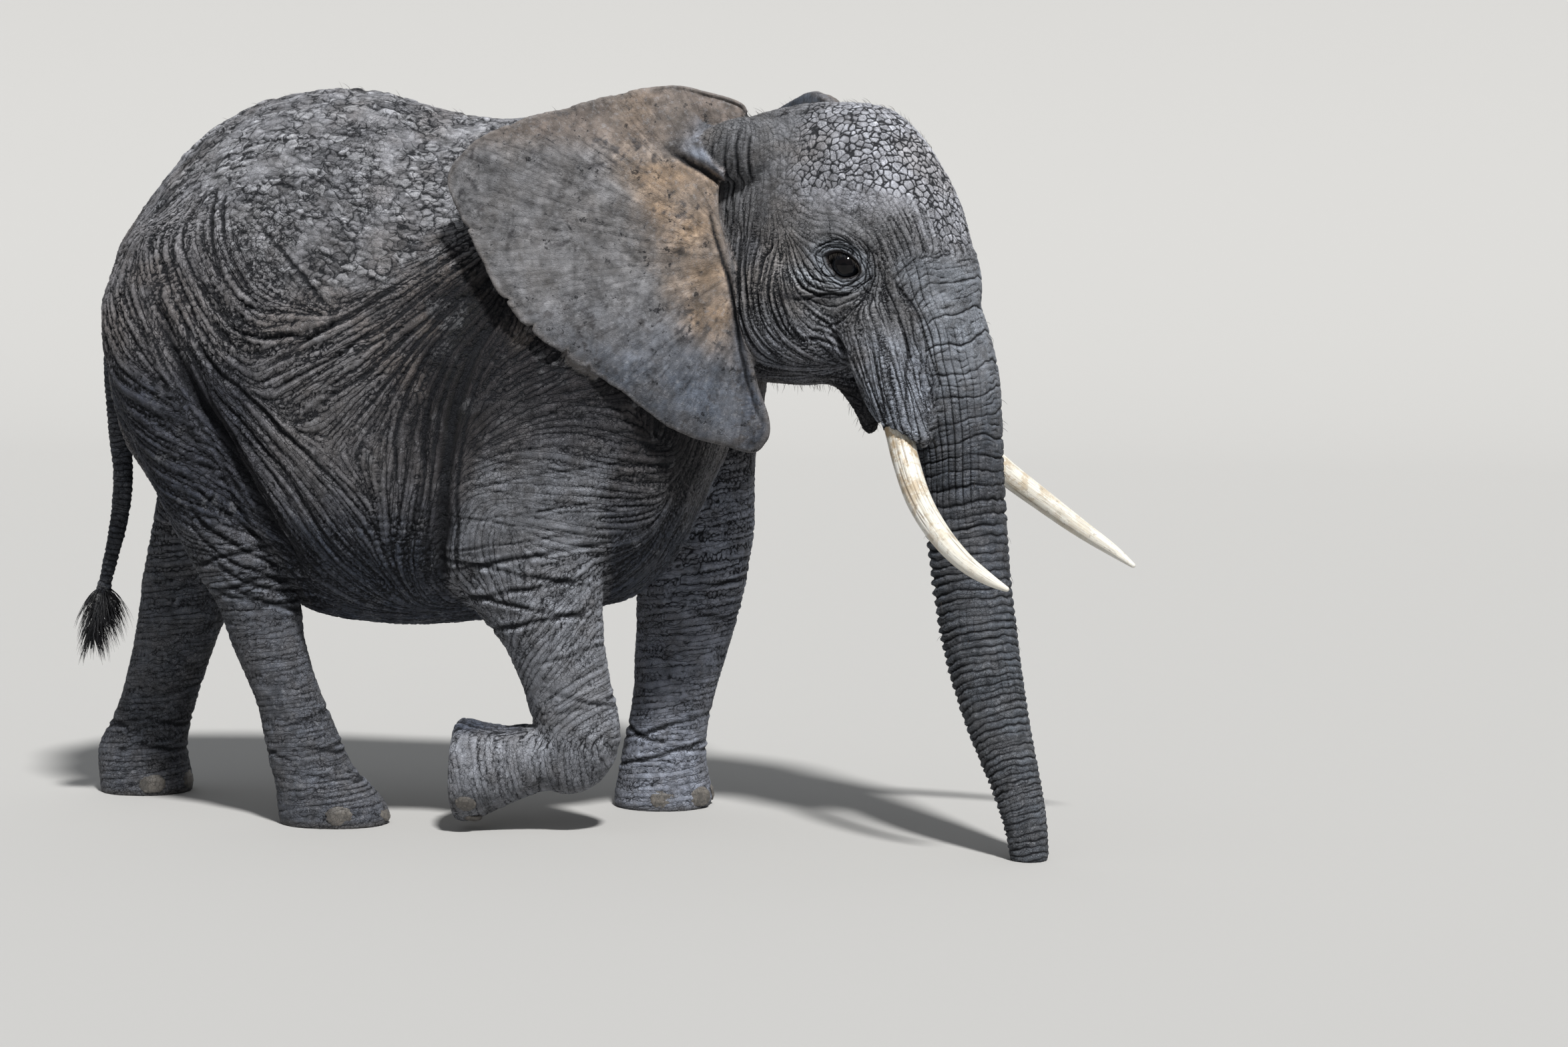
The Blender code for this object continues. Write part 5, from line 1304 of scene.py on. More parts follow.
for side in (-1, 1):
    flank = (np.sign(Y) == side) & (N[:, 1] * side > 0.05) & (EARS < 0.3)
    deep = [(-1.50, 1.86), (-1.45, 1.72), (-1.385, 1.58), (-1.21, 1.28), (-1.08, 1.05), (-1.00, 0.90)] if side < 0 else [(-1.52, 1.86), (-1.46, 1.70), (-1.39, 1.55), (-1.31, 1.28), (-1.30, 1.05), (-1.33, 0.93)]
    add_fold(flank_plane, flank, deep, 0.038, 0.026, 0.30)
    add_fold(flank_plane, flank, [(x + 0.058, z - 0.01) for x, z in deep[1:]], 0.013, 0.009)
    add_fold(flank_plane, flank, [(x - 0.055, z + 0.005) for x, z in deep[:-1]], 0.010, 0.008)
    if side < 0:
        for k, line in enumerate(KNEE_LINES):
            add_fold(flank_plane, flank, line, 0.010 - 0.0012 * (k > 3), 0.0075)
    for k, depth, width in ((0, 0.013, 0.008), (1, 0.009, 0.007), (2, 0.012, 0.008), (3, 0.008, 0.007), (4, 0.012, 0.009), (5, 0.011, 0.008), (7, 0.010, 0.008),
                            (8, 0.010, 0.008), (9, 0.009, 0.008), (10, 0.009, 0.008), (11, 0.009, 0.009), (12, 0.014, 0.011), (14, 0.007, 0.009)):
        add_fold(flank_plane, flank, FLANK_LINES[k], depth, width)
    # the valley between the flank and the upper foreleg
    add_fold(flank_plane, flank, ARMPIT, 0.026, 0.024, 0.25)
    add_fold(flank_plane, flank, [(x + 0.050, z) for x, z in ARMPIT], 0.010, 0.008)
    add_fold(flank_plane, flank, [(x - 0.048, z) for x, z in ARMPIT], 0.009, 0.008)
    face = (np.sign(out) == side) & (n_out * side > 0.10) & (EARS < 0.4)
    for k, line in enumerate(FACE_LINES):
        depth, width = ((0.0085, 0.0055) if k < 6 else (0.0075, 0.005) if k in (6, 7, 8) else (0.006, 0.0048))
        if k >= 15:
            continue
        add_fold(face_plane, face & (TRUNKW < 0.8), line, depth, width, 0.30)
    # finer folds between the long ones of the temple
    for k in range(5):
        a, b = FACE_LINES[k], FACE_LINES[k + 1]
        m = [((p[0] + q[0]) / 2, (p[1] + q[1]) / 2 - 0.01 * (k % 2)) for p, q in zip(a, b[: len(a)])]
        if len(m) > 2:
            add_fold(face_plane, face, m[:4], 0.0050, 0.0040, 0.3)
    # upright folds where the ear's front edge runs into the head
    if side < 0:
        for line in ([(0.151, 2.418), (0.144, 2.343), (0.158, 2.256)], [(0.196, 2.450), (0.187, 2.344), (0.179, 2.244), (0.193, 2.133)],
                     [(0.232, 2.455), (0.225, 2.343), (0.215, 2.230)], [(0.270, 2.440), (0.262, 2.360), (0.258, 2.270)]):
            add_fold(face_plane, face, line, 0.0080, 0.0055, 0.35)
    # the corner of the mouth: a deep slot that runs down behind the sheath of the tusk
    add_fold(face_plane, face & (TRUNKW < 0.8), [(0.568, 1.765), (0.592, 1.742), (0.612, 1.700), (0.628, 1.64), (0.652, 1.55), (0.672, 1.49)], 0.030, 0.012, 0.22, 0.35)
    add_fold(face_plane, face & (TRUNKW < 0.8), [(0.47, 1.742), (0.53, 1.748), (0.585, 1.722), (0.612, 1.690)], 0.010, 0.006, 0.3)
    # the slit of the gland on the temple
    add_fold(face_plane, face, [(0.358, 2.072), (0.346, 2.048), (0.333, 2.030), (0.322, 2.000), (0.320, 1.97)], 0.014, 0.0060, 0.35)

# folds where a leg bends, square to it
def leg_folds(name, rows, heights, depth, width, facing=None, shade_strength=0.8):
    global H, crease_shade
    share, r, dx, dy = leg_place(rows)
    where = (share < 1.45) & (EARS < 0.2)
    for k, h in enumerate(heights):
        tilt = 0.05 * math.sin(3.1 * k + 1)
        g = np.abs(Z - h - tilt * dx / r - 0.012 * noise(P / 0.09, 20 + k % 8))
        fade = np.ones(n_points) if facing is None else rise(N @ unit(np.array(facing, float)), -0.1, 0.6)
        fade = fade * np.clip(0.75 + noise(P / 0.12, 30 + k % 8) * 1.2, 0, 1) * where
        H = H - depth * fade * np.exp(-((g / width) ** 2)) + 0.35 * depth * fade * np.exp(-(((g - 2 * width) / width) ** 2))
        # painted shade in the leg's fold
        crease_shade = np.maximum(crease_shade, shade_strength * fade * np.exp(-((g / (0.8 * width)) ** 2)))


leg_folds("hr", HIND_RIGHT, (0.965, 0.91, 0.86, 0.81), 0.009, 0.009, (0.6, -1, 0))
leg_folds("hl", HIND_LEFT, (0.93, 0.87, 0.81), 0.009, 0.009, (1, 0.4, 0))
for n_, rows in (("hr", HIND_RIGHT), ("hl", HIND_LEFT)):
    leg_folds(n_, rows, (0.36, 0.30, 0.245, 0.20), 0.007, 0.008, (1, 0, 0))
    leg_folds(n_, rows, (0.29, 0.23), 0.008, 0.009, (-1, 0, 0))
leg_folds("fl", FORE_LEFT, (0.80, 0.74, 0.67), 0.006, 0.008, (1, 0, 0))
leg_folds("fl", FORE_LEFT, (0.30, 0.25, 0.20), 0.006, 0.008)
leg_folds("fr", FORE_RIGHT, (0.98, 0.93, 0.87, 0.81, 0.76), 0.008, 0.009, (-0.6, -1, 0))
leg_folds("fr", FORE_RIGHT, (1.375, 1.31, 1.27, 1.205, 1.14, 1.10, 1.04), 0.0034, 0.0050, (-0.3, -1, 0), 0.45)
leg_folds("fr", FORE_RIGHT, (0.62, 0.50, 0.44), 0.005, 0.008, (1, -0.3, 0))

# ---------------------------------------------------------------- the trunk's rings
RING_AT, RING_GAP = [0, 0.32, 0.65, 0.82, 0.98, 1.2, 1.6, 2.0, 2.4], [0.088, 0.088, 0.074, 0.056, 0.038, 0.031, 0.026, 0.022, 0.018]
spacing = np.interp(trunk_s, RING_AT, RING_GAP)
grid = np.linspace(0, 2.6, 400)
phase_at = np.cumsum(1 / np.interp(grid, RING_AT, RING_GAP)) * (grid[1] - grid[0])
warp = 0.8 * noise(P / 0.19, 40) + 0.0055 / spacing * noise(P / 0.035, 41) * 2
phase = np.interp(trunk_s, grid, phase_at) + warp
ring_d = np.abs(((phase + 0.5) % 1.0) - 0.5) * spacing
which = np.floor(phase + 0.5)
ring_fade = np.clip(0.72 + 1.1 * noise(np.stack([which * 3.7, trunk_turn * 0.9, which * 0.0], 1), 42), 0.12, 1.15)
back_of_trunk = rise(-np.cos(trunk_turn), -0.1, 0.8)
ring_depth = TRUNKW * np.interp(trunk_s, [0, 0.3, 0.6, 0.9, 1.2, 2.0], [0.0025, 0.0046, 0.0056, 0.0075, 0.0068, 0.0045]) * ring_fade * (1 + 1.1 * back_of_trunk * rise(trunk_s, 0.9, 1.3))
H += -ring_depth * np.exp(-((ring_d / 0.0052) ** 2)) + np.interp(trunk_s, [0.6, 1.1], [0.05, 0.55]) * ring_depth * np.sin(math.pi * np.clip(ring_d / spacing, 0, 0.5)) ** 2
half = np.abs((phase % 1.0) - 0.5) * spacing
half_fade = TRUNKW * np.clip(noise(np.stack([which * 2.3, trunk_turn * 1.4, which * 0.0], 1), 43) * 1.8 + 0.15, 0, 1)
H -= 0.0040 * half_fade * np.exp(-((half / 0.0042) ** 2))
fourths = phase * 4 + 0.5 * noise(P / 0.05, 48)
quarter = np.abs(((fourths + 0.5) % 1.0) - 0.5) * spacing / 4
quarter_fade = TRUNKW * rise(spacing, 0.034, 0.060) * np.clip(noise(P / 0.035, 49) * 2.2 + 0.25, 0, 1)
H -= 0.0030 * quarter_fade * np.exp(-((quarter / 0.0038) ** 2))
# lengthwise creases cross the rings on the trunk's sides
across = trunk_turn * trunk_r / 0.025 + 0.8 * noise(P / 0.16, 44)
across_d = np.abs(((across + 0.5) % 1.0) - 0.5) * 0.025
side_trunk = rise(np.abs(trunk_turn), 0.35, 1.1) * rise(1.15 - trunk_s, 0.0, 0.35) * np.clip(0.85 + 1.2 * noise(P / 0.08, 68), 0.2, 1)
cross_fade = TRUNKW * np.clip(side_trunk + 0.30 * rise(noise(P / 0.11, 45), 0.05, 0.3), 0, 1)
H -= 0.0050 * cross_fade * np.exp(-((across_d / 0.0040) ** 2))

# the tail's rings
tail_phase = tail_s / 0.021 + 0.7 * noise(P / 0.05, 46)
tail_d = np.abs(((tail_phase + 0.5) % 1.0) - 0.5) * 0.021
H -= 0.0035 * TAILW * np.exp(-((tail_d / 0.0045) ** 2))

# ---------------------------------------------------------------- cracked mud and horny plates
CRACK_SHADE = np.zeros(n_points)
SPLIT = np.full(n_points, 0.05)
tone = np.zeros(n_points)


def plates(where, size, seed, depth, width, lumps, lie=None, colour=0.12, tilt=0.0, show=1.0):
    """Raised plates parted by cracks. size is their width in metres; lie squeezes the space they are laid in; show is
    how much painted shade the cracks get.
    """
    global H, CRACK_SHADE, tone
    i = np.flatnonzero(where > 0.02)
    if not len(i):
        return
    q = P[i] + 0.22 * size * np.stack([noise(P[i] / (0.8 * size), 50), noise(P[i] / (0.8 * size), 51), noise(P[i] / (0.8 * size), 52)], 1)
    q = q if lie is None else lie(q, i)
    d, t, above = cells(q / size, seed)
    w = where[i]
    gap = d * size * 0.72
    plate = 1 - np.exp(-((gap / width) ** 1.5))
    H[i] += w * (depth * (plate - 0.6) + lumps * (t - 0.5) * plate - tilt * np.clip(above, -0.7, 0.7) * plate)
    # painted shade in the cracks
    CRACK_SHADE[i] = np.maximum(CRACK_SHADE[i], show * w * np.exp(-((gap / (width * 0.75)) ** 2)))
    SPLIT[i] = np.minimum(SPLIT[i], gap + 0.02 * (1 - np.clip(w * show * 1.4, 0, 1)))
    tone[i] += w * (t - 0.5) * colour * 2


def back_lie(q, i):
    """Long in the way of the back, short down it."""
    slope = np.interp(X[i], [-1.9, -1.5, -1.1, -0.6, 0.3], [0.75, 0.30, -0.15, -0.25, 0.0])
    x, z = q[:, 0] + 1.0, q[:, 2] - 2.15
    g = np.sqrt(1 + slope**2)
    return np.stack([(x + slope * z) / g * 0.66, q[:, 1] * 0.75, (z - slope * x) / g], 1)


front_part = rise(ahead, 0.25, 0.5) * np.clip(1.1 - 1.3 * np.abs(out) / 0.4, 0.35, 1)
plates(forehead * (0.55 + 0.45 * front_part) * rise(ahead, 0.12, 0.38), 0.027, 1, 0.0044, 0.0027, 0.0020, None, 0.22, 0.0, 1.0)
plates(HEADW * (1 - forehead * rise(ahead, 0.3, 0.5)) * rise(Z, 2.05, 2.2) * rise(patchy, -0.2, 0.3) + 0.5 * temple * rise(patchy, 0.1, 0.5), 0.046, 2, 0.0034, 0.0034, 0.0024, None, 0.12, 0.003, 0.7)
chips = scaly * np.clip(0.85 + 0.8 * patchy2, 0.25, 1)
plates(chips, 0.034, 3, 0.0052, 0.0045, 0.0070, back_lie, 0.26, 0.0110, 0.40)
plates(scaly * rise(patchy, 0.15, 0.5), 0.066, 8, 0.0030, 0.0050, 0.0060, back_lie, 0.20, 0.0100, 0.25)
plates(BODYW * (1 - scaly) * rise(patchy2, 0.15, 0.5) * 0.8, 0.045, 4, 0.0026, 0.0040, 0.0020, None, 0.10, 0.003, 0.5)
plates(LEGW * rise(0.75 - Z, 0.0, 0.25) * 0.35 + FOLDED * 0.5, 0.030, 5, 0.0020, 0.0036, 0.0010, None, 0.10, 0.0, 0.2)
low_cracks = TRUNKW * rise(trunk_s, 1.1, 1.6)
plates(low_cracks * 0.7, 0.024, 6, 0.0016, 0.0030, 0.0005, None, 0.10, 0.0, 0.5)
plates(EARS * rise(patchy, 0.05, 0.45) * 0.8, 0.028, 7, 0.0014, 0.0036, 0.0022, None, 0.16, 0.002, 0.3)

# the ears: faint veins, the roll that folds over the top of the front edge, and the narrow strip in front
VEIN = np.zeros(n_points)
HEM = np.zeros(n_points)
ROLL_LINE = [(0.204, 2.470), (0.126, 2.397), (0.082, 2.363), (0.020, 2.328), (-0.029, 2.294), (-0.070, 2.270)]
STRIP_LINE = [(0.022, 2.200), (0.006, 2.100), (-0.012, 2.010), (-0.028, 1.920), (-0.036, 1.800), (-0.050, 1.660), (-0.072, 1.540), (-0.092, 1.460)]
ROLLED = np.zeros(n_points)
for side in (-1, 1):
    back, off, gap = ear_at[side]
    turn = np.arctan2(Z - 2.05, back + 0.16)
    far = np.hypot(Z - 2.05, back + 0.16)
    n = noise(np.stack([turn * 2.2, far * 3.0, np.full(n_points, side * 1.0)], 1), 47)
    v = np.sin(9.5 * turn + 3.2 * n + 1.2 * np.sin(7 * far))
    outer = rise(off, 0.0, 0.002)
    w = ear_w[side] * rise(far, 0.18, 0.35) * rise(gap, 0.01, 0.10) * outer
    VEIN += w * np.exp(-((v / 0.20) ** 2))
    HEM += ear_w[side] * rise(-gap, -0.030, -0.004)
    front = ear_w[side] * outer
    q = np.stack([back, Z], 1) + 0.006 * np.stack([noise(P / 0.05, 66), noise(P / 0.05, 67)], 1)
    near = (np.sign(Y) == side) & (back < 0.30) & (Z > 2.15) & (np.abs(off) < 0.12) & (N @ np.array([0, side, 0.0]) > -0.2)
    across_g, share = near_line(q, near, ROLL_LINE, 0.16)
    xs, zs = np.array(ROLL_LINE[::-1]).T
    above_line = np.sign(Z - np.interp(back, xs, zs))
    sd = np.where(across_g < 5, across_g * above_line, 0.0)
    strong = rise(share, 0.10, 0.55) * (across_g < 0.16)
    roll = 0.020 * strong * rise(sd, -0.004, 0.022) * rise(-sd, -0.150, -0.040)
    under = -0.016 * strong * np.exp(-(((sd + 0.008) / 0.011) ** 2))
    H += (roll + under) * front
    ROLLED += strong * rise(sd, 0.0, 0.02) * (across_g < 0.15)
    # painted shade under the roll
    crease_shade = np.maximum(crease_shade, front * strong * np.exp(-(((sd + 0.010) / 0.012) ** 2)))
    strip_g, share = near_line(q, (ear_w[side] > 0.1) & (back < 0.10) & (Z < 2.22), STRIP_LINE, 0.08)
    fade = np.sin(math.pi * np.clip(share, 0.02, 0.98)) ** 0.5 * front
    H -= 0.0120 * fade * np.exp(-((strip_g / 0.0065) ** 2))
    # painted shade in the crease along the strip in front of the ear
    crease_shade = np.maximum(crease_shade, 0.95 * fade * np.exp(-((strip_g / 0.0060) ** 2)))
    H += 0.005 * front * rise(np.interp(Z, [p[1] for p in STRIP_LINE[::-1]], [p[0] for p in STRIP_LINE[::-1]]) - back, 0.004, 0.02) * rise(2.18 - Z, 0, 0.08)
H += 0.0018 * VEIN + 0.0015 * HEM

# the tail's end swells into a mud-clotted knob
H += 0.011 * TAILW * np.exp(-(((Z - 0.755) / 0.045) ** 2)) + 0.003 * TAILW * noise(P / 0.025, 69) * rise(0.86 - Z, 0.0, 0.05)
H *= rise(Z, 0.004, 0.03) * 0.999 + 0.001
FLAT = 1 - rise(Z, 0.004, 0.03)

# ---------------------------------------------------------------- round the eyes and tusks
def eye_frame(side):
    at, way = EYES[side]
    a = unit(head_way(1, 0) - (head_way(1, 0) @ way) * way)
    u = np.cross(a, way) * (1 if np.cross(a, way)[2] > 0 else -1)
    return at, way, a, u


LIDS = np.zeros(n_points)
WET = np.zeros(n_points)
LID_RIM_DARK_AND_SHADE = np.zeros(n_points)
SLANT = math.radians(24)
for side in (-1, 1):
    at, way, a, u = eye_frame(side)
    i = np.flatnonzero((np.linalg.norm(P - at, axis=1) < 0.20) & (np.sign(out) == side) & (EARS < 0.1))
    r = P[i] - at
    A, U, O = r @ a, r @ u, r @ way
    e1 = math.cos(SLANT) * A - math.sin(SLANT) * U
    e2 = math.sin(SLANT) * A + math.cos(SLANT) * U
    # the opening: pointed at the rear corner, high over the pupil, hanging lowest a little ahead of the middle
    long_half = np.where(e1 > 0, 0.0570, 0.0640)
    high_half = np.where(e2 > 0, 0.0385 + 0.05 * np.clip(-e1, -0.02, 0.02), 0.0410 + 0.10 * np.clip(e1, -0.04, 0.015))
    q = (np.abs(e1 / long_half) ** 1.75 + np.abs(e2 / high_half) ** 1.75) ** (1 / 1.75)
    d = np.hypot(A, U)
    ball = np.sqrt(np.clip((BALL + 0.0035) ** 2 - np.minimum(d, 0.88 * BALL) ** 2, 0, None))
    upper = rise(e2, -0.008, 0.014)
    # the lid's margin on the ball, its swell, the domed upper lid, then back to the plain skin
    swell = 0.0075 * np.exp(-(((q - 1.20) / 0.16) ** 2)) * (0.75 + 0.5 * upper) + 0.0120 * np.exp(-(((q - 1.85) / 0.55) ** 2)) * upper + 0.0050 * np.exp(-(((q - 1.75) / 0.30) ** 2)) * (1 - upper)
    lids = ball + swell
    mix = rise(q, 1.12, 2.05)
    skin_o = O + H[i]
    shape = lids * (1 - mix) + skin_o * mix
    for level, depth, wide, part in ((1.36, 0.0034, 0.045, upper), (1.60, 0.0042, 0.045, upper), (1.86, 0.0036, 0.040, upper), (1.36, 0.0032, 0.040, 1 - upper), (1.70, 0.0046, 0.045, 1 - upper)):
        wob = 0.06 * np.sin(3 * np.arctan2(e2, e1) + level * 5) + 0.02 * np.sin(9 * np.arctan2(e2, e1) + level * 9)
        g = q - level - wob
        shape = shape - depth * part * np.exp(-((g / wide) ** 2))
        # painted shade in the lid's crease
        crease_shade[i] = np.maximum(crease_shade[i], 0.95 * part * np.exp(-((g / (0.75 * wide)) ** 2)))
    inside = rise(-q, -1.0, -0.90)
    shape = shape * (1 - inside) + (-0.004) * inside
    keep = rise(q, 2.4, 3.0)
    P[i] += way * ((shape - O) * (1 - keep))[:, None]
    H[i] *= keep
    LIDS[i] = np.maximum(LIDS[i], rise(-q, -2.5, -1.5))
    WET[i] = np.maximum(WET[i], rise(-q, -1.16, -1.05))
    # the dark skin round the opening, with painted shade under the overhanging upper lid
    LID_RIM_DARK_AND_SHADE[i] = np.maximum(LID_RIM_DARK_AND_SHADE[i], rise(-q, -1.36, -1.18) * (0.55 + 0.45 * upper))

# creases near the eye, drawn after the lids so that they cut them too: (ahead of the pivot, height)
EYE_LINES = [
    ([(0.451, 1.998), (0.495, 2.031), (0.535, 2.065), (0.579, 2.085), (0.611, 2.088), (0.640, 2.074), (0.669, 2.049), (0.678, 2.018), (0.676, 1.986), (0.666, 1.965), (0.640, 1.940), (0.611, 1.931), (0.582, 1.943), (0.562, 1.965)], 0.0075, 0.0030),
    ([(0.527, 2.041), (0.553, 2.059), (0.588, 2.063), (0.623, 2.059), (0.646, 2.044), (0.659, 2.025)], 0.0042, 0.0024),
    ([(0.538, 2.030), (0.567, 2.041), (0.599, 2.045), (0.634, 2.036), (0.656, 2.021)], 0.0036, 0.0022),
    ([(0.697, 2.124), (0.700, 2.079), (0.700, 2.031), (0.687, 2.011)], 0.0050, 0.0026),
    ([(0.739, 2.041), (0.736, 2.011), (0.719, 1.986), (0.716, 1.960), (0.704, 1.930), (0.698, 1.890)], 0.0060, 0.0028),
    ([(0.718, 1.975), (0.692, 1.945), (0.658, 1.920), (0.626, 1.895)], 0.0060, 0.0028),
    ([(0.466, 2.013), (0.506, 1.981), (0.533, 1.948), (0.550, 1.907)], 0.0056, 0.0026),
    ([(0.500, 2.018), (0.535, 1.986), (0.564, 1.953), (0.593, 1.920)], 0.0050, 0.0024),
    ([(0.469, 2.011), (0.503, 1.970), (0.524, 1.935), (0.550, 1.907)], 0.0046, 0.0024),
    ([(0.448, 1.975), (0.489, 1.945), (0.520, 1.930), (0.552, 1.912)], 0.0050, 0.0026),
    ([(0.454, 1.993), (0.489, 1.988), (0.524, 1.988), (0.553, 1.990)], 0.0036, 0.0022),
    ([(0.451, 1.968), (0.495, 1.965), (0.533, 1.963)], 0.0036, 0.0022),
    ([(0.436, 1.960), (0.471, 1.948), (0.506, 1.938)], 0.0040, 0.0022),
    ([(0.437, 1.888), (0.475, 1.883), (0.524, 1.895), (0.559, 1.905), (0.611, 1.902), (0.640, 1.899)], 0.0110, 0.0046),
    ([(0.480, 1.945), (0.515, 1.915), (0.545, 1.880), (0.558, 1.862)], 0.0050, 0.0026),
    ([(0.437, 2.005), (0.470, 1.970), (0.500, 1.925), (0.520, 1.895)], 0.0040, 0.0022),
    ([(0.660, 1.950), (0.690, 1.915), (0.700, 1.880)], 0.0044, 0.0024),
    ([(0.562, 2.160), (0.570, 2.125), (0.579, 2.090)], 0.0042, 0.0024),
    ([(0.660, 2.120), (0.664, 2.085), (0.676, 2.060), (0.697, 2.048)], 0.0040, 0.0022),
    ([(0.611, 2.105), (0.640, 2.095), (0.655, 2.075)], 0.0036, 0.0022),
]
for side in (-1, 1):
    here = (np.sign(out) == side) & (n_out * side > -0.2) & (EARS < 0.4) & (ahead > 0.38) & (ahead < 0.80) & (Z > 1.80)
    flat_ = np.stack([(P - [*HEAD_PIVOT[:2], 0])[:, :2] @ head_way(1, 0)[:2], P[:, 2]], 1) + 0.003 * np.stack([noise(P / 0.03, 14), noise(P / 0.03, 15)], 1)
    for line, depth, width in EYE_LINES:
        sink, mark = fold(flat_, here & (WET < 0.5), line, depth, width, 0.35, 0.4)
        P += N * sink[:, None]
        # painted shade in the crease
        crease_shade = np.maximum(crease_shade, mark)

P = P + N * H[:, None]
P[:, 2] = np.where(FLAT > 0.9, np.where(P[:, 2] < 0.004, 0.0, P[:, 2]), np.maximum(P[:, 2], 0.0))

# the lip of the skin round each tusk: a hollow ring, so that the tusk comes out of a rim
for side in (-1, 1):
    line, radii = tusk_line(side)
    rows = [(*p, r) for p, r in zip(line, radii)]
    i = np.flatnonzero((np.linalg.norm(P - head_point(0.80, side * 0.222, 1.44), axis=1) < 0.18) & (np.sign(out) == side))
    s, mid, tway, r, gap = line_coords(P[i], rows, 160)
    facing = (N[i] * tway).sum(1)
    ring_w = rise(facing, 0.15, 0.55) * rise(-gap, -0.066, -0.052)
    P[i] -= tway * (0.045 * ring_w * rise(-gap, -0.066, -0.045))[:, None]
    # painted shade in the hollow ring round the tusk
    crease_shade[i] = np.maximum(crease_shade[i], ring_w)
    radial = unit(P[i] - mid - ((P[i] - mid) * tway).sum(1)[:, None] * tway)
    close = (gap < r + 0.004) & (s > 0.22)
    P[i] += radial * np.where(close, (r + 0.004 - gap), 0.0)[:, None]

put_points(skin.data, P)
N = normals_of(skin.data)

# ---------------------------------------------------------------- the colours of the skin
def mix(a, b, w):
    return a + (np.array(b) - a) * np.clip(w, 0, 1)[:, None]


X, Y, Z = P.T
ahead, out = head_coords(P)
tint = np.tile([0.128, 0.125, 0.133], (n_points, 1))
tint = mix(tint, (0.200, 0.200, 0.214), BODYW * scaly)
tint = mix(tint, (0.282, 0.287, 0.312), back_zone * rise(Z, 1.92, 2.25))
# painted shade: the lower body, where it turns under, and the thigh are darkened
tint = mix(tint, (0.050, 0.060, 0.084), BODYW * rise(1.35 - Z, 0.0, 0.35))
tint = mix(tint, (0.025, 0.030, 0.045), thigh * 0.90)
# the shoulder and flank below the ears, where painted shade falls
shade = rise(X, -0.84, -0.52) * rise(2.02 - Z, 0.0, 0.20) * rise(Z, 1.05, 1.42) * (np.abs(Y) > 0.2) * rise(0.55 - X, 0.0, 0.2)
# painted shade in the deep fold between the belly and the thigh
groin_shade = np.exp(-(((X - 0.030 - np.interp(Z, [0.90, 1.05, 1.28, 1.58, 1.72, 1.86], [-1.00, -1.08, -1.21, -1.385, -1.45, -1.50])) / 0.050) ** 2)) * rise(Z, 0.80, 1.02) * rise(1.78 - Z, 0.0, 0.3) * (Y < -0.2)
tint = mix(tint, (0.010, 0.009, 0.011), (BODYW + LEGW) * groin_shade * 0.85)
# painted shade in the valley between the flank and the foreleg
valley_shade = np.exp(-(((X - np.interp(Z, [0.88, 0.94, 1.184, 1.406, 1.627, 1.83], [-0.490, -0.478, -0.444, -0.421, -0.364, -0.260])) / 0.060) ** 2)) * rise(Z, 0.80, 1.05) * rise(2.0 - Z, 0.0, 0.2) * (np.abs(Y) > 0.2)
tint = mix(tint, (0.012, 0.011, 0.013), (BODYW + LEGW) * valley_shade * 0.92)
# painted shadow of the ears: the flank and legs under the hang of each ear are darkened
for side in (-1, 1):
    back, off, gap = ear_at[side]
    under = rise(gap, -0.36, -0.10) * rise(back, 0.05, 0.20) * rise(2.14 - Z, 0.0, 0.20) * (np.sign(Y) == side) * rise(0.55 - np.abs(off), 0.0, 0.15)
    tint = mix(tint, (0.011, 0.010, 0.012), (BODYW + LEGW) * under * 0.93)
# painted shade on the shoulder and flank below the ears
tint = mix(tint, (0.024, 0.022, 0.025), BODYW * shade * 0.72)
tint = mix(tint, (0.092, 0.100, 0.120), LEGW)
# painted shade on the top of the forelegs there
tint = mix(tint, (0.028, 0.026, 0.029), LEGW * shade * 0.70)
# painted shadow in the armpit behind the foreleg, under the ear
pit_shadow = np.exp(-(((X + 0.40) / 0.19) ** 2)) * rise(Z, 1.22, 1.48) * rise(2.02 - Z, 0.0, 0.15) * (np.abs(Y) > 0.2)
tint = mix(tint, (0.007, 0.006, 0.007), (BODYW + LEGW) * pit_shadow * 0.94)
tint = mix(tint, (0.240, 0.262, 0.320), LEGS["fl"])
tint = mix(tint, (0.240, 0.252, 0.284), (LEGS["fr"] * rise(1.42 - Z, 0.0, 0.2) + FOLDED) * (1 - 0.8 * valley_shade))
# painted shadow of the ears on the forelegs below them
for side in (-1, 1):
    back, off, gap = ear_at[side]
    under = rise(gap, -0.28, -0.08) * rise(back, 0.0, 0.15) * rise(1.80 - Z, 0.0, 0.15) * (np.sign(Y) == side)
    tint = mix(tint, (0.016, 0.015, 0.018), LEGW * under * 0.9)
tint = mix(tint, (0.172, 0.176, 0.189), HEADW)
tint = mix(tint, (0.460, 0.474, 0.530), forehead * rise(ahead, 0.15, 0.80) * (0.70 + 0.30 * rise(Z, 2.08, 2.25)))
tint = mix(tint, (0.100, 0.102, 0.110), HEADW * rise(0.50 - ahead, 0.0, 0.20) * rise(Z, 2.00, 2.15) * 0.6)
tint = mix(tint, (0.058, 0.060, 0.068), HEADW * rise(0.45 - ahead, 0.0, 0.20) * rise(2.20 - Z, 0.0, 0.12) * rise(Z, 1.80, 1.95) * 0.8)
tint = mix(tint, (0.185, 0.196, 0.228), HEADW * rise(1.88 - Z, 0.0, 0.2) * rise(0.72 - ahead, 0.0, 0.15))
tint = mix(tint, (0.255, 0.280, 0.330), HEADW * rise(1.85 - Z, 0.0, 0.2) * rise(ahead, 0.62, 0.72))
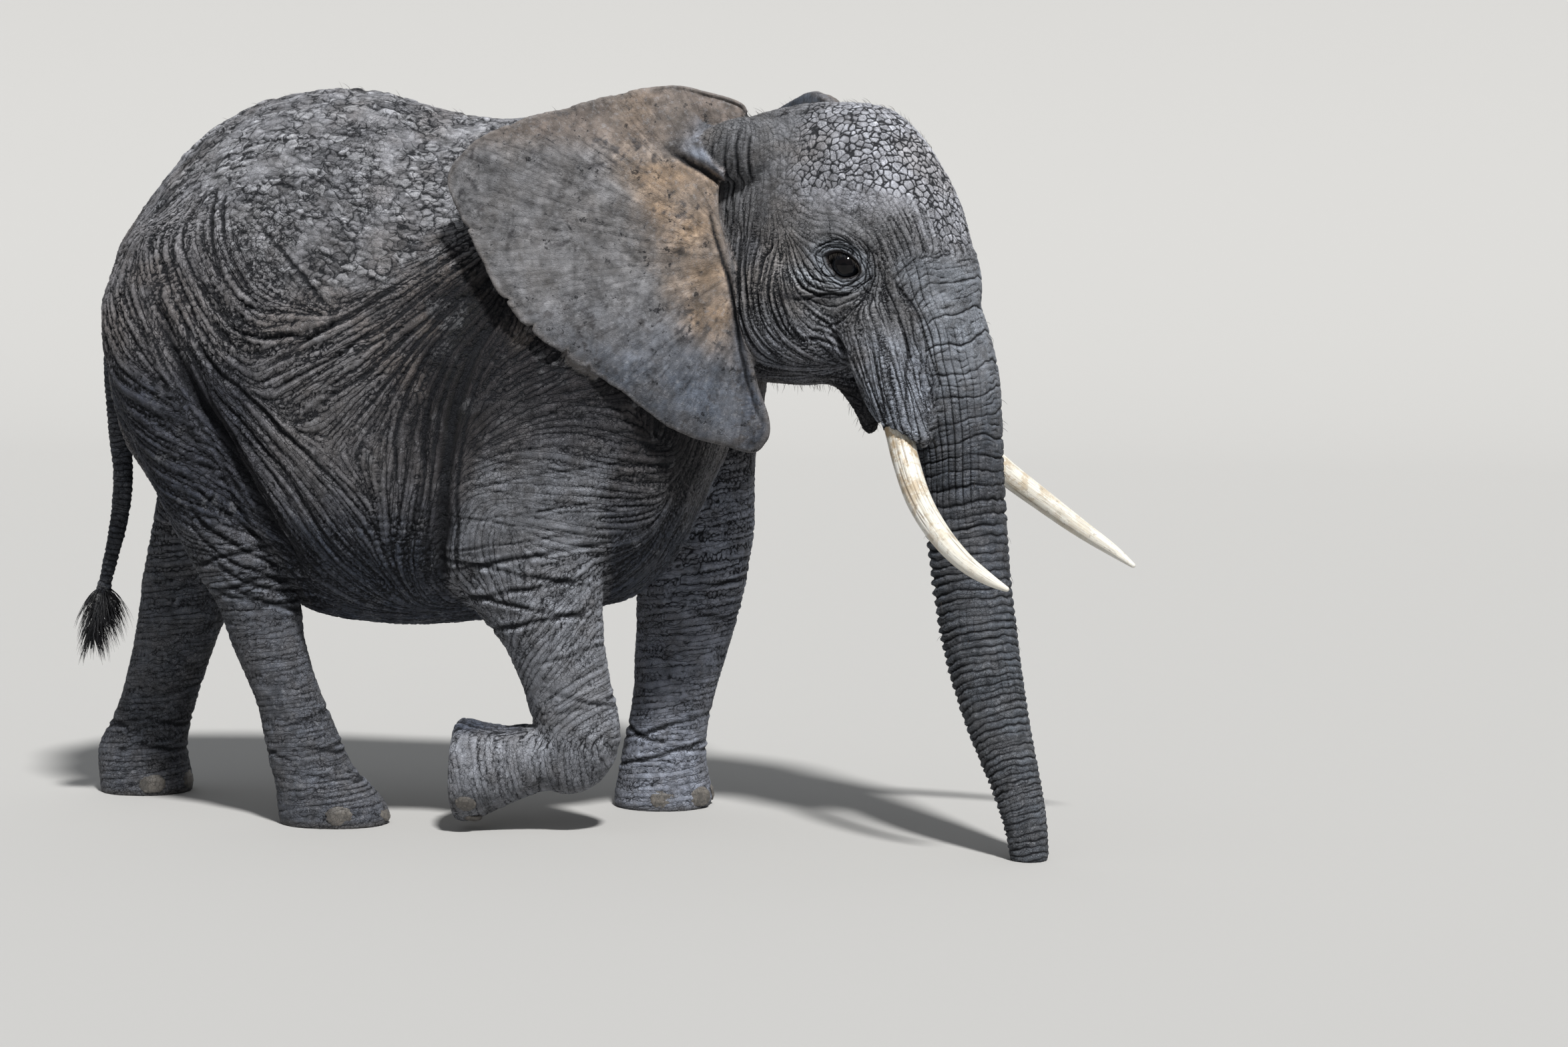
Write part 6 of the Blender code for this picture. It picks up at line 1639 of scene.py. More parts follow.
# painted shade on the lower jaw under the mouth
tint = mix(tint, (0.023, 0.022, 0.025), HEADW * rise(1.615 - Z, 0.0, 0.05) * rise(0.70 - ahead, 0.0, 0.04) * rise(ahead, 0.40, 0.50) * 0.9)
tint = mix(tint, (0.240, 0.262, 0.300), TRUNKW)
tint = mix(tint, (0.066, 0.075, 0.092), TRUNKW * rise(trunk_s, 0.36, 0.80))
tint = mix(tint, (0.080, 0.090, 0.106), TRUNKW * rise(trunk_s, 1.1, 1.7))
tint = mix(tint, (0.046, 0.053, 0.068), TAILW)
tint = mix(tint, (0.21, 0.215, 0.225), TAILW * rise(noise(P / 0.022, 70), -0.05, 0.15) * np.exp(-(((Z - 0.765) / 0.045) ** 2)))
tint = mix(tint, (0.205, 0.205, 0.216), EARS)
for side in (-1, 1):
    back, off, gap = ear_at[side]
    w = ear_w[side] * rise(off, -0.004, 0.004)
    ragged = 0.05 * noise(P / 0.07, 71) + 0.03 * noise(P / 0.025, 72)
    reach = np.interp(Z, [1.55, 1.75, 1.95, 2.15, 2.30, 2.50], [0.02, 0.08, 0.14, 0.20, 0.26, 0.28])
    stain = rise(reach + 0.03 - back + ragged, -0.100, 0.080) * rise(Z + ragged, 1.60, 1.80) * rise(2.40 - Z, 0.0, 0.10) + 0.66 * np.exp(-(((back - 0.25 + ragged) / 0.120) ** 2)) * rise(Z, 2.26, 2.42)
    stain = np.clip(stain * (0.85 + 0.7 * noise(P / 0.10, 55)), 0, 1)
    tint = mix(tint, (0.430, 0.298, 0.190), w * stain * 0.80)
    tint = mix(tint, (0.132, 0.102, 0.084), w * rise(Z, 2.36, 2.47) * 0.85 * (1 - 0.6 * stain))
    tint = mix(tint, (0.104, 0.120, 0.152), w * rise(1.98 - Z, 0.0, 0.42) * (1 - 0.7 * stain))
    tint = mix(tint, (0.070, 0.082, 0.108), w * rise(-back, 0.0, 0.05) * rise(2.15 - Z, 0, 0.1))
    tint = mix(tint, (0.185, 0.205, 0.250), np.clip(ROLLED, 0, 1) * ear_w[side])
    tint = mix(tint, (0.10, 0.092, 0.092), ear_w[side] * (1 - rise(off, -0.004, 0.004)) * 0.5)
    tint = mix(tint, (0.105, 0.132, 0.178), ear_w[side] * (1 - rise(off, -0.004, 0.004)) * rise(Z, 2.35, 2.45))
    blots = rise(rough(P / 0.030, 73, 3), 0.16, 0.24) * rise(noise(P / 0.15, 74), -0.10, 0.20)
    tint = mix(tint, (0.050, 0.049, 0.055), w * blots * 0.80)
    tint *= (1 + w * (0.60 * rough(P / 0.085, 75, 3) + 0.14 * noise(P / 0.016, 76)))[:, None].clip(0.4, 1.7)
mud = rise(rough(P / 0.30, 56, 3), 0.10, 0.45)
tint = mix(tint, (0.150, 0.126, 0.112), mud * 0.40 * BODYW * rise(Z, 1.35, 1.70))
tint = mix(tint, (0.230, 0.200, 0.175), mud * 0.35 * (HEADW + 0.5 * EARS))
spots = rough(P / 0.035, 58, 3)
tint *= (1 + 0.40 * rough(P / 0.09, 57, 3) + 0.74 * spots + 1.1 * tone)[:, None].clip(0.30, 2.2)
tint = mix(tint, (0.030, 0.032, 0.040), ROLLED * 0.0)
# dark skin round the eye's opening, with painted shade of the lids
tint = mix(tint, (0.014, 0.014, 0.018), LID_RIM_DARK_AND_SHADE * 0.92)
tint = mix(tint, (0.030, 0.022, 0.022), WET * 0.8)
tint = mix(tint, (0.330, 0.365, 0.420), LIDS * 0.80 * (1 - WET) * (1 - LID_RIM_DARK_AND_SHADE))
bag = HEADW * np.exp(-(((ahead - 0.490) / 0.058) ** 2 + ((Z - 1.958 - 0.25 * (0.49 - ahead)) / 0.032) ** 2))
tint = mix(tint, (0.56, 0.61, 0.68), bag * 0.85)
# painted shade in the deep fold under the eye's bag
under_bag_shade = HEADW * np.exp(-(((Z - 1.893) / 0.017) ** 2)) * rise(ahead, 0.38, 0.42) * rise(0.60 - ahead, 0.0, 0.05)
tint = mix(tint, (0.022, 0.022, 0.026), under_bag_shade * 0.8)
tint = mix(tint, (0.22, 0.20, 0.19), HEM * 0.5)
tint = mix(tint, (0.16, 0.15, 0.14), np.clip(FLAT * (LEGW + FOLDED), 0, 1) * 0.5)
# painted light and shade by facing: skin facing down is darkened and skin facing up kept light, as under light from
# above
tint *= (0.62 + 0.42 * rise(N[:, 2], -0.7, 0.8))[:, None]
# painted shade in the hollows of the relief and a painted highlight on its ridges
cup = NET.smooth(H, 10) - H
crease_shade = np.clip(np.maximum(crease_shade, 0.0) + 0.40 * CRACK_SHADE + np.clip(cup / 0.005, 0, 1) * 0.58, 0, 1)
ridge_highlight = np.clip(-cup / 0.004, 0, 1)
tint *= (1 + 0.74 * ridge_highlight)[:, None]
tint = np.clip(tint, 0.01, 0.9)

mesh = skin.data
store(mesh, "tint", np.column_stack([tint, np.ones(n_points)]), "FLOAT_COLOR")
store(mesh, "flow", np.stack([F50, F30, F17], 1), "FLOAT_VECTOR")
show = np.stack([np.clip(A50 / 0.0095, 0, 1), np.clip(A30 / 0.0058, 0, 1), np.clip(A17 / 0.0023, 0, 1)], 1)
store(mesh, "flow_show", show, "FLOAT_VECTOR")
store(mesh, "rings", np.stack([phase, across, tail_phase], 1), "FLOAT_VECTOR")
store(mesh, "rings_show", np.stack([TRUNKW * np.clip(ring_fade, 0, 1), cross_fade, TAILW], 1), "FLOAT_VECTOR")
store(mesh, "rings_more", np.stack([fourths, quarter_fade, half_fade], 1), "FLOAT_VECTOR")
store(mesh, "ring_gap", spacing)
every = np.arange(n_points)
chip_place = back_lie(P + 0.022 * np.stack([noise(P / 0.022, 50), noise(P / 0.022, 51), noise(P / 0.022, 52)], 1) + 0.020 * np.stack([noise(P / 0.07, 53), noise(P / 0.07, 54), noise(P / 0.07, 55)], 1), every) / 0.031
store(mesh, "chip_place", chip_place, "FLOAT_VECTOR")
store(mesh, "chips", np.clip(chips + 0.35 * BODYW * rise(patchy2, 0.1, 0.4), 0, 1))
# painted shade of the creases, cracks and hollows
store(mesh, "crease_shade", crease_shade)
store(mesh, "split", SPLIT)
store(mesh, "flakes", np.clip(EARS * (0.70 + 1.3 * patchy2), 0, 1))
store(mesh, "wet", WET)
store(mesh, "smoothness", np.clip(EARS * 0.75, 0, 1))
# the top of the far ear's rim is rounded off
i = np.flatnonzero((ear_w[1] > 0.5) & (Z > 2.36))
at_ = np.full(n_points, -1)
at_[i] = np.arange(len(i))
both = (at_[NET.a] >= 0) & (at_[NET.b] >= 0)
ea, eb = at_[NET.a[both]], at_[NET.b[both]]
degree = np.maximum(np.bincount(ea, minlength=len(i)) + np.bincount(eb, minlength=len(i)), 1)[:, None]
soft = (0.5 * rise(Z[i], 2.38, 2.46) * rise(ear_w[1][i], 0.6, 0.9))[:, None]
q = P[i].copy()
for _ in range(60):
    beside = np.stack([np.bincount(ea, weights=q[eb, k], minlength=len(i)) + np.bincount(eb, weights=q[ea, k], minlength=len(i)) for k in range(3)], 1)
    q += soft * (beside / degree - q)
P[i] = q
P = P + MOVE
put_points(mesh, P)
mesh.shade_smooth()
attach(skin, "root")
FLESH_NODES = [n for n in frame["nodes"] if not n.startswith(("eye", "tusk", "nail"))] if not isinstance(frame["nodes"], dict) else [n for n in frame["nodes"] if not n.startswith(("eye", "tusk", "nail"))]
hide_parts(*FLESH_NODES)


# ---------------------------------------------------------------- materials
class Graph:
    """Short hands for building a node material."""

    def __init__(self, name):
        self.material = bpy.data.materials.new(name)
        self.material.use_nodes = True
        self.tree = self.material.node_tree
        self.shader = self.tree.nodes["Principled BSDF"]

    def add(self, kind, **settings):
        n = self.tree.nodes.new(kind)
        for key, value in settings.items():
            setattr(n, key, value)
        return n

    def put(self, socket, value):
        if isinstance(value, bpy.types.NodeSocket):
            self.tree.links.new(value, socket)
        else:
            socket.default_value = value

    def attr(self, name, kind="Vector"):
        return self.add("ShaderNodeAttribute", attribute_name=name).outputs[kind]

    def split(self, v):
        n = self.add("ShaderNodeSeparateXYZ")
        self.put(n.inputs[0], v)
        return n.outputs

    def math(self, kind, a, b=0.0, c=None, clamp=False):
        n = self.add("ShaderNodeMath", operation=kind, use_clamp=clamp)
        self.put(n.inputs[0], a)
        self.put(n.inputs[1], b)
        if c is not None:
            self.put(n.inputs[2], c)
        return n.outputs[0]

    def ramp(self, x, low, high, out_low=0.0, out_high=1.0):
        n = self.add("ShaderNodeMapRange", interpolation_type="SMOOTHSTEP")
        for s, v in zip(n.inputs, (x, low, high, out_low, out_high)):
            self.put(s, v)
        return n.outputs[0]

    def noise(self, scale, detail=2.0, rough_=0.5, vector=None):
        n = self.add("ShaderNodeTexNoise")
        n.inputs["Scale"].default_value = scale
        n.inputs["Detail"].default_value = detail
        n.inputs["Roughness"].default_value = rough_
        if vector is not None:
            self.put(n.inputs["Vector"], vector)
        return n.outputs["Fac"]

    def cells(self, scale, feature="DISTANCE_TO_EDGE", vector=None, out_=0):
        n = self.add("ShaderNodeTexVoronoi", feature=feature)
        n.inputs["Scale"].default_value = scale
        if vector is not None:
            self.put(n.inputs["Vector"], vector)
        return n.outputs[out_]

    def blend(self, w, a, b, kind="MIX"):
        n = self.add("ShaderNodeMix", data_type="RGBA", blend_type=kind)
        self.put(n.inputs["Factor"], w)
        for s, v in ((n.inputs[6], a), (n.inputs[7], b)):
            self.put(s, v if isinstance(v, bpy.types.NodeSocket) else (*v, 1.0))
        return n.outputs[2]

    def place(self, warp_scale=0.0, warp_size=20.0):
        """The object's own coordinates, shifted a little by noise."""
        c = self.add("ShaderNodeTexCoord").outputs["Object"]
        if not warp_scale:
            return c
        n = self.add("ShaderNodeTexNoise")
        n.inputs["Scale"].default_value = warp_size
        n.inputs["Detail"].default_value = 1.0
        self.put(n.inputs["Vector"], c)
        m = self.add("ShaderNodeVectorMath", operation="MULTIPLY_ADD")
        self.put(m.inputs[0], n.outputs["Color"])
        self.put(m.inputs[1], (warp_scale,) * 3)
        self.put(m.inputs[2], c)
        return m.outputs[0]

    def bump(self, height, strength, distance):
        n = self.add("ShaderNodeBump")
        n.inputs["Strength"].default_value = strength
        n.inputs["Distance"].default_value = distance
        self.put(n.inputs["Height"], height)
        self.put(self.shader.inputs["Normal"], n.outputs[0])

    def line(self, x, width):
        """1 where x is near zero, falling to 0 at width."""
        return self.math("EXPONENT", self.math("MULTIPLY", self.math("POWER", self.math("MULTIPLY", self.math("ABSOLUTE", x), 1 / width), 2.0), -1.0))

    def sum(self, *terms):
        total = terms[0]
        for t in terms[1:]:
            total = self.math("ADD", total, t)
        return total


def skin_material():
    g = Graph("elephant_skin")
    c = g.place(0.004, 45.0)
    f50, f30, f17 = g.split(g.attr("flow"))
    s50, s30, s17 = g.split(g.attr("flow_show"))
    ring, crossing, tail_ring = g.split(g.attr("rings"))
    r1, r2, r3 = g.split(g.attr("rings_show"))
    smooth = g.attr("smoothness", "Fac")
    plain = g.math("SUBTRACT", 1.0, smooth)
    fourth, q_show, h_show = g.split(g.attr("rings_more"))
    gap = g.attr("ring_gap", "Fac")
    # painted shade: dark lines in the creases of the wrinkles, the trunk's and tail's rings and the trunk's lengthwise
    # creases
    lines = g.sum(
        g.math("MULTIPLY", g.line(f50, 0.0026), g.math("MULTIPLY", s50, 0.95)),
        g.math("MULTIPLY", g.line(f30, 0.0019), g.math("MULTIPLY", s30, 0.90)),
        g.math("MULTIPLY", g.line(f17, 0.0013), g.math("MULTIPLY", s17, 0.60)),
        g.math("MULTIPLY", g.line(g.math("MULTIPLY", g.math("PINGPONG", ring, 0.5), gap), 0.0024), g.math("MULTIPLY", r1, 0.95)),
        g.math("MULTIPLY", g.line(g.math("MULTIPLY", g.math("PINGPONG", g.math("ADD", ring, 0.5), 0.5), gap), 0.0018), g.math("MULTIPLY", h_show, 0.85)),
        g.math("MULTIPLY", g.line(g.math("MULTIPLY", g.math("PINGPONG", fourth, 0.5), g.math("MULTIPLY", gap, 0.25)), 0.0014), g.math("MULTIPLY", q_show, 0.75)),
        g.math("MULTIPLY", g.line(g.math("MULTIPLY", g.math("PINGPONG", crossing, 0.5), 0.025), 0.0017), g.math("MULTIPLY", r2, 0.90)),
        g.math("MULTIPLY", g.line(g.math("MULTIPLY", g.math("PINGPONG", tail_ring, 0.5), 0.021), 0.0018), g.math("MULTIPLY", r3, 0.7)),
    )
    split = g.line(g.attr("split", "Fac"), 0.0019)
    # the chips of dried mud and thick skin on the back, each with a tone of its own, with painted shade in the cracks
    # between them
    chip_at = g.attr("chip_place")
    chips_on = g.attr("chips", "Fac")
    chip_edge = g.cells(1.0, vector=chip_at)
    small_edge = g.cells(2.3, vector=chip_at)
    chip_tone = g.split(g.cells(1.0, "F1", chip_at, 1))[0]
    chip_line = g.math("MULTIPLY", g.ramp(chip_edge, 0.015, 0.13, 1.0, 0.0), chips_on)
    chip_line = g.math("MAXIMUM", chip_line, g.math("MULTIPLY", g.ramp(small_edge, 0.0, 0.12, 0.34, 0.0), chips_on))
    # the finest creases: small cells, some long and some square, with grains on them; painted shade darkens their
    # cracks
    fine = g.cells(62.0, vector=c)
    finer_ = g.cells(150.0, vector=c)
    grain = g.noise(420.0, 3.0, 0.6, c)
    blotch = g.noise(9.0, 4.0, 0.6, c)
    patch = g.ramp(g.noise(5.0, 2.0, 0.5, c), 0.40, 0.62)
    crack1 = g.math("MULTIPLY", g.ramp(fine, 0.0, 0.080, 1.0, 0.0), g.math("MULTIPLY", g.math("MULTIPLY_ADD", patch, 0.7, 0.3), plain))
    crack2 = g.math("MULTIPLY", g.ramp(finer_, 0.0, 0.12, 1.0, 0.0), g.math("MULTIPLY_ADD", plain, 0.7, 0.3))
    flakes_on = g.attr("flakes", "Fac")
    flake = g.math("MULTIPLY", g.ramp(g.noise(30.0, 7.0, 0.70, c), 0.605, 0.622), g.ramp(flakes_on, 0.25, 0.75))
    mottle = g.math("MULTIPLY", g.ramp(g.noise(75.0, 4.0, 0.7, c), 0.48, 0.60), flakes_on)
    # painted shade of the creases and cracks, with the ears' dark mud flakes and mottling; it darkens the colour below
    dark_ = g.math("MINIMUM", g.sum(g.math("MULTIPLY", lines, 1.0), g.math("MULTIPLY", split, 0.90), g.math("MULTIPLY", crack1, 0.42), g.math("MULTIPLY", crack2, 0.18), g.math("MULTIPLY", flake, 0.66), g.math("MULTIPLY", mottle, 0.13), g.math("MULTIPLY", chip_line, 0.68), g.attr("crease_shade", "Fac")), 1.0)
    base = g.attr("tint", "Color")
    lit = g.ramp(g.split(base)[1], 0.010, 0.085, 0.04, 1.0)
    base = g.blend(g.math("MULTIPLY", g.ramp(chip_tone, 0.50, 0.95), g.math("MULTIPLY", chips_on, 0.62)), base, (0.44, 0.45, 0.48))
    base = g.blend(g.math("MULTIPLY", g.ramp(chip_tone, 0.45, 0.05), g.math("MULTIPLY", chips_on, 0.62)), base, (0.060, 0.062, 0.070))
    base = g.blend(g.math("MULTIPLY", g.ramp(blotch, 0.35, 0.70, 0.0, 0.28), lit), base, (0.15, 0.135, 0.125))
    dust = g.ramp(g.noise(60.0, 5.0, 0.7, c), 0.50, 0.68, 0.0, 0.38)
    base = g.blend(g.math("MULTIPLY", g.math("MULTIPLY", dust, lit), g.math("SUBTRACT", 1.0, dark_)), base, (0.34, 0.345, 0.370))
    speck = g.ramp(g.cells(95.0, "F1", c), 0.0, 0.22, 1.0, 0.0)
    base = g.blend(g.math("MULTIPLY", speck, g.math("MULTIPLY", patch, 0.25)), base, (0.025, 0.025, 0.028))
    colour = g.blend(g.math("MULTIPLY", dark_, 0.95), base, (0.006, 0.007, 0.010))
    g.put(g.shader.inputs["Base Color"], colour)
    wet = g.attr("wet", "Fac")
    g.put(g.shader.inputs["Roughness"], g.math("SUBTRACT", g.math("MULTIPLY_ADD", grain, 0.18, g.math("MULTIPLY_ADD", dark_, 0.10, 0.62)), g.math("MULTIPLY", wet, 0.38)))
    g.shader.inputs["Specular IOR Level"].default_value = 0.30
    height = g.sum(
        g.math("MULTIPLY", lines, -1.0),
        g.math("MULTIPLY", g.math("MULTIPLY", g.ramp(chip_edge, 0.0, 0.30), chips_on), 1.1),
        g.math("MULTIPLY", split, -0.9),
        g.math("MULTIPLY", mottle, -0.2),
        g.math("MULTIPLY", flake, -0.5),
        g.math("MULTIPLY", crack1, -0.55),
        g.math("MULTIPLY", crack2, -0.26),
        g.math("MULTIPLY", grain, 0.22),
        g.math("MULTIPLY", g.noise(140.0, 3.0, 0.6, c), 0.35),
    )
    g.bump(height, 0.90, 0.0038)
    return g.material


skin.data.materials.clear()
skin.data.materials.append(skin_material())


# ---------------------------------------------------------------- eyes
def eye_material():
    g = Graph("elephant_eye")
    polar = g.attr("polar", "Fac")
    spin = g.attr("spin", "Fac")
    v = g.add("ShaderNodeCombineXYZ")
    g.put(v.inputs[0], g.math("MULTIPLY", g.math("SINE", spin), 6.0))
    g.put(v.inputs[1], g.math("MULTIPLY", g.math("COSINE", spin), 6.0))
    g.put(v.inputs[2], g.math("MULTIPLY", polar, 2.0))
    fibres = g.noise(3.0, 4.0, 0.7, v.outputs[0])
    iris = g.blend(g.ramp(fibres, 0.35, 0.7), (0.002, 0.002, 0.003), (0.008, 0.006, 0.006))
    iris = g.blend(g.ramp(polar, 0.44, 0.56), iris, (0.003, 0.003, 0.004))
    white = g.blend(g.ramp(g.noise(120.0, 3.0, 0.6), 0.4, 0.7), (0.003, 0.004, 0.006), (0.007, 0.008, 0.011))
    colour = g.blend(g.ramp(polar, 0.56, 0.66), iris, white)
    colour = g.blend(g.ramp(polar, 0.20, 0.235, 1.0, 0.0), colour, (0.0015, 0.0015, 0.002))
    g.put(g.shader.inputs["Base Color"], colour)
    g.shader.inputs["Roughness"].default_value = 0.10
    g.shader.inputs["Specular IOR Level"].default_value = 0.20
    g.shader.inputs["Coat Weight"].default_value = 0.06
    g.shader.inputs["Coat Roughness"].default_value = 0.03
    return g.material


EYE_LOOK = eye_material()
for side, node in ((-1, "eye_right"), (1, "eye_left")):
    at, way, a, u = eye_frame(side)
    look = unit(way + a * 0.10 - u * 0.06)
    across_ = unit(np.cross(look, [0, 0, 1.0]))
    above_ = np.cross(across_, look)
    rows_, count = 48, 72
    pts, polar, spin = [], [], []
    for i in range(rows_ + 1):
        t = math.pi * (i / rows_) ** 1.35
        bulge = 1 + 0.060 * max(0.0, math.cos(min(t, 0.70) / 0.70 * math.pi / 2)) ** 1.3
        for j in range(count):
            s = 2 * math.pi * j / count
            d = look * math.cos(t) + (across_ * math.cos(s) + above_ * math.sin(s)) * math.sin(t)
            pts.append(at + d * BALL * bulge + MOVE)
            polar.append(t)
            spin.append(s if s < math.pi else 2 * math.pi - s)
    faces = [(i * count + j, i * count + (j + 1) % count, (i + 1) * count + (j + 1) % count, (i + 1) * count + j) for i in range(rows_) for j in range(count)]
    m = bpy.data.meshes.new(node + "_ball")
    m.from_pydata([tuple(p) for p in pts], [], faces)
    bm = bmesh.new()
    bm.from_mesh(m)
    keys = bm.verts.layers.float.new("polar")
    spins = bm.verts.layers.float.new("spin")
    bm.verts.ensure_lookup_table()
    for v, p_, s_ in zip(bm.verts, polar, spin):
        v[keys], v[spins] = p_, s_
    bmesh.ops.remove_doubles(bm, verts=bm.verts, dist=1e-6)
    bmesh.ops.recalc_face_normals(bm, faces=bm.faces)
    bm.to_mesh(m)
    bm.free()
    if signed_volume(m) < 0:
        m.flip_normals()
    m.shade_smooth()
    o = link(node + "_ball", m)
    m.materials.append(EYE_LOOK)
    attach(o, "root")
    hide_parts(node)


# ---------------------------------------------------------------- tusks
def tusk_material():
    g = Graph("tusk_ivory")
    length = g.attr("length", "Fac")
    crack = g.attr("crack", "Fac")
    c = g.place(0.01, 12.0)
    stretch = g.attr("grain_place")
    streak = g.noise(1.0, 5.0, 0.65, stretch)
    hair = g.line(g.math("SUBTRACT", g.noise(2.2, 2.0, 0.5, stretch), 0.5), 0.016)
    base = g.blend(g.ramp(streak, 0.35, 0.65), (0.74, 0.70, 0.60), (0.88, 0.86, 0.80))
    stain = g.math("MULTIPLY", g.ramp(g.noise(17.0, 6.0, 0.70, c), 0.47, 0.60), g.ramp(length, 1.10, 0.20))
    base = g.blend(g.math("MULTIPLY", stain, 0.80), base, (0.40, 0.27, 0.12))
    grime = g.ramp(g.noise(42.0, 5.0, 0.7, c), 0.58, 0.70)
    base = g.blend(g.math("MULTIPLY", grime, 0.55), base, (0.16, 0.11, 0.06))
    base = g.blend(g.math("MULTIPLY", g.ramp(length, 0.34, 0.20), 0.7), base, (0.30, 0.22, 0.15))
    marks = g.math("MINIMUM", g.math("ADD", g.math("MULTIPLY", hair, 0.55), crack), 1.0)
    base = g.blend(g.math("MULTIPLY", marks, 0.85), base, (0.13, 0.085, 0.05))
    g.put(g.shader.inputs["Base Color"], base)
    g.put(g.shader.inputs["Roughness"], g.ramp(streak, 0.2, 0.8, 0.30, 0.48))
    g.shader.inputs["Subsurface Weight"].default_value = 0.08
    g.shader.inputs["Subsurface Radius"].default_value = (0.012, 0.008, 0.005)
    g.shader.inputs["Coat Weight"].default_value = 0.12
    g.shader.inputs["Coat Roughness"].default_value = 0.25
    g.bump(g.sum(g.math("MULTIPLY", streak, 0.5), g.math("MULTIPLY", marks, -1.0)), 0.6, 0.0012)
    return g.material


TUSK_LOOK = tusk_material()
for side, node in ((-1, "tusk_right"), (1, "tusk_left")):
    rings = tusk_rings(side, 0.0, 170, 72)
    n_r, n_c = len(rings), len(rings[0])
    grid_ = np.array(rings)
    mid = grid_.mean(1, keepdims=True)
    outw = unit(grid_ - mid)
    s = np.linspace(0, 1, n_r)[:, None] * np.ones((1, n_c))
    t = (np.arange(n_c) * 2 * math.pi / n_c)[None, :] * np.ones((n_r, 1))
    q = np.stack([np.cos(t) * 1.6, np.sin(t) * 1.6, s * 1.6 + side], 2).reshape(-1, 3)
    long_noise = noise(q * [3.2, 3.2, 1.0], 60).reshape(n_r, n_c)
    crack = np.exp(-((long_noise / 0.034) ** 2)) * rise(noise(q * [1, 1, 1.5], 61).reshape(n_r, n_c), -0.05, 0.15) * rise(0.96 - s, 0.0, 0.2)
    size = np.linalg.norm(grid_ - mid, axis=2)
    h = 0.0006 * noise(q * [2, 2, 6], 62).reshape(n_r, n_c) - 0.0022 * crack + 0.0008 * noise(q * [5, 5, 1.2], 63).reshape(n_r, n_c)
    h = h * rise(size, 0.004, 0.02)
    grid_ = grid_ + outw * h[..., None]
    tip_way = unit(mid[-1, 0] - mid[-3, 0])
    caps = [mid[-1, 0] + (grid_[-1] - mid[-1, 0]) * f + tip_way * 0.0085 * k for f, k in ((0.85, 0.35), (0.6, 0.62), (0.3, 0.78))]
    o = skin_rings(node + "_ivory", list(grid_) + caps)
    m = o.data
    p = points_of(m)
    near = np.minimum(np.arange(len(p)) // n_c, n_r - 1)
    turn = (np.arange(len(p)) % n_c) * 2 * math.pi / n_c
    share_ = near / (n_r - 1)
    store(m, "length", share_)
    store(m, "crack", np.clip(np.concatenate([crack.ravel(), np.zeros(len(p) - n_r * n_c)]) * 0.9, 0, 1))
    store(m, "grain_place", np.stack([np.cos(turn) * 3.0, np.sin(turn) * 3.0, share_ * 2.4 + side], 1), "FLOAT_VECTOR")
    put_points(m, p + MOVE)
    m.shade_smooth()
    m.materials.append(TUSK_LOOK)
    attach(o, "root")
    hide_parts(node)


# ---------------------------------------------------------------- toenails
def nail_material():
    g = Graph("toenail_horn")
    c = g.place(0.006, 30.0)
    growth = g.noise(38.0, 5.0, 0.7, c)
    colour = g.blend(g.ramp(growth, 0.3, 0.7), (0.070, 0.066, 0.062), (0.165, 0.150, 0.134))
    colour = g.blend(g.ramp(g.noise(14.0, 3.0, 0.6, c), 0.45, 0.7, 0.0, 0.7), colour, (0.05, 0.047, 0.045))
    crack = g.ramp(g.cells(70.0, vector=c), 0.0, 0.05, 1.0, 0.0)
    colour = g.blend(g.math("MULTIPLY", crack, 0.6), colour, (0.04, 0.035, 0.03))
    g.put(g.shader.inputs["Base Color"], colour)
    g.put(g.shader.inputs["Roughness"], g.ramp(growth, 0.2, 0.8, 0.42, 0.66))
    g.bump(g.sum(g.math("MULTIPLY", growth, 0.7), g.math("MULTIPLY", crack, -0.8)), 0.7, 0.002)
    return g.material


def keep_largest(mesh_):
    """Drops the specks that a remesh leaves beside the main piece."""
    bm = bmesh.new()
    bm.from_mesh(mesh_)
    bm.verts.ensure_lookup_table()
    seen, groups = set(), []
    for v in bm.verts:
        if v.index in seen:
            continue
        seen.add(v.index)
        group, stack = [v], [v]
        while stack:
            for e in stack.pop().link_edges:
                w = e.verts[0] if e.verts[0].index not in seen else e.verts[1]
                if w.index not in seen:
                    seen.add(w.index)
                    group.append(w)
                    stack.append(w)
        groups.append(group)
    groups.sort(key=len)
    for group in groups[:-1]:
        bmesh.ops.delete(bm, geom=group, context="VERTS")
    bm.to_mesh(mesh_)
    bm.free()


NAIL_LOOK = nail_material()
source = {o.name: o for o in bpy.data.objects}
for node in [n for n in frame["nodes"] if n.startswith("nail")]:
    m = bpy.data.meshes.new_from_object(source[node])
    o = link(node + "_horn", m)
    m.materials.clear()
    modify(o, "REMESH", mode="VOXEL", voxel_size=0.0028, adaptivity=0.0)
    modify(o, "SMOOTH", factor=0.5, iterations=6)
    m = o.data
    keep_largest(m)
    p = points_of(m)
    nn = normals_of(m)
    mid = p.mean(0)
    h = 0.0010 * noise(p * [60, 60, 240], 64) + 0.0010 * noise(p * [220, 220, 40], 65)
    p = p + nn * h[:, None]
    if "fore_right" not in node:
        # broad and low, with a straight edge close to the ground
        q = p - mid
        _, axes = np.linalg.eigh(np.cov(q[:, :2].T))
        wide = np.array([*axes[:, 1], 0.0])
        p = mid + q + wide * (q @ wide)[:, None] * (0.28 + 0.12 * rise(-q[:, 2], 0.0, 0.03))[:, None]
        low = p[:, 2] - 0.020
        p[:, 2] = np.where(low > 0.007, low, 0.007 + 0.1 * (low - 0.007))
    put_points(m, p)
    m.shade_smooth()
    m.materials.clear()
    m.materials.append(NAIL_LOOK)
    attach(o, "root")
    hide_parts(node)

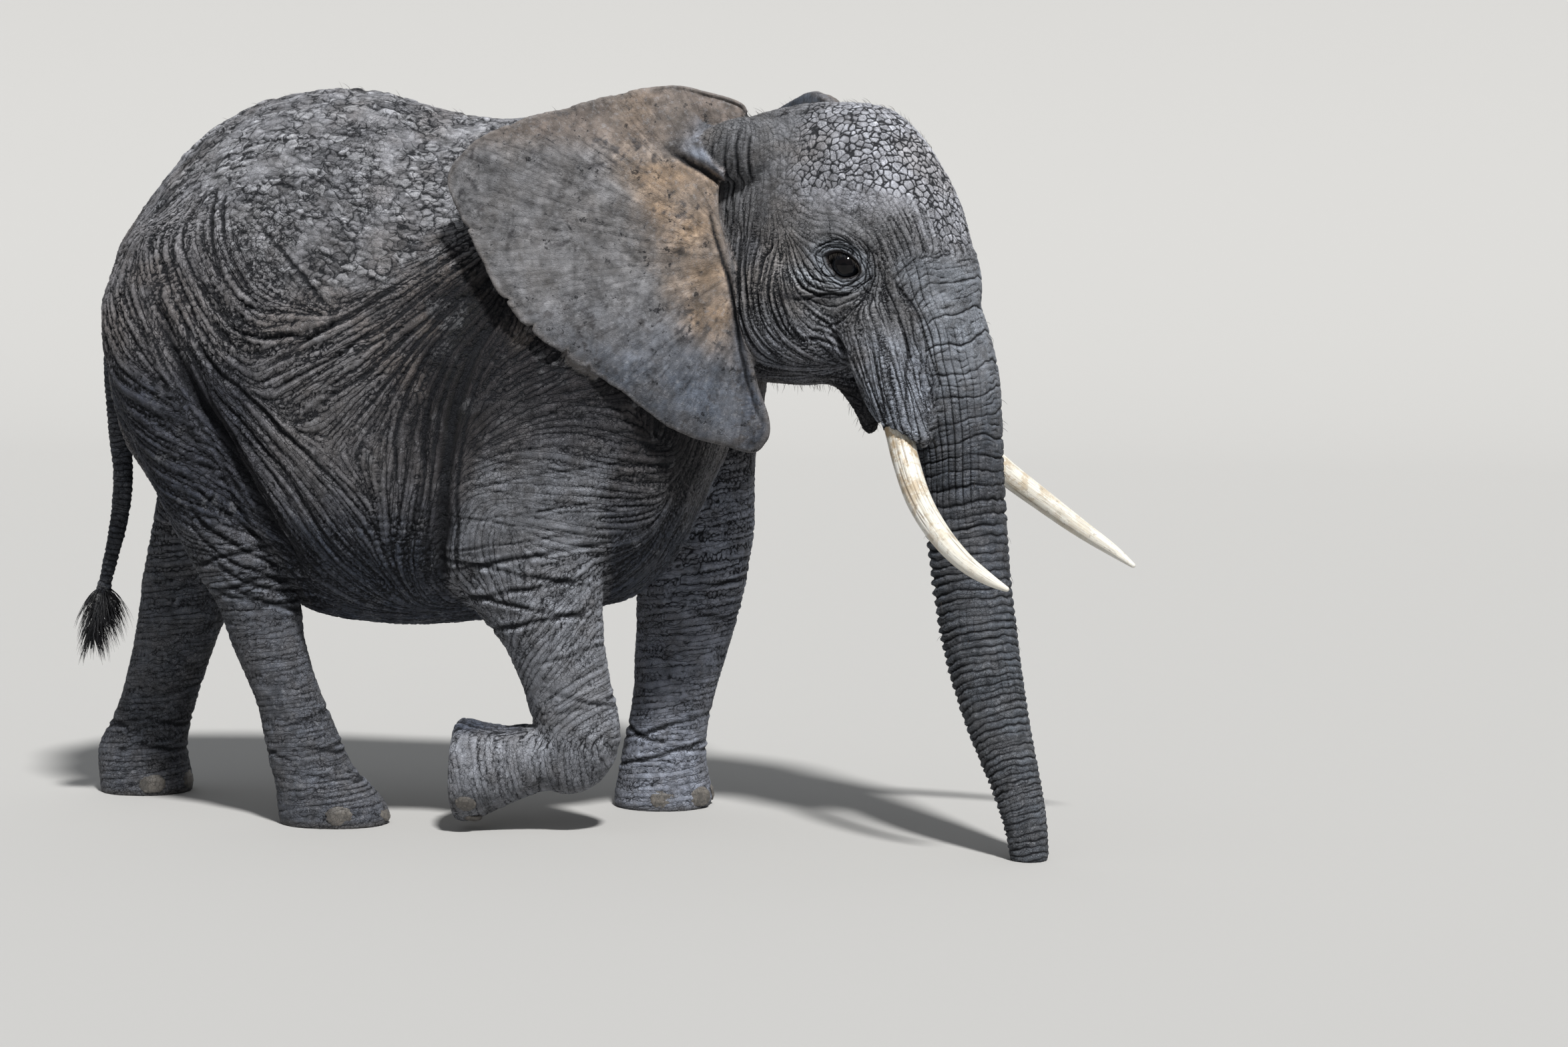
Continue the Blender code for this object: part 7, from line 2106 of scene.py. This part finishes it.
# ---------------------------------------------------------------- floor, light and camera
def floor():
    """A plain sweep: a level floor that curves up far behind."""
    run = [(-30.0, 0.0), (16.0, 0.0)] + [(16.0 + 14.0 * math.sin(t), 14.0 * (1 - math.cos(t))) for t in np.linspace(0.06, math.pi / 2, 24)] + [(30.0, 40.0)]
    m = bpy.data.meshes.new("floor")
    m.from_pydata([(x, y, z) for y, z in run for x in (-45, 45)], [], [(2 * k, 2 * k + 1, 2 * k + 3, 2 * k + 2) for k in range(len(run) - 1)])
    m.shade_smooth()
    o = link("floor", m)
    g = Graph("floor_pale")
    g.shader.inputs["Base Color"].default_value = (0.44, 0.437, 0.43, 1.0)
    g.shader.inputs["Roughness"].default_value = 0.95
    g.shader.inputs["Specular IOR Level"].default_value = 0.1
    m.materials.append(g.material)


def sun(name, way, strength, spread, colour=(1, 1, 1)):
    data = bpy.data.lights.new(name, "SUN")
    data.energy = strength
    data.angle = math.radians(spread)
    data.color = colour
    o = bpy.data.objects.new(name, data)
    bpy.context.scene.collection.objects.link(o)
    o.rotation_euler = Vector(way).to_track_quat("-Z", "Y").to_euler()


floor()
sun("key", (-0.34, 0.58, -1.0), 4.4, 6, (1.0, 0.99, 0.97))
sun("sky", (0.20, -0.25, -1.0), 0.40, 70, (0.90, 0.95, 1.0))
world = bpy.data.worlds.new("studio") if not bpy.context.scene.world else bpy.context.scene.world
bpy.context.scene.world = world
world.use_nodes = True
world.node_tree.nodes["Background"].inputs[0].default_value = (0.93, 0.96, 1.0, 1.0)
world.node_tree.nodes["Background"].inputs[1].default_value = 0.20

camera = bpy.data.cameras.new("camera")
camera.lens = 90.531
camera.sensor_width = 36.0
camera.sensor_fit = "HORIZONTAL"
camera.clip_end = 200.0
eye_of = bpy.data.objects.new("camera", camera)
bpy.context.scene.collection.objects.link(eye_of)
stand = np.array([3.0601, -13.7251, 2.4]) + MOVE * [1, 1, 0]
aim = np.array([0.64, 0.0, 1.071]) + MOVE * [1, 1, 0]
eye_of.location = tuple(stand)
eye_of.rotation_euler = Vector(aim - stand).to_track_quat("-Z", "Y").to_euler()
bpy.context.scene.camera = eye_of
bpy.context.scene.view_settings.view_transform = "Standard"
# ---------------------------------------------------------------- hair: the tail's tuft, bristles and lashes
def hair_material(name, dark_colour, pale_colour):
    g = Graph(name)
    g.put(g.shader.inputs["Base Color"], g.blend(g.attr("shade", "Fac"), dark_colour, pale_colour))
    g.shader.inputs["Roughness"].default_value = 0.42
    g.shader.inputs["Specular IOR Level"].default_value = 0.35
    return g.material


bpy.context.view_layer.update()
SKIN_BM = bmesh.new()
SKIN_BM.from_mesh(skin.data)
SKIN_TREE = BVHTree.FromBMesh(SKIN_BM)
SKIN_BM.faces.ensure_lookup_table()
SKIN_UV = SKIN_BM.loops.layers.uv["OFBake"]


def on_skin(p):
    """The nearest place on the skin, its normal, and its place on the skin's map."""
    where, normal, face, _ = SKIN_TREE.find_nearest(Vector(p))
    loops = SKIN_BM.faces[face].loops
    uv = sum((l[SKIN_UV].uv for l in loops), Vector((0.0, 0.0))) / len(loops)
    return np.array(where), np.array(normal), np.array(uv)


def strands(name, hairs, material, nodes, sides=4, joints=7):
    """Tapered, bent hairs as one closed mesh. Each hair is (root, way, bend, length, radius, shade)."""
    roots, uvs = [], []
    for h in hairs:
        where, _, uv = on_skin(h[0])
        roots.append(where)
        uvs.append(uv)
    n = len(hairs)
    root = np.array(roots)
    way, bend = (unit(np.array([h[k] for h in hairs], float)) for k in (1, 2))
    length, radius, shade = (np.array([h[k] for h in hairs], float) for k in (3, 4, 5))
    t = np.linspace(-0.04, 1.0, joints + 1)
    curve = root[:, None] + length[:, None, None] * (way[:, None] * (t * (1 - 0.35 * np.clip(t, 0, 1)))[None, :, None] + bend[:, None] * (0.62 * np.clip(t, 0, 1) ** 2)[None, :, None])
    curl = DICE.normal(size=(n, 1, 3)) * 0.035 * length[:, None, None] * np.sin(t * 5.0)[None, :, None]
    curve = curve + curl * np.clip(t, 0, 1)[None, :, None]
    run = unit(np.gradient(curve, axis=1))
    first = unit(np.cross(run, np.array([0.31, 0.87, 0.38])))
    second = np.cross(run, first)
    thick = radius[:, None] * np.interp(t, [0, 0.15, 0.6, 1.0], [1.0, 1.0, 0.75, 0.12])
    turn = np.arange(sides) * 2 * math.pi / sides
    ring_ = first[:, :, None] * np.cos(turn)[None, None, :, None] + second[:, :, None] * np.sin(turn)[None, None, :, None]
    points = curve[:, :, None] + ring_ * thick[:, :, None, None]
    rows = joints + 1
    base = (np.arange(n) * rows * sides)[:, None, None]
    i, j = np.meshgrid(np.arange(joints), np.arange(sides), indexing="ij")
    k = (j + 1) % sides
    quads = np.stack([i * sides + j, i * sides + k, (i + 1) * sides + k, (i + 1) * sides + j], 2).reshape(1, -1, 4) + base
    faces = [tuple(f) for f in quads.reshape(-1, 4)]
    for s in range(n):
        b = s * rows * sides
        faces.append(tuple(b + q for q in range(sides - 1, -1, -1)))
        faces.append(tuple(b + joints * sides + q for q in range(sides)))
    mesh_ = bpy.data.meshes.new(name)
    mesh_.from_pydata(points.reshape(-1, 3), [], faces)
    if signed_volume(mesh_) < 0:
        mesh_.flip_normals()
    store(mesh_, "shade", np.repeat(shade, rows * sides))
    layer = mesh_.uv_layers.new(name="OFBake")
    index = np.empty(len(mesh_.loops), np.int32)
    mesh_.loops.foreach_get("vertex_index", index)
    hair = index // (rows * sides)
    step_ = (index % (rows * sides)) // sides
    corner = turn[index % sides]
    patch = np.stack([0.0013 * np.cos(corner), 0.0026 * (step_ / joints - 0.5) + 0.0003 * np.sin(corner)], 1)
    layer.data.foreach_set("uv", (np.array(uvs)[hair] + patch).astype(np.float32).ravel())
    mesh_.shade_smooth()
    mesh_.materials.append(material)
    o = link(name, mesh_)
    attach(o, "root")
    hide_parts(*nodes)
    return o


TAIL_HAIR = hair_material("tail_hair", (0.0045, 0.0048, 0.006), (0.030, 0.030, 0.034))
BRISTLE = hair_material("bristle", (0.010, 0.009, 0.009), (0.060, 0.050, 0.042))
tail_line = fair(TAIL_ROWS, 200)
tail_line = tail_line[np.argsort(tail_line[:, 2])]
hairs = []
for k in range(560):
    z = 0.60 + 0.19 * DICE.random() ** 0.8
    c = np.array([np.interp(z, tail_line[:, 2], tail_line[:, j]) for j in (0, 1)] + [z])
    r = np.interp(z, tail_line[:, 2], tail_line[:, 3])
    t = (0.0 if DICE.random() < 0.58 else math.pi) + DICE.normal() * 0.75
    radial = np.array([math.cos(t), math.sin(t), 0.0])
    lower = (0.79 - z) / 0.19
    out_ = 0.95 - 0.35 * lower + 0.25 * DICE.random()
    way = radial * out_ + np.array([0.10 * DICE.normal(), 0.10 * DICE.normal(), -0.75 - 0.5 * lower])
    bend = radial * 0.10 + np.array([0.0, 0.0, -1.0])
    length = (0.060 + 0.075 * DICE.random() ** 1.5) * (1.0 - 0.25 * lower)
    hairs.append((c + radial * r + MOVE, way, bend, length, 0.0011 + 0.0007 * DICE.random(), DICE.random() ** 2))
strands("tail_tuft_hair", hairs, TAIL_HAIR, ("tail_tuft",))

# sparse bristles on the crown, the back, the chin and the trunk
pick = np.clip(0.6 * HEADW * rise(Z, 2.25, 2.40) + 0.12 * BODYW * rise(N[:, 2], 0.75, 0.95) + 0.8 * HEADW * rise(1.66 - Z, 0.0, 0.10) * rise(0.66 - ahead, 0.0, 0.08) + 0.15 * TRUNKW * rise(Z, 0.5, 0.8), 0, 1) * (Z > 0.1)
area_ = (eye_zone | face_zone_points) * 0.25 + ~(eye_zone | face_zone_points) * 1.0
chance = pick * area_
chosen = DICE.choice(n_points, 800, replace=False, p=chance / chance.sum())
hairs = []
for k in chosen:
    n = N[k]
    lie = unit(np.array([-0.7, 0.0, 0.15]) + 0.3 * DICE.normal(size=3))
    if Z[k] < 1.9:
        lie = unit(np.array([0.1, 0.0, -1.0]) + 0.3 * DICE.normal(size=3))
    hairs.append((P[k], n * 0.85 + lie * 0.7, lie, 0.014 + 0.020 * DICE.random(), 0.00050 + 0.0003 * DICE.random(), DICE.random()))
strands("body_bristles", hairs, BRISTLE, ("body",), 3, 3)

# lashes along the upper lids
hairs = []
for side in (-1, 1):
    at, way_, a, u = eye_frame(side)
    for k in range(64):
        t = math.radians(18 + 150 * (k + DICE.random()) / 64)
        e1 = 0.059 * 1.04 * math.cos(t)
        e2 = 0.0395 * 1.04 * math.sin(t)
        A = math.cos(SLANT) * e1 + math.sin(SLANT) * e2
        U = -math.sin(SLANT) * e1 + math.cos(SLANT) * e2
        spot = at + a * A + u * U + way_ * BALL * 0.60 + MOVE
        outward = a * A + u * U
        way = way_ * 0.9 + unit(outward) * 0.15 - u * 0.40 + 0.10 * DICE.normal(size=3)
        hairs.append((spot, way, -u + 0.3 * a, 0.020 + 0.016 * DICE.random(), 0.00055, 0.25 + 0.5 * DICE.random()))
strands("eye_lashes", hairs, BRISTLE, ("head",), 3, 4)
SKIN_BM.free()
